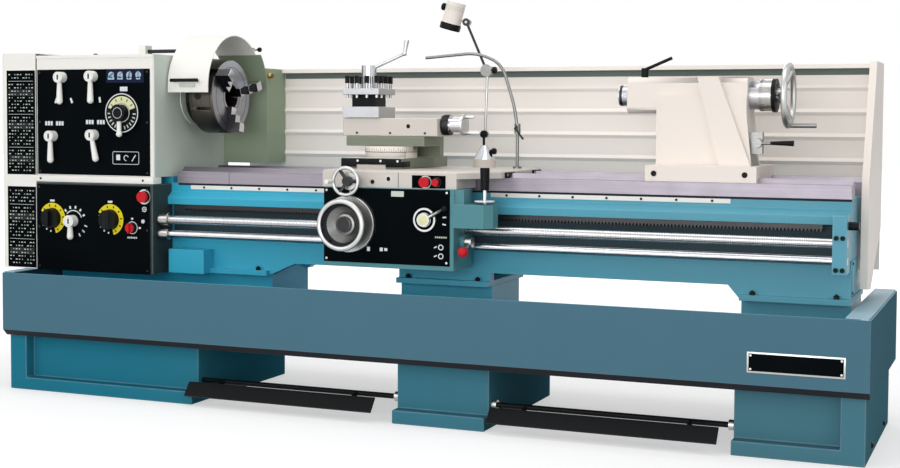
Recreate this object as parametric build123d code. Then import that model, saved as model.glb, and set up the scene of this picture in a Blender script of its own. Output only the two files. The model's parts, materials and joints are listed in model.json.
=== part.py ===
from build123d import *
import math
import os

# Screw-cutting lathe in millimetres: X along the bed to the tailstock, Y to the rear, Z up.
# The origin is on the floor under the spindle axis, at the middle of the chip tray's length.

# Clearances
RUN_GAP = 0.05
SLIDE_GAP = 0.5
FACE_GAP = 1.0
SLOT_GAP = 0.3
PASS_GAP = 3.0

# Chip tray
TRAY_LENGTH = 3404
TRAY_FRONT = 455
TRAY_REAR = 433
TRAY_HEIGHT = 257
TRAY_REAR_HEIGHT = 107
TRAY_WALL = 8
TRAY_CHAMFER = 24
RISER_HALF_WIDTH = 150
RISER_WALL = 14

# Pedestals
PEDESTAL_HEIGHT = 223
PEDESTAL_FRONT = 415
PEDESTAL_REAR = 330
PEDESTAL_WALL = 12
PEDESTAL_BASE = 20
PLINTH_HEIGHT = 50
PLINTH_STEP = 50
COLUMN_WIDTH = 80
LEFT_PEDESTAL_INSET = 4
LEFT_PEDESTAL_LENGTH = 866
MIDDLE_PEDESTAL_X = 200
MIDDLE_PEDESTAL_LENGTH = 360
RIGHT_PEDESTAL_INSET = 14
RIGHT_PEDESTAL_LENGTH = 432
ANCHOR_INSET = 102
ANCHOR_SPACING_Y = 560
ANCHOR_RADIUS = 11

# Brake treadle
TREADLE_SHAFT_RADIUS = 10
TREADLE_SETBACK = 85
TREADLE_HEIGHT = 84
TREADLE_REACH = 98
TREADLE_DROP = 20
TREADLE_WIDTH = 62
TREADLE_THICKNESS = 8
TREADLE_TILT = 39
TREADLE_LEFT_LAP = 12
TREADLE_LEFT_GAP = 70
TREADLE_RIGHT_LEAD = 20
TREADLE_RIGHT_GAP = 41
TREADLE_ARM_RADIUS = 8
TREADLE_ARM_INSET = 110
TREADLE_SEAT = 12

# Bed
BED_INSET = 98
BED_HEIGHT = 404
FOOT_RISE = 10
BED_TOP_HALF = 178
BED_LEDGE_HALF = 206
BED_WALL_HALF = 160
BED_SKIRT_HALF = 172
BED_INNER_HALF = 128
LEDGE_SHOULDER = 35
LEDGE_SLOPE = 22
LEDGE_FACE = 28
ARCH_RISE = 50
SKIRT_RISE = 80
SKIRT_SLOPE = 20
RIB_THICKNESS = 24
RIB_RISE = 110
RIB_PITCH = 330
FLANGE_HALF = 200
FLANGE_THICKNESS = 20
LEFT_FOOT_LENGTH = 450
LEFT_ARCH_SLANT = 112
MIDDLE_FOOT_X = 123
MIDDLE_FOOT_LENGTH = 370
RIGHT_FOOT_LENGTH = 370
RIGHT_ARCH_SLANT = 44
HEAD_SEAT_HALF = 170
HEAD_SEAT_WALL = 36
SUMP_LENGTH = 163
SUMP_HEIGHT = 95
SUMP_FRONT = 250

# Ways, gap bridge and rack
WAY_HEIGHT = 47
WAY_HALF = 185
WAY_WIDTH = 90
RIDGE_AT = 132
RIDGE_WIDTH = 36
RIDGE_HEIGHT = 18
WAY_LEAD = 32
BRIDGE_LENGTH = 242
RACK_DEPTH = 28
RACK_HEIGHT = 24
RACK_LEAD = 74
RACK_END_GAP = 84
RACK_PITCH = 12.566
RACK_TOOTH = 9
RACK_TOOTH_SHARES = (0.15, 0.4, 0.65, 0.9)

# Leadscrew, feed rod and their end bracket
ROD_FRONT = 268
LEADSCREW_DROP = 189
LEADSCREW_RADIUS = 18
FEED_ROD_DROP = 58
FEED_ROD_RADIUS = 15
ROD_TAIL = 60
COLLAR_LEAD = 8
COLLAR_LENGTH = 42
COLLAR_THICKNESS = 9
BRACKET_LENGTH = 47
BRACKET_FRONT = 300
BRACKET_HEAD = 95
BRACKET_FOOT = 45
BRACKET_KNOB_RADIUS = 14
BRACKET_KNOB_LENGTH = 34
BRACKET_KNOB_DROP = 37

# Headstock
CENTRE_HEIGHT = 305
HEAD_INSET = 62
HEAD_LENGTH = 566
HEAD_FRONT = 305
HEAD_REAR = 262
HEAD_DROP = 21
HEAD_HEIGHT = 477
HEAD_EDGE_RADIUS = 15
HEAD_FRONT_WALL = 55
HEAD_REAR_WALL = 52
HEAD_LEFT_WALL = 40
HEAD_RIGHT_WALL = 66
HEAD_FLOOR = 40
LID_THICKNESS = 12
LID_OVERHANG = 4
BEARING_CAP_RADIUS = 115
BEARING_CAP_THICKNESS = 4
PANEL_THICKNESS = 4
PANEL_EDGE = 5
HEAD_PANEL_FOOT = 4
HEAD_PANEL_HEIGHT = 427

# Spindle and its bearings
SPINDLE_BORE_RADIUS = 41
SPINDLE_FRONT_RADIUS = 75
SPINDLE_MIDDLE_RADIUS = 62
SPINDLE_REAR_RADIUS = 52
SPINDLE_TAIL = 72
NOSE_RADIUS = 95
NOSE_GAP = 6
NOSE_THICKNESS = 24
FRONT_BEARING_RADIUS = 112
FRONT_BEARING_WIDTH = 50
REAR_BEARING_RADIUS = 90
REAR_BEARING_WIDTH = 30
BEARING_SETBACK = 6

# Chuck
BACKPLATE_RADIUS = 120
BACKPLATE_THICKNESS = 32
CHUCK_RADIUS = 150
CHUCK_THICKNESS = 112
CHUCK_BORE_RADIUS = 50
CHUCK_EDGE = 6
CHUCK_KEY_SIZE = 14
CHUCK_KEY_DEPTH = 34
CHUCK_KEY_SETBACK = 62
JAW_COUNT = 3
FIRST_JAW_ANGLE = -100
JAW_WIDTH = 36
JAW_SLOT_DEPTH = 40
JAW_BASE_INNER = 48
JAW_BASE_OUTER = 140
JAW_STEPS = ((46, 78, 18), (78, 110, 40), (110, 148, 62))

# Change gears
GEAR_MODULE = 3
GEAR_WIDTH = 25
GEAR_STANDOFF = 25
GEAR_PRESSURE_ANGLE = 20
GEAR_BACKLASH = 0.6
GEAR_ROOT_DEPTH = 1.25
SPINDLE_TEETH = 40
IDLER_TEETH = 120
INPUT_TEETH = 40
IDLER_SHAFT_RADIUS = 18
IDLER_HUB_RADIUS = 32
IDLER_HUB_LENGTH = 12
INPUT_SHAFT_RADIUS = 15
INPUT_SHAFT_FRONT = 225
INPUT_SHAFT_DROP = 409
INPUT_SHAFT_DEPTH = 70

# End cover
COVER_LENGTH = 178
COVER_GAP = 4
COVER_FRONT = 309
COVER_REAR = 300
COVER_TOP_RISE = 22
COVER_FOOT_RISE = 4
COVER_WALL = 3
COVER_EDGE_RADIUS = 20
COVER_HOLE_RADIUS = 60
HINGE_OFFSET = 18
HINGE_SETBACK = 12
HINGE_RADIUS = 11
HINGE_PIN_RADIUS = 6
KNUCKLE_LENGTH = 50
LUG_LENGTH = 40
LUG_WIDTH = 34
UPPER_KNUCKLE_RISE = 307
LOWER_KNUCKLE_RISE = 57

# Chuck guard
GUARD_RADIUS = 215
GUARD_THICKNESS = 3
GUARD_DROP = 129
GUARD_GAP = 8
GUARD_LENGTH = 188
GUARD_SKIRT = 21
GUARD_REAR_ANGLE = 42
GUARD_ROD_RADIUS = 8
GUARD_ROD_ANGLE = 47.7
GUARD_ROD_SINK = 1
GUARD_ROD_TAIL = 372
GUARD_BLOCK_WIDTH = 34
GUARD_BLOCK_DEPTH = 50
GUARD_BLOCK_LEADS = (42, 330)
GUARD_HANDLE_LENGTH = 125
GUARD_HANDLE_RISE = 27
GUARD_HANDLE_RADIUS = 7
GUARD_POST_RADIUS = 5
GUARD_HANDLE_REACH = 22
GUARD_HANDLE_INSET = 26

# Splash guard
SPLASH_SETBACK = 385
SPLASH_THICKNESS = 3
SPLASH_TOP_RISE = 428
SPLASH_FOOT_DROP = 334
SPLASH_LIP_DEPTH = 30
SPLASH_LIP_HEIGHT = 16
SPLASH_LEAD = 34
SWAGE_COUNT = 4
SWAGE_PITCH = 92
SWAGE_FIRST = 87
SWAGE_HEIGHT = 26
SWAGE_DEPTH = 8
WING_OFFSET = 36
WING_FRONT = 30
WING_FRONT_FOOT = 364
WING_SHOULDER_RISE = 6
WING_TOP_REAR = 150
WING_FLANGE = 22
WING_FOOT_Y = 75
WING_FOOT_DROP = 373
WING_REAR_DROP = 177
SHIELD_RADIUS = 225
SHIELD_ANGLE = 40
SHIELD_LENGTH = 210
SHIELD_GAP = 4
SHIELD_FOOT_RISE = 26
SHIELD_KNOB_RADIUS = 12
SHIELD_KNOB_LENGTH = 18
SHIELD_KNOB_SETBACK = 13
SHIELD_KNOB_DROP = 30
BRACE_WIDTH = 40
BRACE_HEIGHT = 36
BRACE_DROP = 208
BRACE_LEADS = (200, 1180)
RIGHT_BRACE_INSET = 258

# Feed gearbox
GEARBOX_FRONT = 314
GEARBOX_FOOT_RISE = 4
GEARBOX_HEAD_GAP = 28
GEARBOX_FRONT_WALL = 26
GEARBOX_SIDE_WALL = 25
GEARBOX_TOP_WALL = 20
GEARBOX_PANEL_RIGHT_EDGE = 11
GEARBOX_PANEL_HEAD = 9

# Main motor
MOTOR_RADIUS = 110
MOTOR_LENGTH = 320
MOTOR_LEAD = 78
MOTOR_DROP = 559
MOTOR_CAP_LENGTH = 40
MOTOR_CAP_STEP = 10
MOTOR_PLATE_THICKNESS = 14
MOTOR_STANDOFF = 8
MOTOR_PLATE_HEIGHT = 190
MOTOR_BOX_SIZE = 90
MOTOR_BOX_HEIGHT = 40

# Controls on the headstock and gearbox, placed from the headstock's left end and the spindle axis
CONTROL_PIN_RADIUS = 9
CONTROL_PIN_DEPTH = 22
LEVER_PLACES = (
    ("shift_lever_upper_left", 133, 73, 0),
    ("shift_lever_upper_right", 284, 76, 0),
    ("shift_lever_lower_left", 85, -166, 0),
    ("shift_lever_lower_right", 287, -160, 12),
)
LEVER_BOSS_RADIUS = 22
LEVER_BOSS_LENGTH = 34
LEVER_LENGTH = 110
LEVER_ROOT_RADIUS = 8
LEVER_TIP_RADIUS = 13
SPEED_DIAL_LEAD = 429
SPEED_DIAL_DROP = 71
SPEED_DIAL_RADIUS = 80
SPEED_DIAL_THICKNESS = 14
SPEED_HUB_RADIUS = 34
SPEED_HUB_LENGTH = 30
SPEED_LEVER_LENGTH = 96
SPEED_LEVER_RADIUS = 9
SPEED_TIP_RADIUS = 12
FEED_DIAL_PLACES = (("feed_dial_left", 83, -502), ("feed_dial_right", 367, -500))
FEED_DIAL_RADIUS = 40
FEED_DIAL_LENGTH = 24
FEED_GRIP_WIDTH = 14
FEED_GRIP_LENGTH = 64
FEED_GRIP_HEIGHT = 16
FEED_LEVER_LEAD = 187
FEED_LEVER_DROP = 510
FEED_LEVER_BOSS = 24
FEED_LEVER_LENGTH = 76
STOP_LEAD = 530
STOP_DROP = 404
STOP_RADIUS = 22
SWITCH_LEAD = 472
SWITCH_DROP = 529
SWITCH_RADIUS = 20
SWITCH_LENGTH = 20
SWITCH_BAR_WIDTH = 8
SWITCH_BAR_HEIGHT = 10
BUTTON_HEAD = 12
BUTTON_LIFT = 10
BUTTON_STEM_RADIUS = 9
BUTTON_STEM_DEPTH = 20
BUTTON_PLAY = 8

# Saddle
CARRIAGE_LEAD = 796
SADDLE_LENGTH = 651
SADDLE_FRONT = 385
SADDLE_REAR = 215
SADDLE_THICKNESS = 28
SADDLE_FRONT_LENGTH = 536
SADDLE_FRONT_DROP = 36
SADDLE_FRONT_BACK = 195
SADDLE_CORNER = 150
SADDLE_EDGE = 6
CROSS_RIDGE_HEIGHT = 16
CROSS_RIDGE_WIDTH = 120
RECESS_LEAD = 362
RECESS_LENGTH = 132
RECESS_HEIGHT = 46
RECESS_DEPTH = 6
RECESS_DROP = 34
SADDLE_STOP_LEAD = 414
SADDLE_STOP_RADIUS = 19
SADDLE_BUTTON_LEAD = 458
SADDLE_BUTTON_RADIUS = 13
SADDLE_BUTTON_DROP = 12

# Apron
APRON_LEAD = 12
APRON_LENGTH = 519
APRON_HEIGHT = 292
APRON_FRONT = 398
APRON_BACK = 215
APRON_WALL = 22
APRON_FLOOR = 24
JOYSTICK_BOX_LENGTH = 140
JOYSTICK_BOX_FRONT = 400
JOYSTICK_BOX_DEPTH = 80
JOYSTICK_BOX_HEIGHT = 85
JOYSTICK_BOX_DROP = 52
JOYSTICK_BOX_CORNER = 28
JOYSTICK_ARM_LENGTH = 36
JOYSTICK_ARM_INSET = 10
JOYSTICK_SETBACK = 35
JOYSTICK_LEAD = 106
JOYSTICK_POCKET_RADIUS = 15
JOYSTICK_POCKET_DEPTH = 30
JOYSTICK_PIVOT_DROP = 8
JOYSTICK_PIN_RADIUS = 4
JOYSTICK_PIN_HALF = 22
JOYSTICK_STEM_RADIUS = 7
JOYSTICK_DISC_RADIUS = 36
JOYSTICK_DISC_RISE = 10
JOYSTICK_DISC_THICKNESS = 4
JOYSTICK_GRIP_RISE = 51
JOYSTICK_GRIP_LENGTH = 80
JOYSTICK_GRIP_RADIUS = 17
JOYSTICK_GRIP_WAIST = 15
CONTROL_BOSS_RADIUS = 26
CONTROL_BOSS_LENGTH = 22
CONTROL_SETBACK = 68
CONTROL_DROP = 190
CONTROL_HUB_RADIUS = 20
CONTROL_HUB_LENGTH = 24
CONTROL_ARM_RADIUS = 7
CONTROL_REACH = 64
CONTROL_BALL_DROP = 32
CONTROL_BALL_RADIUS = 19
SELECTOR_LEAD = 411
SELECTOR_DROP = 110
SELECTOR_RADIUS = 43
SELECTOR_THICKNESS = 12
SELECTOR_HUB_RADIUS = 24
SELECTOR_HUB_LENGTH = 12
SELECTOR_LEVER_LENGTH = 100
SELECTOR_LEVER_ANGLE = 28
SELECTOR_LEVER_RADIUS = 8
SELECTOR_TIP_RADIUS = 11

# Apron handwheel and cross handwheel
APRON_WHEEL_LEAD = 111
APRON_WHEEL_DROP = 134
APRON_DIAL_RADIUS = 104
APRON_DIAL_THICKNESS = 24
APRON_WHEEL_RADIUS = 96
APRON_RIM_RADIUS = 10
APRON_WHEEL_REACH = 80
APRON_HUB_RADIUS = 30
APRON_SHAFT_RADIUS = 14
CROSS_WHEEL_LEAD = 133
CROSS_WHEEL_DROP = 12
CROSS_BOSS_RADIUS = 22
CROSS_BOSS_LENGTH = 30
CROSS_DIAL_RADIUS = 32
CROSS_DIAL_THICKNESS = 20
CROSS_WHEEL_RADIUS = 56
CROSS_RIM_RADIUS = 6.5
CROSS_WHEEL_REACH = 46
CROSS_HUB_RADIUS = 18
CROSS_SHAFT_RADIUS = 11
CROSS_SHAFT_DEPTH = 40
CROSS_HANDLE_LENGTH = 46
CROSS_HANDLE_RADIUS = 8
CROSS_HANDLE_PIN = 4
CROSS_HANDLE_GAP = 3
SPOKE_COUNT = 3

# Cross slide, compound base and top slide
CROSS_SLIDE_LEAD = 16
CROSS_SLIDE_LENGTH = 247
CROSS_SLIDE_FRONT = 260
CROSS_SLIDE_REAR = 190
CROSS_SLIDE_HEIGHT = 40
SWIVEL_LEAD = 150
SWIVEL_FRONT = 102
SWIVEL_RADIUS = 100
SWIVEL_HEIGHT = 43
SWIVEL_PIN_RADIUS = 30
SWIVEL_PIN_HEIGHT = 20
COMPOUND_LENGTH = 327
COMPOUND_HALF_FRONT = 63
COMPOUND_REAR = 132
COMPOUND_HEIGHT = 38
COMPOUND_SKIRT = 26
COMPOUND_LAP = 163
COMPOUND_RIDGE_WIDTH = 45
COMPOUND_RIDGE_HEIGHT = 15
COMPOUND_RIDGE_SETBACK = 30
TOP_SLIDE_LENGTH = 394
TOP_SLIDE_LAP = 177
TOP_SLIDE_HALF = 62
TOP_SLIDE_HEIGHT = 69
CRANK_DROP = 26
CRANK_SHAFT_RADIUS = 10
CRANK_SHAFT_DEPTH = 60
CRANK_DIAL_RADIUS = 38
CRANK_DIAL_LENGTH = 32
CRANK_SLEEVE_RADIUS = 29
CRANK_SLEEVE_LENGTH = 46
CRANK_PLATE_RADIUS = 40
CRANK_PLATE_LENGTH = 10
CRANK_HANDLE_RADIUS = 6
CRANK_HANDLE_OFFSET = 30
CRANK_HANDLE_SHORT = 36
CRANK_HANDLE_LONG = 58

# Tool post and its clamp lever
TOOLPOST_LEAD = 81
TOOLPOST_SIZE = 153
TOOLPOST_FOOT = 42
TOOLPOST_SLOT = 46
TOOLPOST_STEM = 98
TOOLPOST_HEAD = 24
TOOLPOST_STUD_RADIUS = 18
TOOLPOST_STUD_RISE = 150
TOOL_BOLT_INSET = 14
TOOL_BOLTS_PER_SIDE = 4
TOOL_BOLT_RADIUS = 6
TOOL_BOLT_HEAD = 14
TOOL_BOLT_RISE = 20
TOOL_BOLT_HEAD_HEIGHT = 28
TOOL_BOLT_DROP = 12
CLAMP_HUB_RADIUS = 29
CLAMP_HUB_HEIGHT = 88
CLAMP_ROD_RADIUS = 6
CLAMP_ROD_REACH = 150
CLAMP_ROD_RISE = 132
CLAMP_ROD_ROOT = 76
CLAMP_KNUCKLE_RADIUS = 9
CLAMP_GRIP_RADIUS = 10
CLAMP_GRIP_LENGTH = 52

# Lamp and coolant pipe, placed from the saddle's left end, the spindle axis and the way top
LAMP_LEAD = 437
LAMP_REAR = 150
LAMP_PAD_RADIUS = 46
LAMP_PAD_HEIGHT = 32
LAMP_CONE_RADIUS = 44
LAMP_CONE_TOP_RADIUS = 12
LAMP_CONE_HEIGHT = 54
LAMP_POST_RADIUS = 5
LAMP_JOINT_RISE = 158
LAMP_EYE_RADIUS = 15
LAMP_EYE_WIDTH = 12
LAMP_PIN_RADIUS = 5
LAMP_ARM_RADIUS = 5
LAMP_LOWER_LEAN = 9
LAMP_LOWER_RISE = 250
LAMP_ELBOW_RADIUS = 24
LAMP_UPPER_LEAN = -86
LAMP_UPPER_RISE = 190
LAMP_HEAD_RADIUS = 38
LAMP_HEAD_LENGTH = 104
LAMP_RIM_RADIUS = 40
LAMP_RIM_LENGTH = 16
LAMP_HEAD_TILT = 16
LAMP_NECK_LENGTH = 26
LAMP_NECK_DROP = 24
COOLANT_LEAD = 603
COOLANT_REAR = 70
COOLANT_RADIUS = 6
COOLANT_STRAIGHT = 200
COOLANT_KNEE_SETBACK = 66
COOLANT_KNEE_RISE = 403
COOLANT_CREST_SETBACK = 168
COOLANT_CREST_RISE = 445
COOLANT_NOZZLE_SETBACK = 384
COOLANT_NOZZLE_RISE = 428
COOLANT_ARC_SHARE = 0.45
COOLANT_FLANGE_RADIUS = 17
COOLANT_FLANGE_HEIGHT = 8
COOLANT_VALVE_RISE = 153
COOLANT_VALVE_RADIUS = 12
COOLANT_VALVE_LENGTH = 38
COOLANT_STEM_RADIUS = 5
COOLANT_STEM_LENGTH = 16
COOLANT_LEVER_LENGTH = 52
COOLANT_LEVER_RADIUS = 4
COOLANT_LEVER_ANGLE = -52

# Tailstock
TAILSTOCK_LEAD = 1966
TAILSTOCK_LENGTH = 392
TAILSTOCK_HALF = 177
TAILSTOCK_BASE_HEIGHT = 56
BARREL_OVERHANG = 98
BARREL_LENGTH = 434
BARREL_HALF = 65
BARREL_EDGE_RADIUS = 22
BARREL_END_WALL = 28
COLUMN_INSET = 14
COLUMN_HALF = 78
COLUMN_TOE = 36
RIB_LEAD = 262
RIB_TOP_WIDTH = 74
RIB_FOOT_WIDTH = 110
RIB_DEPTH = 18
QUILL_RADIUS = 37.7
QUILL_STICKOUT = 42
QUILL_LENGTH = 398
QUILL_SOCKET_RADIUS = 22
QUILL_SOCKET_DEPTH = 130
QUILL_NUT_RADIUS = 19
QUILL_SCREW_RADIUS = 16
QUILL_SCREW_LENGTH = 260
COLLAR_RADIUS = 50
COLLAR_REACH = 34
TAIL_DIAL_RADIUS = 56
TAIL_DIAL_LENGTH = 44
TAIL_DISC_RADIUS = 60
TAIL_DISC_LENGTH = 14
TAIL_WHEEL_RADIUS = 117
TAIL_RIM_RADIUS = 11
TAIL_WHEEL_REACH = 132
TAIL_HUB_RADIUS = 24
TAIL_HUB_LENGTH = 26
TAIL_SHAFT_RADIUS = 20
TAIL_HANDLE_LENGTH = 98
TAIL_HANDLE_RADIUS = 8
QUILL_LEVER_LEAD = 48
QUILL_LEVER_RADIUS = 13
QUILL_LEVER_HEIGHT = 34
QUILL_LEVER_PIN_RADIUS = 8
QUILL_LEVER_PIN_DEPTH = 20
QUILL_LEVER_REACH = 100
QUILL_LEVER_RISE = 42
QUILL_LEVER_ROD = 6
CLAMP_BRACKET_LENGTH = 36
CLAMP_BRACKET_HEIGHT = 76
CLAMP_BRACKET_RISE = 99
CLAMP_BRACKET_FRONT = 50
CLAMP_BRACKET_DEPTH = 30
CLAMP_PIN_RADIUS = 8
CLAMP_PIN_DEPTH = 22
CLAMP_EYE_RADIUS = 16
CLAMP_EYE_WIDTH = 16
CLAMP_ARM_RADIUS = 6
CLAMP_ARM_LENGTH = 46
CLAMP_HANDLE_RADIUS = 10
CLAMP_HANDLE_LENGTH = 80

# Places along the length
TRAY_X0 = -TRAY_LENGTH / 2
TRAY_X1 = TRAY_LENGTH / 2
HEAD_X0 = TRAY_X0 + HEAD_INSET
HEAD_X1 = HEAD_X0 + HEAD_LENGTH
BED_X1 = TRAY_X1 - BED_INSET
WAY_X0 = HEAD_X1 + WAY_LEAD
BRIDGE_X1 = WAY_X0 + BRIDGE_LENGTH
LEFT_PEDESTAL = (TRAY_X0 + LEFT_PEDESTAL_INSET, TRAY_X0 + LEFT_PEDESTAL_INSET + LEFT_PEDESTAL_LENGTH)
MIDDLE_PEDESTAL = (
    MIDDLE_PEDESTAL_X - MIDDLE_PEDESTAL_LENGTH / 2,
    MIDDLE_PEDESTAL_X + MIDDLE_PEDESTAL_LENGTH / 2,
)
RIGHT_PEDESTAL = (
    TRAY_X1 - RIGHT_PEDESTAL_INSET - RIGHT_PEDESTAL_LENGTH,
    TRAY_X1 - RIGHT_PEDESTAL_INSET,
)
LEFT_FOOT = (HEAD_X0, HEAD_X1 + LEFT_FOOT_LENGTH)
MIDDLE_FOOT = (MIDDLE_FOOT_X - MIDDLE_FOOT_LENGTH / 2, MIDDLE_FOOT_X + MIDDLE_FOOT_LENGTH / 2)
RIGHT_FOOT = (BED_X1 - RIGHT_FOOT_LENGTH, BED_X1)
NOSE_X1 = HEAD_X1 + NOSE_GAP + NOSE_THICKNESS
CHUCK_X0 = NOSE_X1 + BACKPLATE_THICKNESS
CHUCK_X1 = CHUCK_X0 + CHUCK_THICKNESS
GEAR_X = (HEAD_X0 - GEAR_STANDOFF - GEAR_WIDTH, HEAD_X0 - GEAR_STANDOFF)
SADDLE_X0 = HEAD_X1 + CARRIAGE_LEAD
SADDLE_X1 = SADDLE_X0 + SADDLE_LENGTH
APRON_X0 = SADDLE_X0 + APRON_LEAD
APRON_X1 = APRON_X0 + APRON_LENGTH
TAIL_X0 = HEAD_X1 + TAILSTOCK_LEAD
TAIL_X1 = TAIL_X0 + TAILSTOCK_LENGTH
BARREL_X0 = TAIL_X0 - BARREL_OVERHANG
BARREL_X1 = BARREL_X0 + BARREL_LENGTH

# Heights
TRAY_TOP = PEDESTAL_HEIGHT + TRAY_HEIGHT
FOOT_Z = TRAY_TOP + FOOT_RISE
WAY_TOP = FOOT_Z + BED_HEIGHT
BED_TOP = WAY_TOP - WAY_HEIGHT
LEDGE_Z = BED_TOP - LEDGE_SHOULDER - LEDGE_SLOPE - LEDGE_FACE
SPINDLE_Z = WAY_TOP + CENTRE_HEIGHT
HEAD_Z0 = WAY_TOP - HEAD_DROP
HEAD_Z1 = HEAD_Z0 + HEAD_HEIGHT
LID_Z1 = HEAD_Z1 + LID_THICKNESS
GEARBOX_Z0 = TRAY_TOP + GEARBOX_FOOT_RISE
GEARBOX_Z1 = HEAD_Z0 - GEARBOX_HEAD_GAP
LEADSCREW_Z = WAY_TOP - LEADSCREW_DROP
FEED_ROD_Z = LEADSCREW_Z - FEED_ROD_DROP
SADDLE_Z0 = WAY_TOP + SLIDE_GAP
SADDLE_Z1 = WAY_TOP + SADDLE_THICKNESS
APRON_Z1 = WAY_TOP - SADDLE_FRONT_DROP
APRON_Z0 = APRON_Z1 - APRON_HEIGHT
CROSS_Z0 = SADDLE_Z1 + SLIDE_GAP
CROSS_Z1 = CROSS_Z0 + CROSS_SLIDE_HEIGHT
SWIVEL_Z1 = CROSS_Z1 + SWIVEL_HEIGHT
COMPOUND_Z0 = SWIVEL_Z1 + SLIDE_GAP
COMPOUND_Z1 = COMPOUND_Z0 + COMPOUND_HEIGHT
TOP_SLIDE_Z0 = COMPOUND_Z1 + SLIDE_GAP
TOP_SLIDE_Z1 = TOP_SLIDE_Z0 + TOP_SLIDE_HEIGHT
TOOLPOST_Z0 = TOP_SLIDE_Z1 + SLIDE_GAP
TOOL_SLOT_Z0 = TOOLPOST_Z0 + TOOLPOST_FOOT
TOOL_SLOT_Z1 = TOOL_SLOT_Z0 + TOOLPOST_SLOT
TOOLPOST_Z1 = TOOL_SLOT_Z1 + TOOLPOST_HEAD

# Front faces and axes
HEAD_PANEL_Y = -HEAD_FRONT - PANEL_THICKNESS
GEARBOX_PANEL_Y = -GEARBOX_FRONT - PANEL_THICKNESS
SWIVEL_X = SADDLE_X0 + SWIVEL_LEAD
SWIVEL_Y = -SWIVEL_FRONT
TOP_SLIDE_X0 = SWIVEL_X - TOP_SLIDE_LAP
TOOLPOST_X = TOP_SLIDE_X0 + TOOLPOST_LEAD
TREADLE_Y = -PEDESTAL_FRONT + TREADLE_SETBACK
CROSS_WHEEL_X = SADDLE_X0 + CROSS_WHEEL_LEAD
CROSS_WHEEL_Z = WAY_TOP - CROSS_WHEEL_DROP
HINGE_X = HEAD_X0 - HINGE_SETBACK
HINGE_Y = COVER_REAR + HINGE_OFFSET
GUARD_Z = LID_Z1 - GUARD_DROP
LAMP_X = SADDLE_X0 + LAMP_LEAD
COOLANT_X = SADDLE_X0 + COOLANT_LEAD


def block(x, y, z):
    """A box between (low, high) pairs along X, Y and Z."""
    centre = [(low + high) / 2 for low, high in (x, y, z)]
    size = [high - low for low, high in (x, y, z)]
    return Pos(*centre) * Box(*size)


def rod(start, end, radius, end_radius=None):
    """A round bar from one point to another, tapered when a second radius is given."""
    along = Vector(*end) - Vector(*start)
    from_start = (Align.CENTER, Align.CENTER, Align.MIN)
    if end_radius is None:
        bar = Cylinder(radius, along.length, align=from_start)
    else:
        bar = Cone(radius, end_radius, along.length, align=from_start)
    return Plane(origin=start, z_dir=along).location * bar


def rod_x(x, y, z, radius):
    return rod((x[0], y, z), (x[1], y, z), radius)


def rod_y(x, y, z, radius):
    return rod((x, y[0], z), (x, y[1], z), radius)


def rod_z(x, y, z, radius):
    return rod((x, y, z[0]), (x, y, z[1]), radius)


def ring_x(x, y, z, outer, inner):
    return rod_x(x, y, z, outer) - rod_x(x, y, z, inner)


def prism_x(x, outline):
    """A (Y, Z) outline carried along X."""
    face = make_face(Polyline(*[(x[0], y, z) for y, z in outline], close=True))
    return extrude(face, x[1] - x[0], dir=(1, 0, 0))


def prism_y(y, outline):
    """An (X, Z) outline carried along Y."""
    face = make_face(Polyline(*[(x, y[0], z) for x, z in outline], close=True))
    return extrude(face, y[1] - y[0], dir=(0, 1, 0))


def prism_z(z, outline):
    """An (X, Y) outline carried along Z."""
    face = make_face(Polyline(*[(x, y, z[0]) for x, y in outline], close=True))
    return extrude(face, z[1] - z[0], dir=(0, 0, 1))


def ball(centre, radius):
    return Pos(*centre) * Sphere(radius)


def polar(centre, radius, degrees):
    """A point on a circle in an upright plane, with the angle from level towards +Z."""
    angle = math.radians(degrees)
    return centre[0] + radius * math.cos(angle), centre[1] + radius * math.sin(angle)


def pedestal(x, column):
    """A hollow pedestal, open at the back, with a plinth and a flush column at one end."""
    front = -PEDESTAL_FRONT
    recess_front = front + PLINTH_STEP
    recess = [x[0], x[1]]
    if column == "left":
        recess[0] += COLUMN_WIDTH
    if column == "right":
        recess[1] -= COLUMN_WIDTH
    body = block(x, (front, PEDESTAL_REAR), (0, PEDESTAL_HEIGHT))
    body -= block(recess, (front, recess_front), (PLINTH_HEIGHT, PEDESTAL_HEIGHT))
    body -= block(
        (x[0] + PEDESTAL_WALL, x[1] - PEDESTAL_WALL),
        (recess_front + PEDESTAL_WALL, PEDESTAL_REAR),
        (PEDESTAL_BASE, PEDESTAL_HEIGHT - PEDESTAL_WALL),
    )
    return body


def anchor_holes(x):
    half = ANCHOR_SPACING_Y / 2
    return [rod_z(x, y, (0, PEDESTAL_BASE), ANCHOR_RADIUS) for y in (-half, half)]


def treadle_bore(x0, x1):
    return rod_x((x0, x1), TREADLE_Y, TREADLE_HEIGHT, TREADLE_SHAFT_RADIUS + RUN_GAP)


def left_pedestal():
    wall = LEFT_PEDESTAL[1] - PEDESTAL_WALL
    body = pedestal(LEFT_PEDESTAL, "left") - anchor_holes(TRAY_X0 + ANCHOR_INSET)
    return body - treadle_bore(wall, LEFT_PEDESTAL[1])


def middle_pedestal():
    body = pedestal(MIDDLE_PEDESTAL, None) - anchor_holes(MIDDLE_PEDESTAL_X)
    return body - treadle_bore(*MIDDLE_PEDESTAL)


def right_pedestal():
    wall = RIGHT_PEDESTAL[0] + PEDESTAL_WALL
    body = pedestal(RIGHT_PEDESTAL, "right") - anchor_holes(TRAY_X1 - ANCHOR_INSET)
    return body - treadle_bore(RIGHT_PEDESTAL[0], wall)


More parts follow.
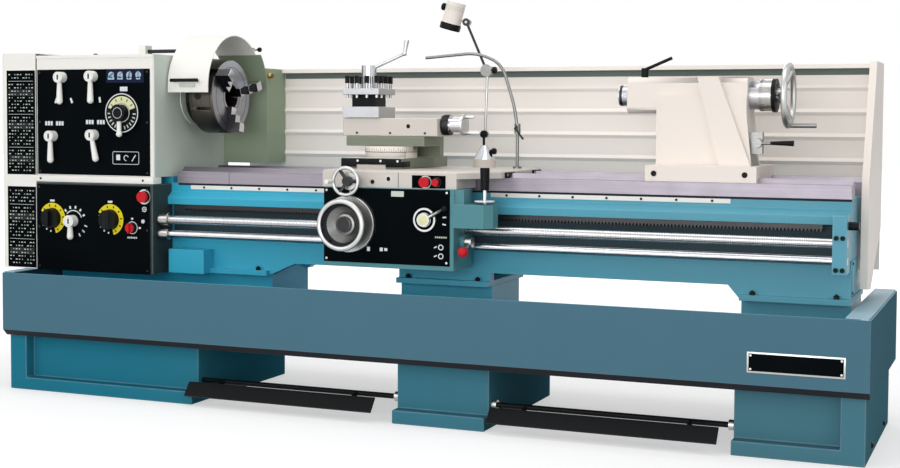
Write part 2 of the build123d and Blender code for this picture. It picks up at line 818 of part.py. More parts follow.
def chip_tray():
    """A trough with a low rear wall and three hollow risers that carry the bed's feet."""
    floor = PEDESTAL_HEIGHT + TRAY_WALL
    bottom_front = [
        (-TRAY_FRONT + TRAY_CHAMFER, PEDESTAL_HEIGHT),
        (TRAY_REAR, PEDESTAL_HEIGHT),
        (TRAY_REAR, TRAY_TOP),
        (-TRAY_FRONT, TRAY_TOP),
        (-TRAY_FRONT, PEDESTAL_HEIGHT + TRAY_CHAMFER),
    ]
    hollow = [
        (-TRAY_FRONT + TRAY_WALL + TRAY_CHAMFER, floor),
        (TRAY_REAR - TRAY_WALL, floor),
        (TRAY_REAR - TRAY_WALL, TRAY_TOP),
        (-TRAY_FRONT + TRAY_WALL, TRAY_TOP),
        (-TRAY_FRONT + TRAY_WALL, floor + TRAY_CHAMFER),
    ]
    inner_x = (TRAY_X0 + TRAY_WALL, TRAY_X1 - TRAY_WALL)
    body = prism_x((TRAY_X0, TRAY_X1), bottom_front) - prism_x(inner_x, hollow)
    rear_top = PEDESTAL_HEIGHT + TRAY_REAR_HEIGHT
    body -= block(inner_x, (TRAY_REAR - TRAY_WALL, TRAY_REAR), (rear_top, TRAY_TOP))
    inner_half = RISER_HALF_WIDTH - RISER_WALL
    for foot in (LEFT_FOOT, MIDDLE_FOOT, RIGHT_FOOT):
        body += block(foot, (-RISER_HALF_WIDTH, RISER_HALF_WIDTH), (floor, FOOT_Z))
        body -= block(
            (foot[0] + RISER_WALL, foot[1] - RISER_WALL),
            (-inner_half, inner_half),
            (PEDESTAL_HEIGHT, FOOT_Z - RISER_WALL),
        )
    return body


def bed_outline(side, ledge):
    """The (Y, Z) section of one bed wall, with the rod ledge on the front wall only."""
    shoulder = BED_TOP - LEDGE_SHOULDER
    skirt = FOOT_Z + SKIRT_RISE + ARCH_RISE
    points = [(BED_TOP_HALF, BED_TOP)]
    if ledge:
        points += [(BED_TOP_HALF, shoulder), (BED_LEDGE_HALF, shoulder - LEDGE_SLOPE)]
        points += [(BED_LEDGE_HALF, LEDGE_Z), (BED_WALL_HALF, LEDGE_Z)]
    else:
        points += [(BED_TOP_HALF, shoulder), (BED_WALL_HALF, shoulder - LEDGE_SLOPE)]
    points += [(BED_WALL_HALF, skirt + SKIRT_SLOPE), (BED_SKIRT_HALF, skirt)]
    points += [(BED_SKIRT_HALF, FOOT_Z), (BED_INNER_HALF, FOOT_Z), (BED_INNER_HALF, BED_TOP)]
    return [(side * y, z) for y, z in points]


def bed():
    """The bed casting: two walls, cross ribs, arches between three feet and the headstock seat."""
    length = (HEAD_X1, BED_X1)
    body = prism_x(length, bed_outline(-1, True)) + prism_x(length, bed_outline(1, False))
    inner = (-BED_INNER_HALF, BED_INNER_HALF)
    rib_count = int((BED_X1 - HEAD_X1 - RIB_THICKNESS) // RIB_PITCH)
    ribs = [BED_X1 - RIB_THICKNESS - step * RIB_PITCH for step in range(rib_count + 1)]
    body += [block((x, x + RIB_THICKNESS), inner, (FOOT_Z + RIB_RISE, BED_TOP)) for x in ribs]
    full_depth = (-FLANGE_HALF, FLANGE_HALF)
    arch = FOOT_Z + ARCH_RISE
    body -= prism_y(full_depth, [
        (LEFT_FOOT[1], FOOT_Z),
        (LEFT_FOOT[1] + LEFT_ARCH_SLANT, arch),
        (MIDDLE_FOOT[0], arch),
        (MIDDLE_FOOT[0], FOOT_Z),
    ])
    body -= prism_y(full_depth, [
        (MIDDLE_FOOT[1], FOOT_Z),
        (MIDDLE_FOOT[1], arch),
        (RIGHT_FOOT[0] - RIGHT_ARCH_SLANT, arch),
        (RIGHT_FOOT[0], FOOT_Z),
    ])
    flange = (FOOT_Z, FOOT_Z + FLANGE_THICKNESS)
    body += block((HEAD_X1, LEFT_FOOT[1]), full_depth, flange)
    body += [block(foot, full_depth, flange) for foot in (MIDDLE_FOOT, RIGHT_FOOT)]
    seat = (-HEAD_SEAT_HALF, HEAD_SEAT_HALF)
    body += block((HEAD_X0, HEAD_X1), seat, (FOOT_Z, HEAD_Z0))
    seat_inner = HEAD_SEAT_HALF - HEAD_SEAT_WALL
    body -= block(
        (HEAD_X0 + HEAD_SEAT_WALL, HEAD_X1 - HEAD_SEAT_WALL),
        (-seat_inner, seat_inner),
        (FOOT_Z, HEAD_Z0 - HEAD_SEAT_WALL),
    )
    sump_y = (-SUMP_FRONT, -BED_INNER_HALF)
    body += block((WAY_X0, WAY_X0 + SUMP_LENGTH), sump_y, (FOOT_Z, FOOT_Z + SUMP_HEIGHT))
    return body


def way_outline(side):
    """One way bar's (Y, Z) section: a flat with a raised V ridge."""
    ridge = RIDGE_WIDTH / 2
    points = [
        (WAY_HALF, BED_TOP),
        (WAY_HALF, WAY_TOP),
        (RIDGE_AT + ridge, WAY_TOP),
        (RIDGE_AT, WAY_TOP + RIDGE_HEIGHT),
        (RIDGE_AT - ridge, WAY_TOP),
        (WAY_HALF - WAY_WIDTH, WAY_TOP),
        (WAY_HALF - WAY_WIDTH, BED_TOP),
    ]
    return [(side * y, z) for y, z in points]


def way_groove(x):
    """The space that a sliding piece leaves for the two V ridges."""
    ridge = RIDGE_WIDTH / 2 + SLIDE_GAP
    peak = WAY_TOP + RIDGE_HEIGHT + SLIDE_GAP + SLOT_GAP
    grooves = []
    for side in (-1, 1):
        centre = side * RIDGE_AT
        grooves.append(prism_x(x, [
            (centre - ridge, WAY_TOP),
            (centre - ridge, WAY_TOP + SLIDE_GAP),
            (centre, peak),
            (centre + ridge, WAY_TOP + SLIDE_GAP),
            (centre + ridge, WAY_TOP),
        ]))
    return grooves


def rack():
    """The toothed rack under the bed's ledge."""
    x0 = HEAD_X1 + RACK_LEAD
    count = int((BED_X1 - RACK_END_GAP - x0) // RACK_PITCH)
    tip = LEDGE_Z - RACK_HEIGHT
    root = tip + RACK_TOOTH
    outline = [(x0, LEDGE_Z), (x0, root)]
    for tooth in range(count):
        start = x0 + tooth * RACK_PITCH
        for share, z in zip(RACK_TOOTH_SHARES, (root, tip, tip, root)):
            outline.append((start + RACK_PITCH * share, z))
    outline += [(x0 + count * RACK_PITCH, root), (x0 + count * RACK_PITCH, LEDGE_Z)]
    return prism_y((-BED_LEDGE_HALF, -BED_LEDGE_HALF + RACK_DEPTH), outline)


def bed_ways():
    pieces = []
    for x in ((WAY_X0, BRIDGE_X1), (BRIDGE_X1, BED_X1)):
        pieces += [prism_x(x, way_outline(side)) for side in (-1, 1)]
    return pieces + [rack()]


def rod_bracket():
    """The right-hand bearing bracket of the leadscrew and feed rod, with a small knob."""
    x = (BED_X1 - BRACKET_LENGTH, BED_X1)
    skirt = FOOT_Z + ARCH_RISE + SKIRT_RISE + SKIRT_SLOPE
    z = (FEED_ROD_Z - BRACKET_FOOT, LEADSCREW_Z + BRACKET_HEAD)
    body = block(x, (-BRACKET_FRONT, -BED_LEDGE_HALF), z)
    body += block(x, (-BED_LEDGE_HALF, -BED_WALL_HALF), (skirt, LEDGE_Z))
    for height, radius in ((LEADSCREW_Z, LEADSCREW_RADIUS), (FEED_ROD_Z, FEED_ROD_RADIUS)):
        body -= rod_x(x, -ROD_FRONT, height, radius + RUN_GAP)
    knob_y = -(BRACKET_FRONT + BED_LEDGE_HALF) / 2
    knob_x = (BED_X1, BED_X1 + BRACKET_KNOB_LENGTH)
    return [body, rod_x(knob_x, knob_y, z[1] - BRACKET_KNOB_DROP, BRACKET_KNOB_RADIUS)]


def shaft_along_bed(height, radius):
    """A bright bar from the gearbox to the end bracket, with a dark collar at its left end."""
    bar = rod_x((HEAD_X1 - ROD_TAIL, BED_X1), -ROD_FRONT, height, radius)
    collar = (HEAD_X1 + COLLAR_LEAD, HEAD_X1 + COLLAR_LEAD + COLLAR_LENGTH)
    return bar + rod_x(collar, -ROD_FRONT, height, radius + COLLAR_THICKNESS)


def leadscrew():
    return shaft_along_bed(LEADSCREW_Z, LEADSCREW_RADIUS)


def feed_rod():
    return shaft_along_bed(FEED_ROD_Z, FEED_ROD_RADIUS)


def head_controls():
    """The (X, Z) place and bore radius of each control on the headstock's front."""
    places = [(lead, rise, CONTROL_PIN_RADIUS) for _, lead, rise, _ in LEVER_PLACES]
    places.append((SPEED_DIAL_LEAD, -SPEED_DIAL_DROP, CONTROL_PIN_RADIUS))
    return [(HEAD_X0 + lead, SPINDLE_Z + rise, radius) for lead, rise, radius in places]


def gearbox_controls():
    """The (X, Z) place and bore radius of each control on the gearbox's front."""
    places = [(lead, rise, CONTROL_PIN_RADIUS) for _, lead, rise in FEED_DIAL_PLACES]
    places.append((FEED_LEVER_LEAD, -FEED_LEVER_DROP, CONTROL_PIN_RADIUS))
    places.append((SWITCH_LEAD, -SWITCH_DROP, CONTROL_PIN_RADIUS))
    places.append((STOP_LEAD, -STOP_DROP, BUTTON_STEM_RADIUS))
    return [(HEAD_X0 + lead, SPINDLE_Z + rise, radius) for lead, rise, radius in places]


def control_bores(places, front, depth):
    y = (front, front + depth)
    return [rod_y(x, y, z, radius + RUN_GAP) for x, z, radius in places]


def hinge_lug(knuckle_rise):
    """A headstock lug that holds the end cover's hinge pin above a knuckle."""
    z0 = HEAD_Z0 + knuckle_rise + KNUCKLE_LENGTH + FACE_GAP
    z = (z0, z0 + LUG_LENGTH)
    lug = block((HEAD_X0, HEAD_X0 + LUG_WIDTH), (HEAD_REAR, HINGE_Y + HINGE_RADIUS), z)
    lug += block((HINGE_X, HEAD_X0), (HINGE_Y - HINGE_RADIUS, HINGE_Y + HINGE_RADIUS), z)
    lug += rod_z(HINGE_X, HINGE_Y, z, HINGE_RADIUS)
    return lug - rod_z(HINGE_X, HINGE_Y, z, HINGE_PIN_RADIUS + RUN_GAP)


def guard_rod_place():
    radius = GUARD_RADIUS + GUARD_ROD_RADIUS - GUARD_ROD_SINK
    return polar((0, GUARD_Z), radius, GUARD_ROD_ANGLE)


def headstock():
    """The headstock casting with its bearing seats, and the lid with the guard's bearing blocks."""
    x, y, z = (HEAD_X0, HEAD_X1), (-HEAD_FRONT, HEAD_REAR), (HEAD_Z0, HEAD_Z1)
    casting = block(x, y, z)
    edge = casting.edges().filter_by(Axis.Z).sort_by(Axis.X)[-2:].sort_by(Axis.Y)[:1]
    casting = fillet(edge, HEAD_EDGE_RADIUS)
    casting -= block(
        (HEAD_X0 + HEAD_LEFT_WALL, HEAD_X1 - HEAD_RIGHT_WALL),
        (-HEAD_FRONT + HEAD_FRONT_WALL, HEAD_REAR - HEAD_REAR_WALL),
        (HEAD_Z0 + HEAD_FLOOR, HEAD_Z1),
    )
    casting += rod_x((HEAD_X1, HEAD_X1 + BEARING_CAP_THICKNESS), 0, SPINDLE_Z, BEARING_CAP_RADIUS)
    front_seat = (HEAD_X1 - HEAD_RIGHT_WALL, HEAD_X1 - BEARING_SETBACK)
    rear_seat = (HEAD_X0 + BEARING_SETBACK, HEAD_X0 + HEAD_LEFT_WALL)
    casting -= rod_x(front_seat, 0, SPINDLE_Z, FRONT_BEARING_RADIUS)
    casting -= rod_x(rear_seat, 0, SPINDLE_Z, REAR_BEARING_RADIUS)
    front_hole = (front_seat[1], HEAD_X1 + BEARING_CAP_THICKNESS)
    casting -= rod_x(front_hole, 0, SPINDLE_Z, SPINDLE_FRONT_RADIUS + PASS_GAP)
    casting -= rod_x((HEAD_X0, rear_seat[0]), 0, SPINDLE_Z, SPINDLE_REAR_RADIUS + PASS_GAP)
    idler_y, idler_z = idler_place()
    idler_bore = (HEAD_X0, HEAD_X0 + HEAD_LEFT_WALL)
    casting -= rod_x(idler_bore, idler_y, idler_z, IDLER_SHAFT_RADIUS + RUN_GAP)
    casting -= control_bores(head_controls(), -HEAD_FRONT, CONTROL_PIN_DEPTH)
    casting += [hinge_lug(rise) for rise in (UPPER_KNUCKLE_RISE, LOWER_KNUCKLE_RISE)]
    over = LID_OVERHANG
    lid = block(x, (-HEAD_FRONT - over, HEAD_REAR + over), (HEAD_Z1, LID_Z1))
    lid_corner = lid.edges().filter_by(Axis.Z).sort_by(Axis.X)[-2:].sort_by(Axis.Y)[:1]
    lid = fillet(lid_corner, HEAD_EDGE_RADIUS)
    rod_centre = guard_rod_place()
    for lead in GUARD_BLOCK_LEADS:
        block_x = (HEAD_X1 - lead - GUARD_BLOCK_WIDTH, HEAD_X1 - lead)
        block_y = (rod_centre[0] - GUARD_BLOCK_DEPTH / 2, rod_centre[0] + GUARD_BLOCK_DEPTH / 2)
        top = rod_centre[1] + GUARD_BLOCK_DEPTH / 2
        bearing = block(block_x, block_y, (LID_Z1, top))
        lid += bearing - rod_x(block_x, *rod_centre, GUARD_ROD_RADIUS + RUN_GAP)
    return [casting, lid]


def panel(x, z, back, places):
    """A flat control panel with a bore for each control."""
    plate = block(x, (back - PANEL_THICKNESS, back), z)
    return plate - control_bores(places, back - PANEL_THICKNESS, PANEL_THICKNESS)


def control_panels():
    head_x = (HEAD_X0 + PANEL_EDGE, HEAD_X1 - HEAD_EDGE_RADIUS)
    head_z = (HEAD_Z0 + HEAD_PANEL_FOOT, HEAD_Z0 + HEAD_PANEL_FOOT + HEAD_PANEL_HEIGHT)
    box_x = (HEAD_X0 + PANEL_EDGE, HEAD_X1 - GEARBOX_PANEL_RIGHT_EDGE)
    box_z = (GEARBOX_Z0, GEARBOX_Z1 - GEARBOX_PANEL_HEAD)
    return [
        panel(head_x, head_z, -HEAD_FRONT, head_controls()),
        panel(box_x, box_z, -GEARBOX_FRONT, gearbox_controls()),
    ]


def feed_gearbox():
    """The gearbox casting, open at the back against the bed's headstock seat."""
    x, y, z = (HEAD_X0, HEAD_X1), (-GEARBOX_FRONT, -HEAD_SEAT_HALF), (GEARBOX_Z0, GEARBOX_Z1)
    body = block(x, y, z) - block(
        (x[0] + GEARBOX_SIDE_WALL, x[1] - GEARBOX_SIDE_WALL),
        (y[0] + GEARBOX_FRONT_WALL, y[1]),
        (z[0] + GEARBOX_TOP_WALL, z[1] - GEARBOX_TOP_WALL),
    )
    right = (x[1] - GEARBOX_SIDE_WALL, x[1])
    body -= rod_x(right, -ROD_FRONT, LEADSCREW_Z, LEADSCREW_RADIUS + RUN_GAP)
    body -= rod_x(right, -ROD_FRONT, FEED_ROD_Z, FEED_ROD_RADIUS + RUN_GAP)
    left = (x[0], x[0] + GEARBOX_SIDE_WALL)
    body -= rod_x(left, *input_place(), INPUT_SHAFT_RADIUS + RUN_GAP)
    return body - control_bores(gearbox_controls(), -GEARBOX_FRONT, CONTROL_PIN_DEPTH)


def spindle_bearings():
    front_x1 = HEAD_X1 - BEARING_SETBACK
    rear_x0 = HEAD_X0 + BEARING_SETBACK
    return [
        ring_x((front_x1 - FRONT_BEARING_WIDTH, front_x1), 0, SPINDLE_Z,
               FRONT_BEARING_RADIUS, SPINDLE_FRONT_RADIUS + RUN_GAP),
        ring_x((rear_x0, rear_x0 + REAR_BEARING_WIDTH), 0, SPINDLE_Z,
               REAR_BEARING_RADIUS, SPINDLE_REAR_RADIUS + RUN_GAP),
    ]


def main_motor():
    """The drive motor on a plate behind the headstock seat, with its terminal box."""
    x0 = HEAD_X0 + MOTOR_LEAD
    x1 = x0 + MOTOR_LENGTH
    y = HEAD_SEAT_HALF + MOTOR_PLATE_THICKNESS + MOTOR_STANDOFF + MOTOR_RADIUS
    z = SPINDLE_Z - MOTOR_DROP
    core = (x0 + MOTOR_CAP_LENGTH, x1 - MOTOR_CAP_LENGTH)
    body = rod_x((x0, x1), y, z, MOTOR_RADIUS - MOTOR_CAP_STEP) + rod_x(core, y, z, MOTOR_RADIUS)
    plate_y = (HEAD_SEAT_HALF, HEAD_SEAT_HALF + MOTOR_PLATE_THICKNESS)
    half = MOTOR_PLATE_HEIGHT / 2
    body += block(core, plate_y, (z - half, z + half))
    foot_y = (plate_y[1], y)
    for edge in (z - half, z + half - MOTOR_PLATE_THICKNESS):
        body += block(core, foot_y, (edge, edge + MOTOR_PLATE_THICKNESS))
    middle = (x0 + x1) / 2
    box_x = (middle - MOTOR_BOX_SIZE / 2, middle + MOTOR_BOX_SIZE / 2)
    box_y = (y - MOTOR_BOX_SIZE / 2, y + MOTOR_BOX_SIZE / 2)
    return body + block(box_x, box_y, (z, z + MOTOR_RADIUS + MOTOR_BOX_HEIGHT))


def gear_section(teeth, phase):
    """The (Y, Z) outline of a spur gear about its own centre, thinned for backlash."""
    pitch = GEAR_MODULE * teeth / 2
    base = pitch * math.cos(math.radians(GEAR_PRESSURE_ANGLE))
    root = pitch - GEAR_ROOT_DEPTH * GEAR_MODULE
    tip = pitch + GEAR_MODULE

    def involute(radius):
        angle = math.acos(min(1, base / radius))
        return math.tan(angle) - angle

    half_pitch_width = (math.pi * GEAR_MODULE / 2 - GEAR_BACKLASH) / 2 / pitch
    outline = []
    for tooth in range(teeth):
        centre = phase + 2 * math.pi * tooth / teeth
        flank = []
        for radius in (root, pitch, tip):
            half = half_pitch_width + involute(pitch) - involute(max(radius, base))
            flank.append((radius, half))
        for radius, half in flank:
            outline.append((radius * math.cos(centre - half), radius * math.sin(centre - half)))
        for radius, half in reversed(flank):
            outline.append((radius * math.cos(centre + half), radius * math.sin(centre + half)))
    return outline


def gear(centre, teeth, phase):
    outline = [(centre[0] + y, centre[1] + z) for y, z in gear_section(teeth, phase)]
    return prism_x(GEAR_X, outline)


def input_place():
    return -INPUT_SHAFT_FRONT, SPINDLE_Z - INPUT_SHAFT_DROP


def idler_place():
    """The idler's centre, at its mesh distance from the spindle gear and the input gear."""
    y, z = -INPUT_SHAFT_FRONT, -INPUT_SHAFT_DROP
    apart = math.hypot(y, z)
    to_spindle = GEAR_MODULE * (SPINDLE_TEETH + IDLER_TEETH) / 2
    to_input = GEAR_MODULE * (INPUT_TEETH + IDLER_TEETH) / 2
    along = (to_spindle ** 2 - to_input ** 2 + apart ** 2) / (2 * apart)
    aside = math.sqrt(to_spindle ** 2 - along ** 2)
    return (y * along - z * aside) / apart, SPINDLE_Z + (z * along + y * aside) / apart


def meshed_phase(centre, teeth, phase, next_centre, next_teeth):
    """The phase that puts the next gear's tooth gap on this gear's tooth."""
    towards = math.atan2(next_centre[1] - centre[1], next_centre[0] - centre[0])
    return towards + math.pi - (phase - towards) * teeth / next_teeth + math.pi / next_teeth


def idler_phase():
    return meshed_phase((0, SPINDLE_Z), SPINDLE_TEETH, 0, idler_place(), IDLER_TEETH)


def spindle():
    """The hollow spindle: nose flange, two journals and the change gear at the tail."""
    middle = (HEAD_X0 + HEAD_LEFT_WALL, HEAD_X1 - HEAD_RIGHT_WALL)
    body = rod_x((HEAD_X0 - SPINDLE_TAIL, middle[0]), 0, SPINDLE_Z, SPINDLE_REAR_RADIUS)
    body += gear((0, SPINDLE_Z), SPINDLE_TEETH, 0)
    body += rod_x(middle, 0, SPINDLE_Z, SPINDLE_MIDDLE_RADIUS)
    body += rod_x((middle[1], NOSE_X1), 0, SPINDLE_Z, SPINDLE_FRONT_RADIUS)
    body += rod_x((HEAD_X1 + NOSE_GAP, NOSE_X1), 0, SPINDLE_Z, NOSE_RADIUS)
    return body - rod_x((HEAD_X0 - SPINDLE_TAIL, NOSE_X1), 0, SPINDLE_Z, SPINDLE_BORE_RADIUS)


def idler_gear():
    place = idler_place()
    body = gear(place, IDLER_TEETH, idler_phase())
    body += rod_x((GEAR_X[0] - IDLER_HUB_LENGTH, GEAR_X[1] + IDLER_HUB_LENGTH), *place, IDLER_HUB_RADIUS)
    return body + rod_x((GEAR_X[0], HEAD_X0 + HEAD_LEFT_WALL), *place, IDLER_SHAFT_RADIUS)


def input_gear():
    place = input_place()
    phase = meshed_phase(idler_place(), IDLER_TEETH, idler_phase(), place, INPUT_TEETH)
    shaft_x = (GEAR_X[0], HEAD_X0 + INPUT_SHAFT_DEPTH)
    return gear(place, INPUT_TEETH, phase) + rod_x(shaft_x, *place, INPUT_SHAFT_RADIUS)


def turned_about_spindle(shape, degrees):
    return Pos(0, 0, SPINDLE_Z) * Rot(degrees, 0, 0) * shape


def jaw_angles():
    return [FIRST_JAW_ANGLE + 360 / JAW_COUNT * index for index in range(JAW_COUNT)]


def chuck_body():
    """The chuck with its backplate, three jaw slots, through bore and key sockets."""
    body = rod_x((CHUCK_X0, CHUCK_X1), 0, SPINDLE_Z, CHUCK_RADIUS)
    body = fillet(body.edges().filter_by(GeomType.CIRCLE), CHUCK_EDGE)
    body += rod_x((NOSE_X1, CHUCK_X0), 0, SPINDLE_Z, BACKPLATE_RADIUS)
    body -= rod_x((NOSE_X1, CHUCK_X1), 0, SPINDLE_Z, CHUCK_BORE_RADIUS)
    half_slot = JAW_WIDTH / 2 + SLOT_GAP
    slot = block((CHUCK_X1 - JAW_SLOT_DEPTH, CHUCK_X1), (0, CHUCK_RADIUS), (-half_slot, half_slot))
    key_x = (CHUCK_X1 - CHUCK_KEY_SETBACK - CHUCK_KEY_SIZE, CHUCK_X1 - CHUCK_KEY_SETBACK)
    half_key = CHUCK_KEY_SIZE / 2
    key = block(key_x, (CHUCK_RADIUS - CHUCK_KEY_DEPTH, CHUCK_RADIUS), (-half_key, half_key))
    for angle in jaw_angles():
        body -= turned_about_spindle(slot, angle)
        body -= turned_about_spindle(key, angle + 180 / JAW_COUNT)
    return body


def chuck_jaw(degrees):
    half = JAW_WIDTH / 2
    floor = CHUCK_X1 - JAW_SLOT_DEPTH + SLOT_GAP
    jaw = block((floor, CHUCK_X1), (JAW_BASE_INNER, JAW_BASE_OUTER), (-half, half))
    for inner, outer, rise in JAW_STEPS:
        jaw += block((CHUCK_X1 + SLOT_GAP, CHUCK_X1 + rise), (inner, outer), (-half, half))
    jaw += block((CHUCK_X1, CHUCK_X1 + SLOT_GAP), (JAW_BASE_INNER, JAW_BASE_OUTER), (-half, half))
    return turned_about_spindle(jaw, degrees)


def sheet_arc(x, centre, outer, thickness, start, end):
    """A curved sheet about an X axis, from one angle to another."""
    inner = outer - thickness
    middle = (start + end) / 2
    outer_points = [(x[0], *polar(centre, outer, angle)) for angle in (start, middle, end)]
    inner_points = [(x[0], *polar(centre, inner, angle)) for angle in (end, middle, start)]
    edges = [
        ThreePointArc(*outer_points),
        Line(outer_points[2], inner_points[0]),
        ThreePointArc(*inner_points),
        Line(inner_points[2], outer_points[0]),
    ]
    return extrude(make_face(edges), x[1] - x[0], dir=(1, 0, 0))


def chuck_guard():
    """The hinged hood over the chuck, with its rod and front handle."""
    x = (HEAD_X1 + GUARD_GAP, HEAD_X1 + GUARD_GAP + GUARD_LENGTH)
    hood = sheet_arc(x, (0, GUARD_Z), GUARD_RADIUS, GUARD_THICKNESS, GUARD_REAR_ANGLE, 180)
    skirt_y = (-GUARD_RADIUS, -GUARD_RADIUS + GUARD_THICKNESS)
    hood += block(x, skirt_y, (GUARD_Z - GUARD_SKIRT, GUARD_Z))
    hood += rod_x((HEAD_X1 - GUARD_ROD_TAIL, x[1]), *guard_rod_place(), GUARD_ROD_RADIUS)
    grip_x0 = x[0] + GUARD_HANDLE_INSET
    grip_x1 = grip_x0 + GUARD_HANDLE_LENGTH
    angle = 180 - math.degrees(math.asin(GUARD_HANDLE_RISE / GUARD_RADIUS))
    root_y, z = polar((0, GUARD_Z), GUARD_RADIUS - GUARD_THICKNESS / 2, angle)
    grip_y = root_y - GUARD_HANDLE_REACH
    hood += rod_x((grip_x0, grip_x1), grip_y, z, GUARD_HANDLE_RADIUS)
    for post in (grip_x0 + GUARD_HANDLE_RADIUS, grip_x1 - GUARD_HANDLE_RADIUS):
        hood += rod((post, grip_y, z), (post, root_y, z), GUARD_POST_RADIUS)
    return hood


def end_cover():
    """The welded sheet cover over the change gears, open to the headstock, with its hinge knuckles."""
    x = (HEAD_X0 - COVER_GAP - COVER_LENGTH, HEAD_X0 - COVER_GAP)
    y = (-COVER_FRONT, COVER_REAR)
    z = (TRAY_TOP + COVER_FOOT_RISE, HEAD_Z1 + COVER_TOP_RISE)
    inner_x = x[0] + COVER_WALL
    inner_y = (y[0] + COVER_WALL, y[1] - COVER_WALL)
    inner_z = (z[0] + COVER_WALL, z[1] - COVER_WALL)
    shell = block(x, y, z)
    corners = shell.edges().filter_by(Axis.Z).sort_by(Axis.X)[:2]
    shell = fillet(corners, COVER_EDGE_RADIUS)
    hollow = block((inner_x, x[1]), inner_y, inner_z)
    inner_corners = hollow.edges().filter_by(Axis.Z).sort_by(Axis.X)[:2]
    shell -= fillet(inner_corners, COVER_EDGE_RADIUS - COVER_WALL)
    shell -= rod_x((x[0], inner_x), 0, SPINDLE_Z, COVER_HOLE_RADIUS)
    bend_x = x[0] + COVER_EDGE_RADIUS
    bend_y = (y[0] + COVER_EDGE_RADIUS, y[1] - COVER_EDGE_RADIUS)
    sheets = [
        block(x, y, (z[0], inner_z[0])),
        block(x, y, (inner_z[1], z[1])),
        block((bend_x, x[1]), (y[0], inner_y[0]), inner_z),
        block((bend_x, x[1]), (inner_y[1], y[1]), inner_z),
        block((x[0], inner_x), bend_y, inner_z),
        block((x[0], bend_x), (y[0], bend_y[0]), inner_z),
        block((x[0], bend_x), (bend_y[1], y[1]), inner_z),
    ]
    solids = [shell & sheet for sheet in sheets]
    for rise in (UPPER_KNUCKLE_RISE, LOWER_KNUCKLE_RISE):
        z0 = HEAD_Z0 + rise
        z1 = z0 + KNUCKLE_LENGTH
        web_x = (HINGE_X - HINGE_RADIUS, HINGE_X + HINGE_RADIUS / 2)
        knuckle = block(web_x, (COVER_REAR, HINGE_Y), (z0, z1))
        knuckle += rod_z(HINGE_X, HINGE_Y, (z0, z1), HINGE_RADIUS)
        knuckle += rod_z(HINGE_X, HINGE_Y, (z1, z1 + FACE_GAP + LUG_LENGTH), HINGE_PIN_RADIUS)
        solids.append(knuckle)
    return solids


def splash_outline():
    """The back sheet's (Y, Z) section: a flat sheet with pressed swages and a folded lip."""
    top = WAY_TOP + SPLASH_TOP_RISE
    face = [(SPLASH_SETBACK, top), (SPLASH_SETBACK - SPLASH_LIP_DEPTH, top)]
    face += [(SPLASH_SETBACK - SPLASH_LIP_DEPTH, top - SPLASH_LIP_HEIGHT)]
    face += [(SPLASH_SETBACK, top - SPLASH_LIP_HEIGHT)]
    for index in range(SWAGE_COUNT):
        centre = top - SWAGE_FIRST - index * SWAGE_PITCH
        half = SWAGE_HEIGHT / 2
        face += [(SPLASH_SETBACK, centre + half), (SPLASH_SETBACK - SWAGE_DEPTH, centre)]
        face += [(SPLASH_SETBACK, centre - half)]
    foot = WAY_TOP - SPLASH_FOOT_DROP
    back = SPLASH_SETBACK + SPLASH_THICKNESS
    return face + [(SPLASH_SETBACK, foot), (back, foot), (back, top)]


def splash_wing():
    """The right-hand wing: a trapezoid sheet with a flange along its front edge."""
    outer = BED_X1 + WING_OFFSET
    top = WAY_TOP + SPLASH_TOP_RISE
    shoulder = WAY_TOP + WING_SHOULDER_RISE
    front_foot = WAY_TOP - WING_FRONT_FOOT
    rear = SPLASH_SETBACK + SPLASH_THICKNESS
    front_edge = [(-WING_FRONT, front_foot), (-WING_FRONT, shoulder), (WING_TOP_REAR, top)]
    back_edge = [(rear, top), (rear, WAY_TOP - WING_REAR_DROP), (WING_FOOT_Y, WAY_TOP - WING_FOOT_DROP)]
    wing = prism_x((outer, outer + SPLASH_THICKNESS), front_edge + back_edge)
    behind = [(y + SPLASH_THICKNESS, z) for y, z in reversed(front_edge)]
    return wing + prism_x((outer - WING_FLANGE, outer + SPLASH_THICKNESS), front_edge + behind)


def chuck_shield():
    """The fixed shield behind the chuck, joined to the back sheet by a side plate."""
    x = (HEAD_X1 + SHIELD_GAP, HEAD_X1 + SHIELD_GAP + SHIELD_LENGTH)
    foot = WAY_TOP + SHIELD_FOOT_RISE
    shield = sheet_arc(x, (0, GUARD_Z), SHIELD_RADIUS, SPLASH_THICKNESS, 0, SHIELD_ANGLE)
    shield += block(x, (SHIELD_RADIUS - SPLASH_THICKNESS, SHIELD_RADIUS), (foot, GUARD_Z))
    plate_x = (x[1] - SPLASH_THICKNESS, x[1])
    inner = SHIELD_RADIUS - SPLASH_THICKNESS
    shield += block(plate_x, (inner, SPLASH_SETBACK), (foot, GUARD_Z))
    top = WAY_TOP + SPLASH_TOP_RISE
    upper = block(plate_x, (SHIELD_RADIUS / 2, SPLASH_SETBACK), (GUARD_Z, top))
    shield += upper - rod_x(plate_x, 0, GUARD_Z, inner)
    knob_x = (x[1], x[1] + SHIELD_KNOB_LENGTH)
    knob_y = SHIELD_RADIUS + SHIELD_KNOB_SETBACK
    return shield + rod_x(knob_x, knob_y, top - SHIELD_KNOB_DROP, SHIELD_KNOB_RADIUS)


def splash_guard():
    sheet = prism_x((HEAD_X1 + SPLASH_LEAD, BED_X1 + WING_OFFSET), splash_outline())
    sheet += splash_wing()
    sheet += chuck_shield()
    z1 = WAY_TOP - BRACE_DROP
    y = (BED_WALL_HALF, SPLASH_SETBACK)
    for x0 in [HEAD_X1 + lead for lead in BRACE_LEADS] + [BED_X1 - RIGHT_BRACE_INSET]:
        sheet += block((x0, x0 + BRACE_WIDTH), y, (z1 - BRACE_HEIGHT, z1))
    return sheet


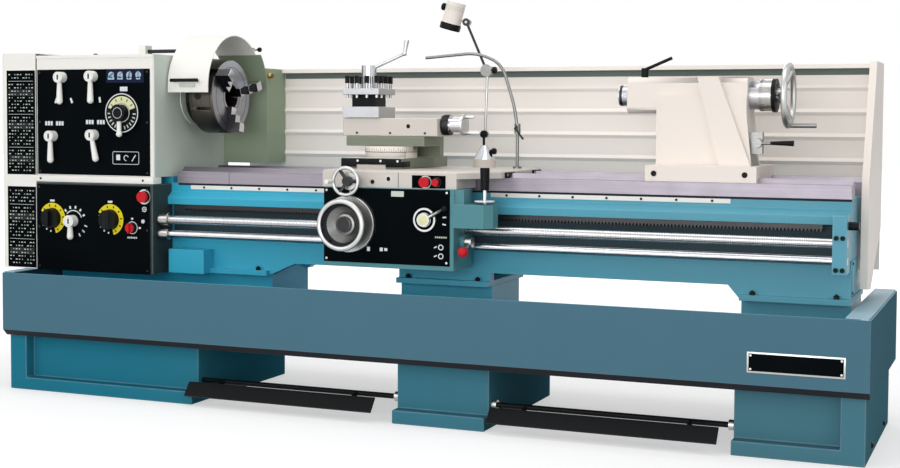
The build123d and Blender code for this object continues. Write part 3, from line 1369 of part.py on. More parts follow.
def control_pin(x, z, front):
    """The short shaft that carries a control in the panel and the casting behind it."""
    depth = PANEL_THICKNESS + CONTROL_PIN_DEPTH - FACE_GAP
    return rod_y(x, (front - FACE_GAP, front + depth), z, CONTROL_PIN_RADIUS)


def shift_lever(lead, rise, tilt):
    """A round boss with a handle that swells towards its tip."""
    x, z, front = HEAD_X0 + lead, SPINDLE_Z + rise, HEAD_PANEL_Y
    outer = front - FACE_GAP - LEVER_BOSS_LENGTH
    lever = rod_y(x, (outer, front - FACE_GAP), z, LEVER_BOSS_RADIUS) + control_pin(x, z, front)
    y = outer + LEVER_TIP_RADIUS
    angle = math.radians(tilt)
    reach = LEVER_LENGTH - LEVER_TIP_RADIUS
    tip = (x + reach * math.sin(angle), y, z - reach * math.cos(angle))
    lever += rod((x, y, z), tip, LEVER_ROOT_RADIUS, LEVER_TIP_RADIUS)
    return lever + ball(tip, LEVER_TIP_RADIUS)


def speed_dial():
    """The large speed dial with its hub and lever."""
    x, z, front = HEAD_X0 + SPEED_DIAL_LEAD, SPINDLE_Z - SPEED_DIAL_DROP, HEAD_PANEL_Y
    disc_y = front - FACE_GAP - SPEED_DIAL_THICKNESS
    hub_y = disc_y - SPEED_HUB_LENGTH
    dial = rod_y(x, (disc_y, front - FACE_GAP), z, SPEED_DIAL_RADIUS)
    dial += rod_y(x, (hub_y, disc_y), z, SPEED_HUB_RADIUS)
    dial += control_pin(x, z, front)
    lever_y = hub_y + SPEED_TIP_RADIUS
    tip = (x, lever_y, z - SPEED_LEVER_LENGTH + SPEED_TIP_RADIUS)
    dial += rod((x, lever_y, z), tip, SPEED_LEVER_RADIUS)
    return dial + ball(tip, SPEED_TIP_RADIUS)


def feed_dial(lead, rise):
    """A round selector with a raised finger bar."""
    x, z, front = HEAD_X0 + lead, SPINDLE_Z + rise, GEARBOX_PANEL_Y
    outer = front - FACE_GAP - FEED_DIAL_LENGTH
    dial = rod_y(x, (outer, front - FACE_GAP), z, FEED_DIAL_RADIUS) + control_pin(x, z, front)
    half_width, half_length = FEED_GRIP_WIDTH / 2, FEED_GRIP_LENGTH / 2
    grip_y = (outer - FEED_GRIP_HEIGHT, outer)
    return dial + block((x - half_width, x + half_width), grip_y, (z - half_length, z + half_length))


def feed_lever():
    x, z, front = HEAD_X0 + FEED_LEVER_LEAD, SPINDLE_Z - FEED_LEVER_DROP, GEARBOX_PANEL_Y
    outer = front - FACE_GAP - LEVER_BOSS_LENGTH
    lever = rod_y(x, (outer, front - FACE_GAP), z, FEED_LEVER_BOSS) + control_pin(x, z, front)
    y = outer + LEVER_TIP_RADIUS
    tip = (x, y, z - FEED_LEVER_LENGTH + LEVER_TIP_RADIUS)
    lever += rod((x, y, z), tip, LEVER_ROOT_RADIUS, LEVER_TIP_RADIUS)
    return lever + ball(tip, LEVER_TIP_RADIUS)


def power_switch():
    x, z, front = HEAD_X0 + SWITCH_LEAD, SPINDLE_Z - SWITCH_DROP, GEARBOX_PANEL_Y
    outer = front - FACE_GAP - SWITCH_LENGTH
    knob = rod_y(x, (outer, front - FACE_GAP), z, SWITCH_RADIUS) + control_pin(x, z, front)
    half = SWITCH_BAR_WIDTH / 2
    bar_y = (outer - SWITCH_BAR_HEIGHT, outer)
    return knob + block((x - half, x + half), bar_y, (z - SWITCH_RADIUS, z + SWITCH_RADIUS))


def push_button(x, z, front, radius):
    """A round button head on a stem that slides in the wall behind it."""
    back = front - BUTTON_LIFT
    head = rod_y(x, (back - BUTTON_HEAD, back), z, radius)
    stem = rod_y(x, (back, front + BUTTON_STEM_DEPTH - BUTTON_PLAY), z, BUTTON_STEM_RADIUS)
    return head + stem


def headstock_stop():
    x, z = HEAD_X0 + STOP_LEAD, SPINDLE_Z - STOP_DROP
    return push_button(x, z, GEARBOX_PANEL_Y, STOP_RADIUS)


def saddle_button_places():
    z = WAY_TOP - SADDLE_BUTTON_DROP
    return [(SADDLE_X0 + lead, z, BUTTON_STEM_RADIUS) for lead in (SADDLE_STOP_LEAD, SADDLE_BUTTON_LEAD)]


def saddle_button_front():
    return -SADDLE_FRONT + RECESS_DEPTH


def saddle_stop():
    x, z, _ = saddle_button_places()[0]
    return push_button(x, z, saddle_button_front(), SADDLE_STOP_RADIUS)


def saddle_button():
    x, z, _ = saddle_button_places()[1]
    return push_button(x, z, saddle_button_front(), SADDLE_BUTTON_RADIUS)


def cross_ridge(gap):
    """The guide ridge between the saddle and the cross slide, grown by a gap."""
    middle = SADDLE_X0 + CROSS_SLIDE_LEAD + CROSS_SLIDE_LENGTH / 2
    half = CROSS_RIDGE_WIDTH / 2 + gap
    return (middle - half, middle + half), (SADDLE_Z1, SADDLE_Z1 + CROSS_RIDGE_HEIGHT + gap)


def saddle():
    """The saddle on both ways, with the front block, cross ridge, button recess and screw boss."""
    front_x1 = SADDLE_X0 + SADDLE_FRONT_LENGTH
    plan = [
        (SADDLE_X0, -SADDLE_FRONT),
        (front_x1, -SADDLE_FRONT),
        (SADDLE_X1, -SADDLE_FRONT + SADDLE_CORNER),
        (SADDLE_X1, SADDLE_REAR),
        (SADDLE_X0, SADDLE_REAR),
    ]
    body = prism_z((SADDLE_Z0, SADDLE_Z1), plan)
    body = chamfer(body.faces().sort_by(Axis.Z)[-1].edges(), SADDLE_EDGE)
    front_y = (-SADDLE_FRONT, -SADDLE_FRONT_BACK)
    body += block((SADDLE_X0, front_x1), front_y, (APRON_Z1, SADDLE_Z0))
    body -= way_groove((SADDLE_X0, SADDLE_X1))
    ridge_x, ridge_z = cross_ridge(0)
    body += block(ridge_x, (-CROSS_SLIDE_FRONT, CROSS_SLIDE_REAR), ridge_z)
    recess_x0 = SADDLE_X0 + RECESS_LEAD
    recess_z0 = WAY_TOP - RECESS_DROP
    body -= block(
        (recess_x0, recess_x0 + RECESS_LENGTH),
        (-SADDLE_FRONT, saddle_button_front()),
        (recess_z0, recess_z0 + RECESS_HEIGHT),
    )
    body -= control_bores(saddle_button_places(), saddle_button_front(), BUTTON_STEM_DEPTH)
    boss_y = (-SADDLE_FRONT - CROSS_BOSS_LENGTH, -SADDLE_FRONT)
    body += rod_y(CROSS_WHEEL_X, boss_y, CROSS_WHEEL_Z, CROSS_BOSS_RADIUS)
    bore_y = (boss_y[0], boss_y[1] + CROSS_SHAFT_DEPTH)
    return body - rod_y(CROSS_WHEEL_X, bore_y, CROSS_WHEEL_Z, CROSS_SHAFT_RADIUS + RUN_GAP)


def joystick_place():
    x = APRON_X1 + JOYSTICK_LEAD
    y = -JOYSTICK_BOX_FRONT + JOYSTICK_SETBACK
    return x, y, APRON_Z1 - JOYSTICK_BOX_DROP


def control_place():
    return -APRON_FRONT + CONTROL_SETBACK, APRON_Z1 - CONTROL_DROP


def apron_wheel_place():
    return APRON_X0 + APRON_WHEEL_LEAD, APRON_Z1 - APRON_WHEEL_DROP


def selector_place():
    return APRON_X0 + SELECTOR_LEAD, APRON_Z1 - SELECTOR_DROP


def apron():
    """The apron box, open at the back, with the joystick box and the control shaft boss."""
    x, y, z = (APRON_X0, APRON_X1), (-APRON_FRONT, -APRON_BACK), (APRON_Z0, APRON_Z1)
    body = block(x, y, z) - block(
        (x[0] + APRON_WALL, x[1] - APRON_WALL),
        (y[0] + APRON_WALL, y[1]),
        (z[0] + APRON_FLOOR, z[1]),
    )
    joy_x, joy_y, joy_top = joystick_place()
    box_x1 = APRON_X1 + JOYSTICK_BOX_LENGTH
    box_y = (-JOYSTICK_BOX_FRONT, -JOYSTICK_BOX_FRONT + JOYSTICK_BOX_DEPTH)
    body += prism_z((joy_top - JOYSTICK_BOX_HEIGHT, joy_top), [
        (APRON_X1, box_y[0]),
        (box_x1 - JOYSTICK_BOX_CORNER, box_y[0]),
        (box_x1, box_y[0] + JOYSTICK_BOX_CORNER),
        (box_x1, box_y[1]),
        (APRON_X1, box_y[1]),
    ])
    arm_y = (box_y[0] + JOYSTICK_ARM_INSET, box_y[1] - JOYSTICK_ARM_INSET)
    body += block((APRON_X1, APRON_X1 + JOYSTICK_ARM_LENGTH), arm_y, (joy_top, APRON_Z1))
    body -= rod_z(joy_x, joy_y, (joy_top - JOYSTICK_POCKET_DEPTH, joy_top), JOYSTICK_POCKET_RADIUS)
    pin_y = (joy_y - JOYSTICK_PIN_HALF, joy_y + JOYSTICK_PIN_HALF)
    body -= rod_y(joy_x, pin_y, joy_top - JOYSTICK_PIVOT_DROP, JOYSTICK_PIN_RADIUS + RUN_GAP)
    boss_x = (APRON_X1, APRON_X1 + CONTROL_BOSS_LENGTH)
    body += rod_x(boss_x, *control_place(), CONTROL_BOSS_RADIUS)
    body -= rod_x((APRON_X1 - APRON_WALL, boss_x[1]), *control_place(), CONTROL_PIN_RADIUS + RUN_GAP)
    for height, radius in ((LEADSCREW_Z, LEADSCREW_RADIUS), (FEED_ROD_Z, FEED_ROD_RADIUS)):
        body -= rod_x(x, -ROD_FRONT, height, radius + PASS_GAP)
    front_wall = (y[0], y[0] + APRON_WALL)
    wheel_x, wheel_z = apron_wheel_place()
    body -= rod_y(wheel_x, front_wall, wheel_z, APRON_SHAFT_RADIUS + RUN_GAP)
    selector_x, selector_z = selector_place()
    return body - rod_y(selector_x, front_wall, selector_z, CONTROL_PIN_RADIUS + RUN_GAP)


def joystick():
    x, y, top = joystick_place()
    pivot = top - JOYSTICK_PIVOT_DROP
    grip_z = top + JOYSTICK_GRIP_RISE
    grip_top = grip_z + JOYSTICK_GRIP_LENGTH
    stick = rod_y(x, (y - JOYSTICK_PIN_HALF, y + JOYSTICK_PIN_HALF), pivot, JOYSTICK_PIN_RADIUS)
    stick += rod_z(x, y, (pivot - JOYSTICK_STEM_RADIUS, grip_z), JOYSTICK_STEM_RADIUS)
    disc_z = top + JOYSTICK_DISC_RISE
    stick += rod_z(x, y, (disc_z, disc_z + JOYSTICK_DISC_THICKNESS), JOYSTICK_DISC_RADIUS)
    stick += rod((x, y, grip_z), (x, y, grip_top), JOYSTICK_GRIP_WAIST, JOYSTICK_GRIP_RADIUS)
    return stick


def control_lever():
    """The red ball lever on the apron's right side."""
    y, z = control_place()
    x0 = APRON_X1 + CONTROL_BOSS_LENGTH + FACE_GAP
    x1 = x0 + CONTROL_HUB_LENGTH
    middle = (x0 + x1) / 2
    lever = rod_x((x0, x1), y, z, CONTROL_HUB_RADIUS)
    lever += rod_x((APRON_X1 - APRON_WALL, x0), y, z, CONTROL_PIN_RADIUS)
    end = (middle, y - CONTROL_REACH, z - CONTROL_BALL_DROP)
    lever += rod((middle, y, z), end, CONTROL_ARM_RADIUS)
    return lever + ball(end, CONTROL_BALL_RADIUS)


def apron_selector():
    x, z = selector_place()
    front = -APRON_FRONT - PASS_GAP
    disc_y = front - SELECTOR_THICKNESS
    hub_y = disc_y - SELECTOR_HUB_LENGTH
    dial = rod_y(x, (disc_y, front), z, SELECTOR_RADIUS) + rod_y(x, (hub_y, disc_y), z, SELECTOR_HUB_RADIUS)
    dial += rod_y(x, (front, -APRON_FRONT + APRON_WALL), z, CONTROL_PIN_RADIUS)
    angle = math.radians(SELECTOR_LEVER_ANGLE)
    lever_y = hub_y + SELECTOR_TIP_RADIUS
    reach = SELECTOR_LEVER_LENGTH - SELECTOR_TIP_RADIUS
    tip = (x + reach * math.cos(angle), lever_y, z + reach * math.sin(angle))
    dial += rod((x, lever_y, z), tip, SELECTOR_LEVER_RADIUS)
    return dial + ball(tip, SELECTOR_TIP_RADIUS)


def wheel(centre, axis, rim_radius, wire, hub_offset, hub_radius, spoke):
    """A dished handwheel: a round rim, a hub set back along the axis, and straight spokes."""
    frame = Plane(origin=centre, z_dir=axis).location
    body = Torus(rim_radius - wire, wire)
    hub = rod((0, 0, hub_offset - wire), (0, 0, hub_offset + wire), hub_radius)
    for index in range(SPOKE_COUNT):
        angle = 2 * math.pi * index / SPOKE_COUNT + math.pi / 2
        out = (math.cos(angle), math.sin(angle))
        start = (out[0] * hub_radius / 2, out[1] * hub_radius / 2, hub_offset)
        end = (out[0] * (rim_radius - wire), out[1] * (rim_radius - wire), 0)
        body += rod(start, end, spoke)
    return frame * (body + hub)


def apron_handwheel():
    """The carriage handwheel with its large dial."""
    x, z = apron_wheel_place()
    back = -APRON_FRONT - PASS_GAP
    dial_y = back - APRON_DIAL_THICKNESS
    rim_y = back - APRON_WHEEL_REACH
    hub_y = (dial_y + rim_y) / 2
    body = rod_y(x, (dial_y, back), z, APRON_DIAL_RADIUS)
    body += rod_y(x, (hub_y, dial_y), z, APRON_HUB_RADIUS)
    body += rod_y(x, (back, -APRON_FRONT + APRON_WALL), z, APRON_SHAFT_RADIUS)
    return body + wheel((x, rim_y, z), (0, 1, 0), APRON_WHEEL_RADIUS, APRON_RIM_RADIUS,
                        hub_y - rim_y, APRON_HUB_RADIUS, APRON_RIM_RADIUS)


def cross_handwheel():
    """The cross slide handwheel with its dial and turned handle."""
    x, z = CROSS_WHEEL_X, CROSS_WHEEL_Z
    back = -SADDLE_FRONT - CROSS_BOSS_LENGTH - FACE_GAP
    dial_y = back - CROSS_DIAL_THICKNESS
    rim_y = back - CROSS_WHEEL_REACH
    hub_y = (dial_y + rim_y) / 2
    body = rod_y(x, (dial_y, back), z, CROSS_DIAL_RADIUS)
    body += rod_y(x, (hub_y, dial_y), z, CROSS_HUB_RADIUS)
    body += rod_y(x, (back, -SADDLE_FRONT + CROSS_SHAFT_DEPTH), z, CROSS_SHAFT_RADIUS)
    body += wheel((x, rim_y, z), (0, 1, 0), CROSS_WHEEL_RADIUS, CROSS_RIM_RADIUS,
                  hub_y - rim_y, CROSS_HUB_RADIUS, CROSS_RIM_RADIUS)
    handle_x = x - CROSS_WHEEL_RADIUS + CROSS_RIM_RADIUS
    grip_y = rim_y - CROSS_RIM_RADIUS - CROSS_HANDLE_GAP
    body += rod_y(handle_x, (grip_y, rim_y), z, CROSS_HANDLE_PIN)
    return body + rod_y(handle_x, (grip_y - CROSS_HANDLE_LENGTH, grip_y), z, CROSS_HANDLE_RADIUS)


def cross_slide():
    """The cross slide plate with the round swivel seat of the compound."""
    x = (SADDLE_X0 + CROSS_SLIDE_LEAD, SADDLE_X0 + CROSS_SLIDE_LEAD + CROSS_SLIDE_LENGTH)
    y = (-CROSS_SLIDE_FRONT, CROSS_SLIDE_REAR)
    body = block(x, y, (CROSS_Z0, CROSS_Z1))
    ridge_x, ridge_z = cross_ridge(SLIDE_GAP)
    body -= block(ridge_x, y, ridge_z)
    body += rod_z(SWIVEL_X, SWIVEL_Y, (CROSS_Z1, SWIVEL_Z1), SWIVEL_RADIUS)
    return body + rod_z(SWIVEL_X, SWIVEL_Y, (SWIVEL_Z1, COMPOUND_Z0 + SWIVEL_PIN_HEIGHT), SWIVEL_PIN_RADIUS)


def compound_base():
    """The swivelling base of the top slide, with a skirt behind the swivel seat."""
    x = (SWIVEL_X - COMPOUND_LAP, SWIVEL_X - COMPOUND_LAP + COMPOUND_LENGTH)
    rear = SWIVEL_Y + COMPOUND_REAR
    body = block(x, (SWIVEL_Y - COMPOUND_HALF_FRONT, rear), (COMPOUND_Z0, COMPOUND_Z1))
    body += block(x, (rear - COMPOUND_SKIRT, rear), (CROSS_Z1 + FACE_GAP, COMPOUND_Z0))
    half = COMPOUND_RIDGE_WIDTH / 2
    ridge_z = (COMPOUND_Z1, COMPOUND_Z1 + COMPOUND_RIDGE_HEIGHT)
    ridge_x = (x[0], x[1] - COMPOUND_RIDGE_SETBACK)
    body += block(ridge_x, (SWIVEL_Y - half, SWIVEL_Y + half), ridge_z)
    socket_z = (COMPOUND_Z0, COMPOUND_Z0 + SWIVEL_PIN_HEIGHT + SLIDE_GAP)
    return body - rod_z(SWIVEL_X, SWIVEL_Y, socket_z, SWIVEL_PIN_RADIUS + RUN_GAP)


def crank_height():
    return TOP_SLIDE_Z1 - CRANK_DROP


def top_slide():
    """The top slide with its groove, crank bore and the tool post's centre stud."""
    x = (TOP_SLIDE_X0, TOP_SLIDE_X0 + TOP_SLIDE_LENGTH)
    y = (SWIVEL_Y - TOP_SLIDE_HALF, SWIVEL_Y + TOP_SLIDE_HALF)
    body = block(x, y, (TOP_SLIDE_Z0, TOP_SLIDE_Z1))
    half = COMPOUND_RIDGE_WIDTH / 2 + SLIDE_GAP
    groove_z = (TOP_SLIDE_Z0, COMPOUND_Z1 + COMPOUND_RIDGE_HEIGHT + SLIDE_GAP)
    body -= block(x, (SWIVEL_Y - half, SWIVEL_Y + half), groove_z)
    bore_x = (x[1] - CRANK_SHAFT_DEPTH, x[1])
    body -= rod_x(bore_x, SWIVEL_Y, crank_height(), CRANK_SHAFT_RADIUS + RUN_GAP)
    stud_z = (TOP_SLIDE_Z1, TOP_SLIDE_Z1 + TOOLPOST_STUD_RISE)
    return body + rod_z(TOOLPOST_X, SWIVEL_Y, stud_z, TOOLPOST_STUD_RADIUS)


def compound_crank():
    """The top slide's crank: knurled dial, sleeve, end plate and two handles."""
    z = crank_height()
    slide_x1 = TOP_SLIDE_X0 + TOP_SLIDE_LENGTH
    dial = (slide_x1 + FACE_GAP, slide_x1 + FACE_GAP + CRANK_DIAL_LENGTH)
    sleeve = (dial[1], dial[1] + CRANK_SLEEVE_LENGTH)
    plate = (sleeve[1], sleeve[1] + CRANK_PLATE_LENGTH)
    body = rod_x((slide_x1 - CRANK_SHAFT_DEPTH, dial[0]), SWIVEL_Y, z, CRANK_SHAFT_RADIUS)
    body += rod_x(dial, SWIVEL_Y, z, CRANK_DIAL_RADIUS)
    body += rod_x(sleeve, SWIVEL_Y, z, CRANK_SLEEVE_RADIUS)
    body += rod_x(plate, SWIVEL_Y, z, CRANK_PLATE_RADIUS)
    for side, length in ((1, CRANK_HANDLE_SHORT), (-1, CRANK_HANDLE_LONG)):
        handle_z = z + side * CRANK_HANDLE_OFFSET
        body += rod_x((plate[1], plate[1] + length), SWIVEL_Y, handle_z, CRANK_HANDLE_RADIUS)
    return body


def tool_bolt_places():
    """Bolt centres round the tool post's head, each corner once."""
    edge = TOOLPOST_SIZE / 2 - TOOL_BOLT_INSET
    step = 2 * edge / (TOOL_BOLTS_PER_SIDE - 1)
    places = []
    for index in range(TOOL_BOLTS_PER_SIDE - 1):
        along = -edge + index * step
        places += [(along, -edge), (edge, along), (-along, edge), (-edge, -along)]
    return [(TOOLPOST_X + dx, SWIVEL_Y + dy) for dx, dy in places]


def toolpost():
    """The four-way tool post: foot, stem and head, with square-headed clamp bolts."""
    half, stem = TOOLPOST_SIZE / 2, TOOLPOST_STEM / 2
    wide = (TOOLPOST_X - half, TOOLPOST_X + half), (SWIVEL_Y - half, SWIVEL_Y + half)
    narrow = (TOOLPOST_X - stem, TOOLPOST_X + stem), (SWIVEL_Y - stem, SWIVEL_Y + stem)
    body = block(*wide, (TOOLPOST_Z0, TOOL_SLOT_Z0))
    body += block(*narrow, (TOOL_SLOT_Z0, TOOL_SLOT_Z1))
    body += block(*wide, (TOOL_SLOT_Z1, TOOLPOST_Z1))
    body -= rod_z(TOOLPOST_X, SWIVEL_Y, (TOOLPOST_Z0, TOOLPOST_Z1), TOOLPOST_STUD_RADIUS + RUN_GAP)
    pieces = []
    half_head = TOOL_BOLT_HEAD / 2
    shank_z1 = TOOLPOST_Z1 + TOOL_BOLT_RISE
    head_z = (shank_z1, shank_z1 + TOOL_BOLT_HEAD_HEIGHT)
    for x, y in tool_bolt_places():
        body -= rod_z(x, y, (TOOL_SLOT_Z1, TOOLPOST_Z1), TOOL_BOLT_RADIUS)
        shank = rod_z(x, y, (TOOL_SLOT_Z1 - TOOL_BOLT_DROP, shank_z1), TOOL_BOLT_RADIUS)
        pieces.append(shank + block((x - half_head, x + half_head), (y - half_head, y + half_head), head_z))
    return [body] + pieces


def toolpost_lever():
    """The clamp lever on the tool post's stud."""
    z0 = TOOLPOST_Z1 + FACE_GAP
    hub = rod_z(TOOLPOST_X, SWIVEL_Y, (z0, z0 + CLAMP_HUB_HEIGHT), CLAMP_HUB_RADIUS)
    stud_z = (z0, TOP_SLIDE_Z1 + TOOLPOST_STUD_RISE + FACE_GAP)
    hub -= rod_z(TOOLPOST_X, SWIVEL_Y, stud_z, TOOLPOST_STUD_RADIUS + RUN_GAP)
    root = (TOOLPOST_X + CLAMP_HUB_RADIUS / 2, SWIVEL_Y, z0 + CLAMP_ROD_ROOT)
    bend = (TOOLPOST_X + CLAMP_ROD_REACH, SWIVEL_Y, z0 + CLAMP_ROD_RISE)
    grip_end = (bend[0] + CLAMP_GRIP_RADIUS, SWIVEL_Y, bend[2] + CLAMP_GRIP_LENGTH)
    hub += rod(root, bend, CLAMP_ROD_RADIUS)
    hub += ball(bend, CLAMP_KNUCKLE_RADIUS)
    return hub + rod(bend, grip_end, CLAMP_ROD_RADIUS, CLAMP_GRIP_RADIUS)


def lamp_points():
    """The base joint, the elbow and the head joint of the lamp."""
    base = (LAMP_X, WAY_TOP + LAMP_JOINT_RISE)
    elbow = (base[0] + LAMP_LOWER_LEAN, base[1] + LAMP_LOWER_RISE)
    head = (elbow[0] + LAMP_UPPER_LEAN, elbow[1] + LAMP_UPPER_RISE)
    return base, elbow, head


def eye(place, side, radius):
    """One half of a lamp joint, in front of or behind the lamp's plane."""
    gap = SLIDE_GAP / 2
    y = (gap, gap + LAMP_EYE_WIDTH) if side > 0 else (-gap - LAMP_EYE_WIDTH, -gap)
    return rod_y(place[0], (LAMP_REAR + y[0], LAMP_REAR + y[1]), place[1], radius)


def eye_pin(place, side, gap):
    """A joint pin that crosses the lamp's plane from an eye on one side into the other."""
    reach = SLIDE_GAP / 2 + LAMP_EYE_WIDTH
    near = SLIDE_GAP / 2
    y = (-reach, near) if side > 0 else (-near, reach)
    return rod_y(place[0], (LAMP_REAR + y[0], LAMP_REAR + y[1]), place[1], LAMP_PIN_RADIUS + gap)


def lamp_arm(start, end, side):
    """A straight rod between two joints, in the plane of its eyes."""
    y = LAMP_REAR + side * (SLIDE_GAP / 2 + LAMP_EYE_WIDTH / 2)
    return rod((start[0], y, start[1]), (end[0], y, end[1]), LAMP_ARM_RADIUS)


def lamp_lower_arm():
    base, elbow, _ = lamp_points()
    arm = eye(base, 1, LAMP_EYE_RADIUS) + eye(elbow, 1, LAMP_ELBOW_RADIUS) + lamp_arm(base, elbow, 1)
    return arm + eye_pin(base, 1, 0) - eye_pin(elbow, -1, RUN_GAP)


def lamp_upper_arm():
    _, elbow, head = lamp_points()
    arm = eye(elbow, -1, LAMP_ELBOW_RADIUS) + eye(head, -1, LAMP_EYE_RADIUS) + lamp_arm(elbow, head, -1)
    return arm + eye_pin(elbow, -1, 0) - eye_pin(head, 1, RUN_GAP)


def lamp_head():
    """A short can that points down at the work, on a neck from the head joint."""
    _, _, head = lamp_points()
    angle = math.radians(LAMP_HEAD_TILT)
    down = (-math.sin(angle), -math.cos(angle))
    side = (-math.cos(angle), math.sin(angle))
    y = LAMP_REAR
    neck_y = LAMP_REAR + SLIDE_GAP / 2 + LAMP_EYE_WIDTH / 2

    def place(aside, below):
        reach = LAMP_NECK_LENGTH + aside
        return (head[0] + side[0] * reach + down[0] * below, y, head[1] + side[1] * reach + down[1] * below)

    top = LAMP_NECK_DROP - LAMP_HEAD_LENGTH + LAMP_RIM_LENGTH
    can = rod(place(LAMP_HEAD_RADIUS, top), place(LAMP_HEAD_RADIUS, LAMP_NECK_DROP), LAMP_HEAD_RADIUS)
    rim_end = place(LAMP_HEAD_RADIUS, LAMP_NECK_DROP + LAMP_RIM_LENGTH)
    can += rod(place(LAMP_HEAD_RADIUS, LAMP_NECK_DROP), rim_end, LAMP_RIM_RADIUS)
    neck_end = place(LAMP_HEAD_RADIUS / 2, 0)
    can += rod((head[0], neck_y, head[1]), (neck_end[0], neck_y, neck_end[2]), LAMP_ARM_RADIUS)
    return can + eye(head, 1, LAMP_EYE_RADIUS) + eye_pin(head, 1, 0)


def coolant_pipe():
    """A bent pipe: straight runs joined by arcs as large as the runs allow."""
    corners = [
        (0, 0),
        (0, COOLANT_STRAIGHT),
        (COOLANT_KNEE_SETBACK, COOLANT_KNEE_RISE),
        (COOLANT_CREST_SETBACK, COOLANT_CREST_RISE),
        (COOLANT_NOZZLE_SETBACK, COOLANT_NOZZLE_RISE),
    ]
    points = [(COOLANT_X - setback, COOLANT_REAR, SADDLE_Z1 + rise) for setback, rise in corners]
    radii = []
    for before, at, after in zip(points, points[1:], points[2:]):
        first, second = Vector(*at) - Vector(*before), Vector(*after) - Vector(*at)
        half_turn = math.radians(first.get_angle(second)) / 2
        radii.append(COOLANT_ARC_SHARE * min(first.length, second.length) / math.tan(half_turn))
    path = FilletPolyline(*points, radius=radii)
    start = Plane(origin=points[0], z_dir=path % 0)
    return sweep(start * Circle(COOLANT_RADIUS), path=path)


def saddle_fittings():
    """The lamp's pad, cone and post, and the coolant pipe with its flange and valve body."""
    base, _, _ = lamp_points()
    pad_top = SADDLE_Z1 + LAMP_PAD_HEIGHT
    cone_foot = (LAMP_X, LAMP_REAR, pad_top)
    cone_top = (LAMP_X, LAMP_REAR, pad_top + LAMP_CONE_HEIGHT)
    foot = rod_z(LAMP_X, LAMP_REAR, (SADDLE_Z1, pad_top), LAMP_PAD_RADIUS)
    foot += rod(cone_foot, cone_top, LAMP_CONE_RADIUS, LAMP_CONE_TOP_RADIUS)
    post_y = LAMP_REAR - SLIDE_GAP / 2 - LAMP_EYE_WIDTH / 2
    post = rod_z(LAMP_X, post_y, (SADDLE_Z1, base[1]), LAMP_POST_RADIUS)
    lamp = foot + post + eye(base, -1, LAMP_EYE_RADIUS) - eye_pin(base, 1, RUN_GAP)
    pipe = coolant_pipe()
    flange_z = (SADDLE_Z1, SADDLE_Z1 + COOLANT_FLANGE_HEIGHT)
    pipe += rod_z(COOLANT_X, COOLANT_REAR, flange_z, COOLANT_FLANGE_RADIUS)
    valve_z = SADDLE_Z1 + COOLANT_VALVE_RISE
    half = COOLANT_VALVE_LENGTH / 2
    pipe += rod_z(COOLANT_X, COOLANT_REAR, (valve_z - half, valve_z + half), COOLANT_VALVE_RADIUS)
    bore_y = (COOLANT_REAR - COOLANT_VALVE_RADIUS, COOLANT_REAR)
    pipe -= rod_y(COOLANT_X, bore_y, valve_z, COOLANT_STEM_RADIUS + RUN_GAP)
    return [lamp, pipe]


def coolant_valve():
    """The valve's stem and small lever."""
    z = SADDLE_Z1 + COOLANT_VALVE_RISE
    outer = COOLANT_REAR - COOLANT_VALVE_RADIUS - COOLANT_STEM_LENGTH
    stem = rod_y(COOLANT_X, (outer, COOLANT_REAR), z, COOLANT_STEM_RADIUS)
    y = outer + COOLANT_LEVER_RADIUS
    tip_x, tip_z = polar((COOLANT_X, z), COOLANT_LEVER_LENGTH, COOLANT_LEVER_ANGLE)
    return stem + rod((COOLANT_X, y, z), (tip_x, y, tip_z), COOLANT_LEVER_RADIUS)


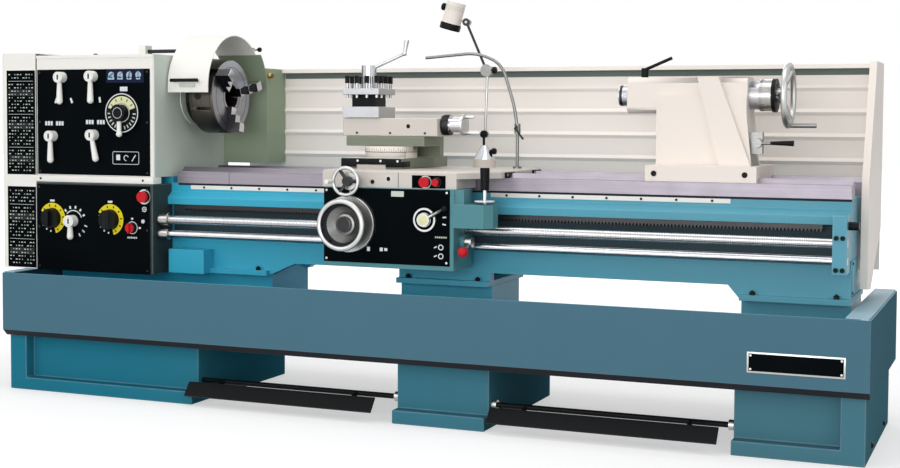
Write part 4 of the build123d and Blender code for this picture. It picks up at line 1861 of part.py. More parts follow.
def tailstock():
    """The tailstock: base on the ways, column with a slanted rib, barrel housing and collar."""
    base_top = WAY_TOP + TAILSTOCK_BASE_HEIGHT
    base_y = (-TAILSTOCK_HALF, TAILSTOCK_HALF)
    body = block((TAIL_X0, TAIL_X1), base_y, (SADDLE_Z0, base_top)) - way_groove((TAIL_X0, TAIL_X1))
    barrel_z = (SPINDLE_Z - BARREL_HALF, SPINDLE_Z + BARREL_HALF)
    barrel = block((BARREL_X0, BARREL_X1), (-BARREL_HALF, BARREL_HALF), barrel_z)
    barrel = fillet(barrel.edges().filter_by(Axis.X), BARREL_EDGE_RADIUS)
    column_x0 = TAIL_X0 + COLUMN_INSET
    toe = TAIL_X1 - COLUMN_TOE
    column_y = (-COLUMN_HALF, COLUMN_HALF)
    body += prism_y(column_y, [
        (column_x0, base_top),
        (toe, base_top),
        (BARREL_X1, SPINDLE_Z - BARREL_HALF),
        (BARREL_X1, SPINDLE_Z),
        (column_x0, SPINDLE_Z),
    ])
    rib_x0 = BARREL_X0 + RIB_LEAD
    body += prism_y((-COLUMN_HALF - RIB_DEPTH, COLUMN_HALF + RIB_DEPTH), [
        (rib_x0, barrel_z[1]),
        (rib_x0 + RIB_TOP_WIDTH, barrel_z[1]),
        (toe, base_top),
        (toe - RIB_FOOT_WIDTH, base_top),
    ])
    body += barrel
    body += rod_x((BARREL_X1, BARREL_X1 + COLLAR_REACH), 0, SPINDLE_Z, COLLAR_RADIUS)
    bore_end = BARREL_X1 - BARREL_END_WALL
    body -= rod_x((BARREL_X0, bore_end), 0, SPINDLE_Z, QUILL_RADIUS + RUN_GAP)
    body -= rod_x((bore_end, BARREL_X1 + COLLAR_REACH), 0, SPINDLE_Z, TAIL_SHAFT_RADIUS + RUN_GAP)
    lever_z = (barrel_z[1] - QUILL_LEVER_PIN_DEPTH, barrel_z[1])
    lever_x = BARREL_X0 + QUILL_LEVER_LEAD
    body -= rod_z(lever_x, 0, lever_z, QUILL_LEVER_PIN_RADIUS + RUN_GAP)
    x, y, z = clamp_place()
    half = CLAMP_BRACKET_HEIGHT / 2
    bracket_x = (toe - CLAMP_BRACKET_LENGTH, x + CLAMP_EYE_RADIUS)
    body += block(bracket_x, (y, y + CLAMP_BRACKET_DEPTH), (z - half, z + half))
    return body - rod_y(x, (y, y + CLAMP_PIN_DEPTH), z, CLAMP_PIN_RADIUS + RUN_GAP)


def clamp_place():
    x = TAIL_X1 - COLUMN_TOE + CLAMP_EYE_RADIUS
    z = WAY_TOP + CLAMP_BRACKET_RISE + CLAMP_BRACKET_HEIGHT / 2
    return x, -CLAMP_BRACKET_FRONT, z


def clamp_lever():
    """The bed clamp lever at the tailstock's right side."""
    x, y, z = clamp_place()
    front = y - FACE_GAP
    lever = rod_y(x, (front - CLAMP_EYE_WIDTH, front), z, CLAMP_EYE_RADIUS)
    lever += rod_y(x, (front, y + CLAMP_PIN_DEPTH), z, CLAMP_PIN_RADIUS)
    arm_y = front - CLAMP_EYE_WIDTH / 2
    bend = x + CLAMP_ARM_LENGTH
    lever += rod_x((x, bend), arm_y, z, CLAMP_ARM_RADIUS)
    tip = (bend + CLAMP_HANDLE_LENGTH, arm_y, z)
    return lever + rod((bend, arm_y, z), tip, CLAMP_ARM_RADIUS, CLAMP_HANDLE_RADIUS)


def quill():
    x = (BARREL_X0 - QUILL_STICKOUT, BARREL_X0 - QUILL_STICKOUT + QUILL_LENGTH)
    body = rod_x(x, 0, SPINDLE_Z, QUILL_RADIUS)
    body -= rod_x((x[0], x[0] + QUILL_SOCKET_DEPTH), 0, SPINDLE_Z, QUILL_SOCKET_RADIUS)
    return body - rod_x((x[0] + QUILL_SOCKET_DEPTH, x[1]), 0, SPINDLE_Z, QUILL_NUT_RADIUS)


def quill_lever():
    x = BARREL_X0 + QUILL_LEVER_LEAD
    seat = SPINDLE_Z + BARREL_HALF
    top = seat + FACE_GAP + QUILL_LEVER_HEIGHT
    lever = rod_z(x, 0, (seat + FACE_GAP, top), QUILL_LEVER_RADIUS)
    lever += rod_z(x, 0, (seat - QUILL_LEVER_PIN_DEPTH, seat + FACE_GAP), QUILL_LEVER_PIN_RADIUS)
    root = (x, 0, top - QUILL_LEVER_ROD)
    return lever + rod(root, (x + QUILL_LEVER_REACH, 0, root[2] + QUILL_LEVER_RISE), QUILL_LEVER_ROD)


def tailstock_handwheel():
    """The tailstock handwheel with its graduated sleeve, dark disc, screw and handle."""
    sleeve_x0 = BARREL_X1 + COLLAR_REACH + FACE_GAP
    disc_x0 = sleeve_x0 + TAIL_DIAL_LENGTH
    hub_x0 = disc_x0 + TAIL_DISC_LENGTH
    rim_x = BARREL_X1 + TAIL_WHEEL_REACH
    body = rod_x((sleeve_x0, disc_x0), 0, SPINDLE_Z, TAIL_DIAL_RADIUS)
    body += rod_x((disc_x0, hub_x0), 0, SPINDLE_Z, TAIL_DISC_RADIUS)
    body += rod_x((hub_x0, hub_x0 + TAIL_HUB_LENGTH), 0, SPINDLE_Z, TAIL_HUB_RADIUS)
    body += rod_x((BARREL_X1 - BARREL_END_WALL, sleeve_x0), 0, SPINDLE_Z, TAIL_SHAFT_RADIUS)
    screw_x1 = BARREL_X1 - BARREL_END_WALL
    body += rod_x((screw_x1 - QUILL_SCREW_LENGTH, screw_x1), 0, SPINDLE_Z, QUILL_SCREW_RADIUS)
    hub_offset = hub_x0 + TAIL_HUB_LENGTH / 2 - rim_x
    body += wheel((rim_x, 0, SPINDLE_Z), (1, 0, 0), TAIL_WHEEL_RADIUS, TAIL_RIM_RADIUS,
                  hub_offset, TAIL_HUB_RADIUS, TAIL_RIM_RADIUS)
    handle_z = SPINDLE_Z - TAIL_WHEEL_RADIUS + TAIL_RIM_RADIUS
    return body + rod_x((rim_x, rim_x + TAIL_HANDLE_LENGTH), 0, handle_z, TAIL_HANDLE_RADIUS)


def brake_treadle():
    """Two foot bars on one shaft that turns in the three pedestals."""
    shaft_x = (LEFT_PEDESTAL[1] - TREADLE_SEAT, RIGHT_PEDESTAL[0] + TREADLE_SEAT)
    body = rod_x(shaft_x, TREADLE_Y, TREADLE_HEIGHT, TREADLE_SHAFT_RADIUS)
    bar_y, bar_z = TREADLE_Y - TREADLE_REACH, TREADLE_HEIGHT - TREADLE_DROP
    bars = (
        (LEFT_PEDESTAL[1] - TREADLE_LEFT_LAP, MIDDLE_PEDESTAL[0] - TREADLE_LEFT_GAP),
        (MIDDLE_PEDESTAL[1] + TREADLE_RIGHT_LEAD, RIGHT_PEDESTAL[0] - TREADLE_RIGHT_GAP),
    )
    for x0, x1 in bars:
        plate = Box(x1 - x0, TREADLE_THICKNESS, TREADLE_WIDTH)
        body += Pos((x0 + x1) / 2, bar_y, bar_z) * Rot(-TREADLE_TILT, 0, 0) * plate
        for x in (x0 + TREADLE_ARM_INSET, x1 - TREADLE_ARM_INSET):
            body += rod((x, TREADLE_Y, TREADLE_HEIGHT), (x, bar_y, bar_z), TREADLE_ARM_RADIUS)
    return body


def nodes():
    """Every sub-part by name."""
    parts = {
        "left_pedestal": left_pedestal(),
        "middle_pedestal": middle_pedestal(),
        "right_pedestal": right_pedestal(),
        "chip_tray": chip_tray(),
        "bed": bed(),
        "bed_ways": bed_ways(),
        "rod_bracket": rod_bracket(),
        "headstock": headstock(),
        "control_panels": control_panels(),
        "feed_gearbox": feed_gearbox(),
        "spindle_bearings": spindle_bearings(),
        "main_motor": main_motor(),
        "splash_guard": splash_guard(),
        "spindle": spindle(),
        "chuck_body": chuck_body(),
        "idler_gear": idler_gear(),
        "input_gear": input_gear(),
        "leadscrew": leadscrew(),
        "feed_rod": feed_rod(),
        "chuck_guard": chuck_guard(),
        "end_cover": end_cover(),
        "speed_dial": speed_dial(),
        "feed_lever": feed_lever(),
        "power_switch": power_switch(),
        "headstock_stop": headstock_stop(),
        "saddle": saddle(),
        "apron": apron(),
        "saddle_fittings": saddle_fittings(),
        "cross_slide": cross_slide(),
        "compound_base": compound_base(),
        "top_slide": top_slide(),
        "toolpost": toolpost(),
        "toolpost_lever": toolpost_lever(),
        "apron_handwheel": apron_handwheel(),
        "cross_handwheel": cross_handwheel(),
        "compound_crank": compound_crank(),
        "apron_selector": apron_selector(),
        "joystick": joystick(),
        "control_lever": control_lever(),
        "saddle_stop": saddle_stop(),
        "saddle_button": saddle_button(),
        "lamp_lower_arm": lamp_lower_arm(),
        "lamp_upper_arm": lamp_upper_arm(),
        "lamp_head": lamp_head(),
        "coolant_valve": coolant_valve(),
        "tailstock": tailstock(),
        "quill": quill(),
        "tailstock_handwheel": tailstock_handwheel(),
        "quill_lever": quill_lever(),
        "clamp_lever": clamp_lever(),
        "brake_treadle": brake_treadle(),
    }
    for index, angle in enumerate(jaw_angles(), start=1):
        parts[f"chuck_jaw_{index}"] = chuck_jaw(angle)
    for name, lead, rise, tilt in LEVER_PLACES:
        parts[name] = shift_lever(lead, rise, tilt)
    for name, lead, rise in FEED_DIAL_PLACES:
        parts[name] = feed_dial(lead, rise)
    return parts


def main():
    os.makedirs("parts", exist_ok=True)
    for name, shape in nodes().items():
        solids = shape if isinstance(shape, list) else [shape]
        bodies = [solid for piece in solids for solid in piece.solids()]
        export_step(bodies[0] if len(bodies) == 1 else Compound(bodies), f"parts/{name}.step")


main()
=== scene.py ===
"""Finishes, trim and studio for a screw-cutting lathe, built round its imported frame."""
import json
import math
from itertools import product

import bmesh
import bpy
from bpy.props import FloatProperty, FloatVectorProperty, PointerProperty
from bpy.types import Operator, Panel, PropertyGroup
from mathutils import Matrix, Vector


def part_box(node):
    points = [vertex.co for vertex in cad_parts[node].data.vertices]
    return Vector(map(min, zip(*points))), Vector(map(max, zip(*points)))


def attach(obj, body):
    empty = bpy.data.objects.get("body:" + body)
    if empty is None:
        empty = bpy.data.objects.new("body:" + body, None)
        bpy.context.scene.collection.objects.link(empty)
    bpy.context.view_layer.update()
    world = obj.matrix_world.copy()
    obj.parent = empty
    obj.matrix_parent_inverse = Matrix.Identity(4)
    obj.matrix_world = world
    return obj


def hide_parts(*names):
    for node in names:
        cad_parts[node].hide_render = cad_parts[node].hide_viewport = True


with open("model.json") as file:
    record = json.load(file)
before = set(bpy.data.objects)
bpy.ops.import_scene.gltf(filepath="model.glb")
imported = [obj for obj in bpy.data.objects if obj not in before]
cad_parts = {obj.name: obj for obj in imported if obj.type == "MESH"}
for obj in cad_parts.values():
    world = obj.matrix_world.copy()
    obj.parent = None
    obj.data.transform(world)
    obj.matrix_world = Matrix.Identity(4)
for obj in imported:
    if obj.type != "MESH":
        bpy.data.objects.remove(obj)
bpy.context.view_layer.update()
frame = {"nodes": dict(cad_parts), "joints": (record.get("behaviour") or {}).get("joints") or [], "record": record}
NODES = frame["nodes"]
BODY_OF = {node: body for body, nodes in frame["record"]["behaviour"]["bodies"].items() for node in nodes}
SLOT_OF = {part["node"]: part["material_slot"] for part in frame["record"]["subparts"]}
JOINT_AT = {joint["child"]: Vector(joint["pos_m"]) for joint in frame["joints"] if "pos_m" in joint}

bl_info = {
    "name": "Screw-cutting lathe",
    "version": (1, 0, 0),
    "blender": (4, 5, 0),
    "location": "View3D > Sidebar > Lathe",
    "description": "Finishes, trim and studio for the lathe",
    "category": "Object",
}

MERGE = 2e-5
FLAT_ANGLE = math.radians(0.6)
BEVEL_ANGLE = math.radians(30)
SHARP_ANGLE = math.radians(38)
SHORTEST_BEVEL = 0.016
LARGE_FACE = 0.02
SQUARE = 0.9  # a face whose normal has this much of an axis is square to it
X, Y, Z = range(3)
UP = Matrix.Identity(4)
FRONT = Matrix(((1, 0, 0), (0, 0, -1), (0, 1, 0))).to_4x4()
REAR = Matrix(((-1, 0, 0), (0, 0, 1), (0, 1, 0))).to_4x4()
RIGHT = Matrix(((0, 0, 1), (1, 0, 0), (0, 1, 0))).to_4x4()
LEFT = Matrix(((0, 0, -1), (-1, 0, 0), (0, 1, 0))).to_4x4()
SHIFT_LEVERS = ("shift_lever_upper_left", "shift_lever_upper_right", "shift_lever_lower_left",
                "shift_lever_lower_right")


def shade(red, green, blue):
    """A screen colour from 0 to 255 as linear light."""
    def linear(value):
        value /= 255
        return value / 12.92 if value <= 0.04045 else ((value + 0.055) / 1.055) ** 2.4
    return linear(red), linear(green), linear(blue)


def colour(label, words, default):
    return FloatVectorProperty(name=label, description=words, subtype="COLOR", size=3, min=0, max=1,
                               default=shade(*default))


def length(label, words, default):
    return FloatProperty(name=label, description=words, subtype="DISTANCE", unit="LENGTH", min=0,
                         default=default)


def angle(label, words, default):
    return FloatProperty(name=label, description=words, subtype="ANGLE", default=math.radians(default))


def amount(label, words, default):
    return FloatProperty(name=label, description=words, default=default)


class LatheColours(PropertyGroup):
    """Colours of the lathe's finishes."""
    bed: colour("Bed", "Teal enamel of the bed at the headstock end", (53, 176, 208))
    # Painted shade: the bed's colour turns greyer and darker towards the tailstock end, where it is lit less.
    bed_shaded_end: colour("Bed, faded", "Teal enamel of the bed at the tailstock end", (92, 160, 180))
    # Painted shade: this dark colour stands in for the shadow behind the leadscrew and feed rod and under the
    # bed's ledge.
    bay_shade: colour("Rod bay", "Dark enamel behind the leadscrew and feed rod", (58, 74, 80))
    apron: colour("Apron", "Teal enamel of the apron", (84, 138, 146))
    tray: colour("Tray", "Slate-blue enamel of the chip tray", (79, 117, 134))
    # Painted highlight: the tray's pale rim and end ledges are its top faces painted lighter, as if lit from
    # above.
    rim: colour("Tray rim", "Pale blue rim and end ledges of the chip tray", (156, 186, 198))
    pedestal: colour("Pedestals", "Teal enamel of the left pedestal", (39, 122, 145))
    # Painted shade: the pedestals' colour turns greyer towards the tailstock end, as for the bed.
    pedestal_shaded_end: colour("Pedestals, faded", "Teal enamel of the right pedestal", (77, 124, 139))
    # Near-black for seams, and painted shade where it marks undersides, slits, openings and holes.
    under: colour("Undersides", "Dark folds and undersides", (40, 42, 48))
    white: colour("White", "White enamel of the headstock and covers", (238, 236, 231))
    cream: colour("Cream", "Cream enamel of the tailstock and lamp", (238, 229, 221))
    # Painted highlight: the sheet's paler cream is a lit copy of the cream, making up for the light the splash
    # guard lacks.
    sheet: colour("Sheet", "Pale cream enamel of the splash guard", (250, 243, 236))
    # Painted shade: this is a darker copy of the cream for the saddle and top slide, which get less light.
    shaded_cream: colour("Putty", "Putty enamel of the saddle and top slide", (212, 205, 198))
    # Painted shade: the headstock's spindle side is a greyer copy of the white, as that side gets less light; the
    # colour also serves grey print.
    side: colour("Headstock side", "Green-grey enamel of the headstock's spindle side", (200, 209, 199))
    shield: colour("Shield", "Olive enamel of the chuck shield", (152, 166, 142))
    # Painted shade: the gearbox is painted dark, standing in for the shade on its side.
    gearbox: colour("Gearbox side", "Dark enamel of the gearbox side", (50, 63, 64))
    compound: colour("Compound", "Green-grey enamel of the compound slide", (128, 135, 118))
    lip: colour("Lip shade", "Dark strip under the splash guard's lip", (104, 116, 110))
    panel: colour("Panels", "Black control panels", (5, 7, 9))
    navy: colour("Sign ground", "Dark blue ground of the panel signs", (13, 20, 50))
    chart: colour("Charts", "Dark grey chart plates", (44, 46, 48))
    ways: colour("Ways", "Ground steel of the bed ways", (150, 144, 153))
    way_tops: colour("Way tops", "Dull tops of the bed ways", (168, 164, 172))
    steel: colour("Steel", "Turned bright steel", (182, 180, 178))
    post: colour("Tool post", "Ground steel of the tool post", (186, 187, 190))
    chrome: colour("Chrome", "Polished plating", (208, 210, 214))
    satin: colour("Satin grey", "Satin grey handwheels", (196, 197, 195))
    pipe: colour("Pipe", "Dull plating of the coolant pipe", (140, 140, 138))
    chuck: colour("Chuck", "Hardened side of the chuck", (92, 86, 80))
    chuck_face: colour("Chuck face", "Turned face of the chuck", (176, 178, 186))
    dark_steel: colour("Dark steel", "Hardened or blackened steel", (56, 56, 58))
    black: colour("Black plastic", "Moulded black plastic", (11, 11, 12))
    red: colour("Red", "Red buttons and ball", (200, 30, 42))
    yellow: colour("Yellow", "Yellow dial rings", (228, 212, 44))
    dial: colour("Dial yellow", "Pale yellow of the dial faces", (224, 224, 176))
    printed: colour("Printed white", "White print on panels and charts", (222, 226, 228))
    printed_blue: colour("Printed blue", "Blue-white print on panels", (168, 196, 216))
    brass: colour("Brass", "Small brass knobs and fittings", (186, 158, 92))
    handle: colour("Handles", "White lever handles", (240, 240, 236))
    motor: colour("Motor", "Grey-blue motor enamel", (74, 92, 102))
    floor: colour("Floor", "Pale studio floor", (198, 198, 198))


class LatheSizes(PropertyGroup):
    """Sizes of the lathe's trim."""
    casting_edge: length("Casting edge", "Rounding of a casting's straight edges", 0.004)
    plate_edge: length("Plate edge", "Rounding of sheet and plate edges", 0.0012)
    machined_edge: length("Machined edge", "Rounding of machined edges", 0.0015)
    print_depth: length("Print depth", "Thickness of printed marks", 0.0004)
    screw_radius: length("Screw radius", "Radius of the panel screws' heads", 0.0045)
    cap_radius: length("Cap screw radius", "Radius of the larger cap screws' heads", 0.008)
    pitch: length("Leadscrew pitch", "Advance of the leadscrew's thread in one turn", 0.006)


class LatheStudio(PropertyGroup):
    """Camera and light."""
    lens: amount("Lens", "Focal length in millimetres", 57.2)
    shift: amount("Shift", "Vertical lens shift", -0.0447)
    place: FloatVectorProperty(name="Camera place", description="Where the camera stands",
                               subtype="TRANSLATION", unit="LENGTH", default=(2.1792, -5.1102, 1.1016))
    yaw: angle("Yaw", "Turn towards the headstock", 22.38)
    pitch: angle("Pitch", "Look down", 2.90)
    roll: angle("Roll", "Tilt of the picture", 0.30)
    key: amount("Key light", "Power of the main softbox", 80)
    front: amount("Front light", "Power of the low softbox in front", 150)
    fill: amount("Fill light", "Power of the softbox at the tailstock end", 45)
    top: amount("Top light", "Power of the overhead softbox", 95)
    rear: amount("Rear light", "Power of the softbox behind", 80)
    ambient: amount("Ambient", "Strength of the surrounding light", 0.46)
    lift: amount("Floor lift", "Light added to the floor where it is seen", 0.50)


def colours():
    return bpy.context.scene.lathe_colours


def sizes():
    return bpy.context.scene.lathe_sizes


def studio():
    return bpy.context.scene.lathe_studio


# Shader groups

COLOUR, VALUE, VECTOR = "NodeSocketColor", "NodeSocketFloat", "NodeSocketVector"
VECTOR_MATH = "ShaderNodeVectorMath"
METAL_INPUTS = (("Colour", COLOUR, None), ("Contrast", VALUE, 0.3), ("Gloss", VALUE, 0.3))
SKIN_OUTPUTS = (("Colour", COLOUR), ("Roughness", VALUE), ("Height", VALUE))
GRIME = (0.02, 0.03, 0.035, 1)
TARNISH = (0.03, 0.03, 0.032, 1)
# Where along the machine the painted shade gradient starts and ends.
SHADE_START, SHADE_END = -1.2, 1.0
PEEL_HEIGHT, MARK_HEIGHT = 0.0008, 0.0004


def add_node(tree, kind, **values):
    made = tree.nodes.new(kind)
    for name, value in values.items():
        setattr(made, name, value)
    return made


def put(made, values):
    """Sets a node's inputs by their labels."""
    for label, value in values.items():
        made.inputs[label].default_value = value


def new_group(name, inputs):
    """A shader group with named inputs and a skin's outputs, and the sockets at its two ends."""
    tree = bpy.data.node_groups.new(name, "ShaderNodeTree")
    for label, kind, default in inputs:
        socket = tree.interface.new_socket(label, in_out="INPUT", socket_type=kind)
        if default is not None:
            socket.default_value = default
    for label, kind in SKIN_OUTPUTS:
        tree.interface.new_socket(label, in_out="OUTPUT", socket_type=kind)
    return tree, tree.nodes.new("NodeGroupInput").outputs, tree.nodes.new("NodeGroupOutput").inputs


def join(tree, target, value):
    """Links a socket to an output, or sets it to a constant."""
    if hasattr(value, "is_output"):
        tree.links.new(value, target)
    else:
        target.default_value = value


def own_place(tree):
    """The object's own coordinates."""
    return add_node(tree, "ShaderNodeTexCoord").outputs["Object"]


def noise(tree, scale, detail, place=None):
    """Noise on the object's own coordinates, or on others that are given."""
    texture = add_node(tree, "ShaderNodeTexNoise")
    put(texture, {"Scale": scale, "Detail": detail})
    tree.links.new(own_place(tree) if place is None else place, texture.inputs["Vector"])
    return texture.outputs["Fac"]


def math_node(tree, operation, *values, kind="ShaderNodeMath", output=0):
    made = add_node(tree, kind, operation=operation)
    for target, value in zip(made.inputs, values):
        join(tree, target, value)
    return made.outputs[output]


def mix_colour(tree, factor, first, second):
    made = add_node(tree, "ShaderNodeMix", data_type="RGBA")
    sockets = {item.identifier: item for item in made.inputs}
    for name, value in (("Factor_Float", factor), ("A_Color", first), ("B_Color", second)):
        join(tree, sockets[name], value)
    return next(item for item in made.outputs if item.identifier == "Result_Color")


def uneven_gloss(tree, given, out, scale, detail, reach):
    """Roughness that wanders about the given gloss."""
    wander = math_node(tree, "MULTIPLY_ADD", noise(tree, scale, detail), reach, -reach / 2)
    tree.links.new(math_node(tree, "ADD", wander, given["Gloss"]), out["Roughness"])


def enamel_group():
    """Enamel: a painted shade gradient along the bed, slow colour drift, orange peel, uneven gloss and worn edges.
    """
    tree, given, out = new_group("Enamel skin", (
        ("Colour", COLOUR, None), ("Shaded end colour", COLOUR, None), ("Worn colour", COLOUR, None),
        ("Drift", VALUE, 0.06), ("Gloss", VALUE, 0.35), ("Wear", VALUE, 0.3),
    ))
    along = add_node(tree, "ShaderNodeSeparateXYZ")
    tree.links.new(own_place(tree), along.inputs["Vector"])
    # Painted shade gradient: towards the tailstock end the colour turns to the shaded end colour.
    end_shade = add_node(tree, "ShaderNodeMapRange")
    put(end_shade, {"From Min": SHADE_START, "From Max": SHADE_END})
    tree.links.new(along.outputs["X"], end_shade.inputs["Value"])
    base = mix_colour(tree, end_shade.outputs["Result"], given["Colour"], given["Shaded end colour"])
    drift = math_node(tree, "MULTIPLY", noise(tree, 2.2, 3), given["Drift"])
    darker = mix_colour(tree, drift, base, GRIME)
    edge = add_node(tree, "ShaderNodeAttribute", attribute_name="edge")
    patches = math_node(tree, "MULTIPLY", noise(tree, 14, 4), edge.outputs["Fac"])
    worn = math_node(tree, "MULTIPLY", patches, given["Wear"])
    tree.links.new(mix_colour(tree, worn, darker, given["Worn colour"]), out["Colour"])
    uneven_gloss(tree, given, out, 9, 4, 0.16)
    tree.links.new(noise(tree, 220, 2), out["Height"])
    return tree


def marks_out(tree, given, out, fine):
    """Colour, roughness and height of a metal from the pattern of its tool marks."""
    depth = math_node(tree, "MULTIPLY", fine, given["Contrast"])
    tree.links.new(mix_colour(tree, depth, given["Colour"], TARNISH), out["Colour"])
    uneven_gloss(tree, given, out, 12, 3, 0.2)
    tree.links.new(fine, out["Height"])


def metal_group():
    """Machined metal: fine marks along one direction and uneven gloss."""
    tree, given, out = new_group("Machined skin", (*METAL_INPUTS, ("Marks", VECTOR, (1, 1, 1))))
    stretched = math_node(tree, "MULTIPLY", own_place(tree), given["Marks"], kind=VECTOR_MATH)
    marks_out(tree, given, out, noise(tree, 1.0, 3, stretched))
    return tree


def turned_group():
    """Turned metal: fine rings about an axis through a centre."""
    tree, given, out = new_group("Turned skin", (
        *METAL_INPUTS, ("Centre", VECTOR, (0, 0, 0)), ("Across", VECTOR, (0, 1, 1)),
    ))
    offset = math_node(tree, "SUBTRACT", own_place(tree), given["Centre"], kind=VECTOR_MATH)
    across = math_node(tree, "MULTIPLY", offset, given["Across"], kind=VECTOR_MATH)
    radius = math_node(tree, "LENGTH", across, kind=VECTOR_MATH, output="Value")
    rings = add_node(tree, "ShaderNodeTexNoise", noise_dimensions="1D")
    put(rings, {"Scale": 260, "Detail": 3})
    tree.links.new(radius, rings.inputs["W"])
    marks_out(tree, given, out, rings.outputs["Fac"])
    return tree


def skinned(name, group, builder, strength, distance, values):
    """A material whose colour, roughness and bump come from a shader group."""
    material = bpy.data.materials.new(name)
    material.use_nodes = True
    tree = material.node_tree
    shader = tree.nodes["Principled BSDF"]
    skin = add_node(tree, "ShaderNodeGroup", node_tree=bpy.data.node_groups.get(group) or builder())
    put(skin, values)
    bump = add_node(tree, "ShaderNodeBump")
    put(bump, {"Strength": strength, "Distance": distance})
    for source, target in (("Colour", shader.inputs["Base Color"]), ("Roughness", shader.inputs["Roughness"]),
                           ("Height", bump.inputs["Height"])):
        tree.links.new(skin.outputs[source], target)
    tree.links.new(bump.outputs["Normal"], shader.inputs["Normal"])
    return material, shader


def enamel(name, base, shaded_end=None, gloss=0.35, drift=0.10, wear=0.35, peel=0.10, shine=0.12):
    """A painted, printed or moulded finish."""
    if name in bpy.data.materials:
        return bpy.data.materials[name]
    worn = [min(1, 0.35 + 0.6 * channel) for channel in base]
    values = {"Colour": (*base, 1), "Shaded end colour": (*(shaded_end or base), 1), "Worn colour": (*worn, 1),
              "Drift": drift, "Gloss": gloss, "Wear": wear}
    material, shader = skinned(name, "Enamel skin", enamel_group, peel, PEEL_HEIGHT, values)
    shader.inputs["Specular IOR Level"].default_value = shine
    return material


def metal(name, base, marks=(60, 60, 60), contrast=0.35, gloss=0.28, depth=0.08, centre=None, across=None):
    """A machined metal, with straight marks, or with rings where a centre is given."""
    if name in bpy.data.materials:
        return bpy.data.materials[name]
    values = {"Colour": (*base, 1), "Contrast": contrast, "Gloss": gloss}
    if centre is None:
        group, builder, pattern = "Machined skin", metal_group, {"Marks": marks}
    else:
        group, builder, pattern = "Turned skin", turned_group, {"Centre": centre, "Across": across}
    material, shader = skinned(name, group, builder, depth, MARK_HEIGHT, values | pattern)
    shader.inputs["Metallic"].default_value = 1.0
    return material


def finishes():
    """Every finish by a short name."""
    tone = colours()
    small = {"gloss": 0.4, "drift": 0.06, "wear": 0.0, "peel": 0.03, "shine": 0.1}
    return {
        # The bed and the pedestals carry a painted shade gradient towards the tailstock end.
        "bed": enamel("Bed enamel", tone.bed, tone.bed_shaded_end, gloss=0.32),
        # Painted shade for the bed wall behind the rods.
        "bay_shade": enamel("Rod bay", tone.bay_shade, gloss=0.5),
        # Painted highlight on the tray's top faces.
        "rim": enamel("Tray rim", tone.rim, gloss=0.45),
        "apron": enamel("Apron enamel", tone.apron, gloss=0.34),
        "tray": enamel("Tray enamel", tone.tray, gloss=0.5, shine=0.0),
        "pedestal": enamel("Pedestal enamel", tone.pedestal, tone.pedestal_shaded_end, gloss=0.5, shine=0.0),
        # Near-black for seams, and painted shade for undersides, slits and holes.
        "under": enamel("Underside", tone.under, gloss=0.6, shine=0.1),
        "white": enamel("White enamel", tone.white, gloss=0.34, drift=0.03, wear=0.12),
        "cream": enamel("Cream enamel", tone.cream, gloss=0.38, drift=0.04, wear=0.12),
        # Painted highlight: a lit copy of the cream for the splash guard.
        "sheet": enamel("Sheet enamel", tone.sheet, gloss=0.38, drift=0.04, wear=0.12),
        # Painted shade: a darker copy of the cream.
        "shaded_cream": enamel("Putty enamel", tone.shaded_cream, gloss=0.38, drift=0.08, wear=0.2),
        # Painted shade on the headstock's side; the same finish serves grey print.
        "side": enamel("Headstock side", tone.side, gloss=0.4, drift=0.08),
        "shield": enamel("Shield enamel", tone.shield, gloss=0.4, drift=0.12),
        # Painted shade for the gearbox's side.
        "gearbox": enamel("Gearbox side", tone.gearbox, gloss=0.5, shine=0.15),
        "compound": enamel("Compound enamel", tone.compound, gloss=0.4),
        "lip": enamel("Lip shade", tone.lip, gloss=0.5),
        "motor": enamel("Motor enamel", tone.motor, gloss=0.5),
        "panel": enamel("Panel black", tone.panel, gloss=0.5, drift=0.2, wear=0.05, shine=0.0),
        "navy": enamel("Sign ground", tone.navy, **small),
        "chart": enamel("Chart plate", tone.chart, **small),
        "black": enamel("Moulded black", tone.black, gloss=0.4, drift=0.2, wear=0.05, peel=0.06, shine=0.1),
        "red": enamel("Moulded red", tone.red, gloss=0.22, drift=0.12, wear=0.05, peel=0.04),
        "yellow": enamel("Printed yellow", tone.yellow, **small),
        "dial": enamel("Dial yellow", tone.dial, **small),
        "print": enamel("Printed white", tone.printed, **small),
        "blue": enamel("Printed blue", tone.printed_blue, **small),
        "handle": enamel("Moulded white", tone.handle, gloss=0.22, drift=0.04, wear=0.0, peel=0.04),
        "ways": metal("Ground ways", tone.ways, marks=(3, 160, 160), gloss=0.46, contrast=0.3),
        "way_tops": enamel("Way tops", tone.way_tops, gloss=0.5, drift=0.15, wear=0.1, shine=0.0),
        "steel": metal("Bright steel", tone.steel, marks=(90, 90, 90)),
        "post": metal("Tool post steel", tone.post, marks=(40, 40, 300), gloss=0.36, contrast=0.3),
        "pipe": metal("Pipe plating", tone.pipe, marks=(40, 40, 200), gloss=0.36, contrast=0.4),
        "rod": metal("Ground rod", tone.chrome, marks=(160, 12, 12), gloss=0.2, contrast=0.3),
        "chrome": metal("Chrome plate", tone.chrome, marks=(20, 20, 20), gloss=0.14, contrast=0.15,
                        depth=0.02),
        "satin": metal("Satin grey", tone.satin, marks=(70, 70, 70), gloss=0.36, contrast=0.2),
        "dark": metal("Dark steel", tone.dark_steel, marks=(120, 120, 120), gloss=0.38, contrast=0.5),
        "brass": metal("Brass", tone.brass, marks=(50, 50, 50), gloss=0.25, contrast=0.2),
        "chuck": metal("Chuck side", tone.chuck, marks=(260, 10, 10), gloss=0.36, contrast=0.4),
        "chuck_face": metal("Chuck face", tone.chuck_face, contrast=0.5, gloss=0.3,
                            centre=JOINT_AT["spindle"], across=(0, 1, 1)),
    }


# Modelling helpers

def box(node):
    """Lowest and highest corner of a CAD node at rest."""
    low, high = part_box(node)
    return Vector(low), Vector(high)


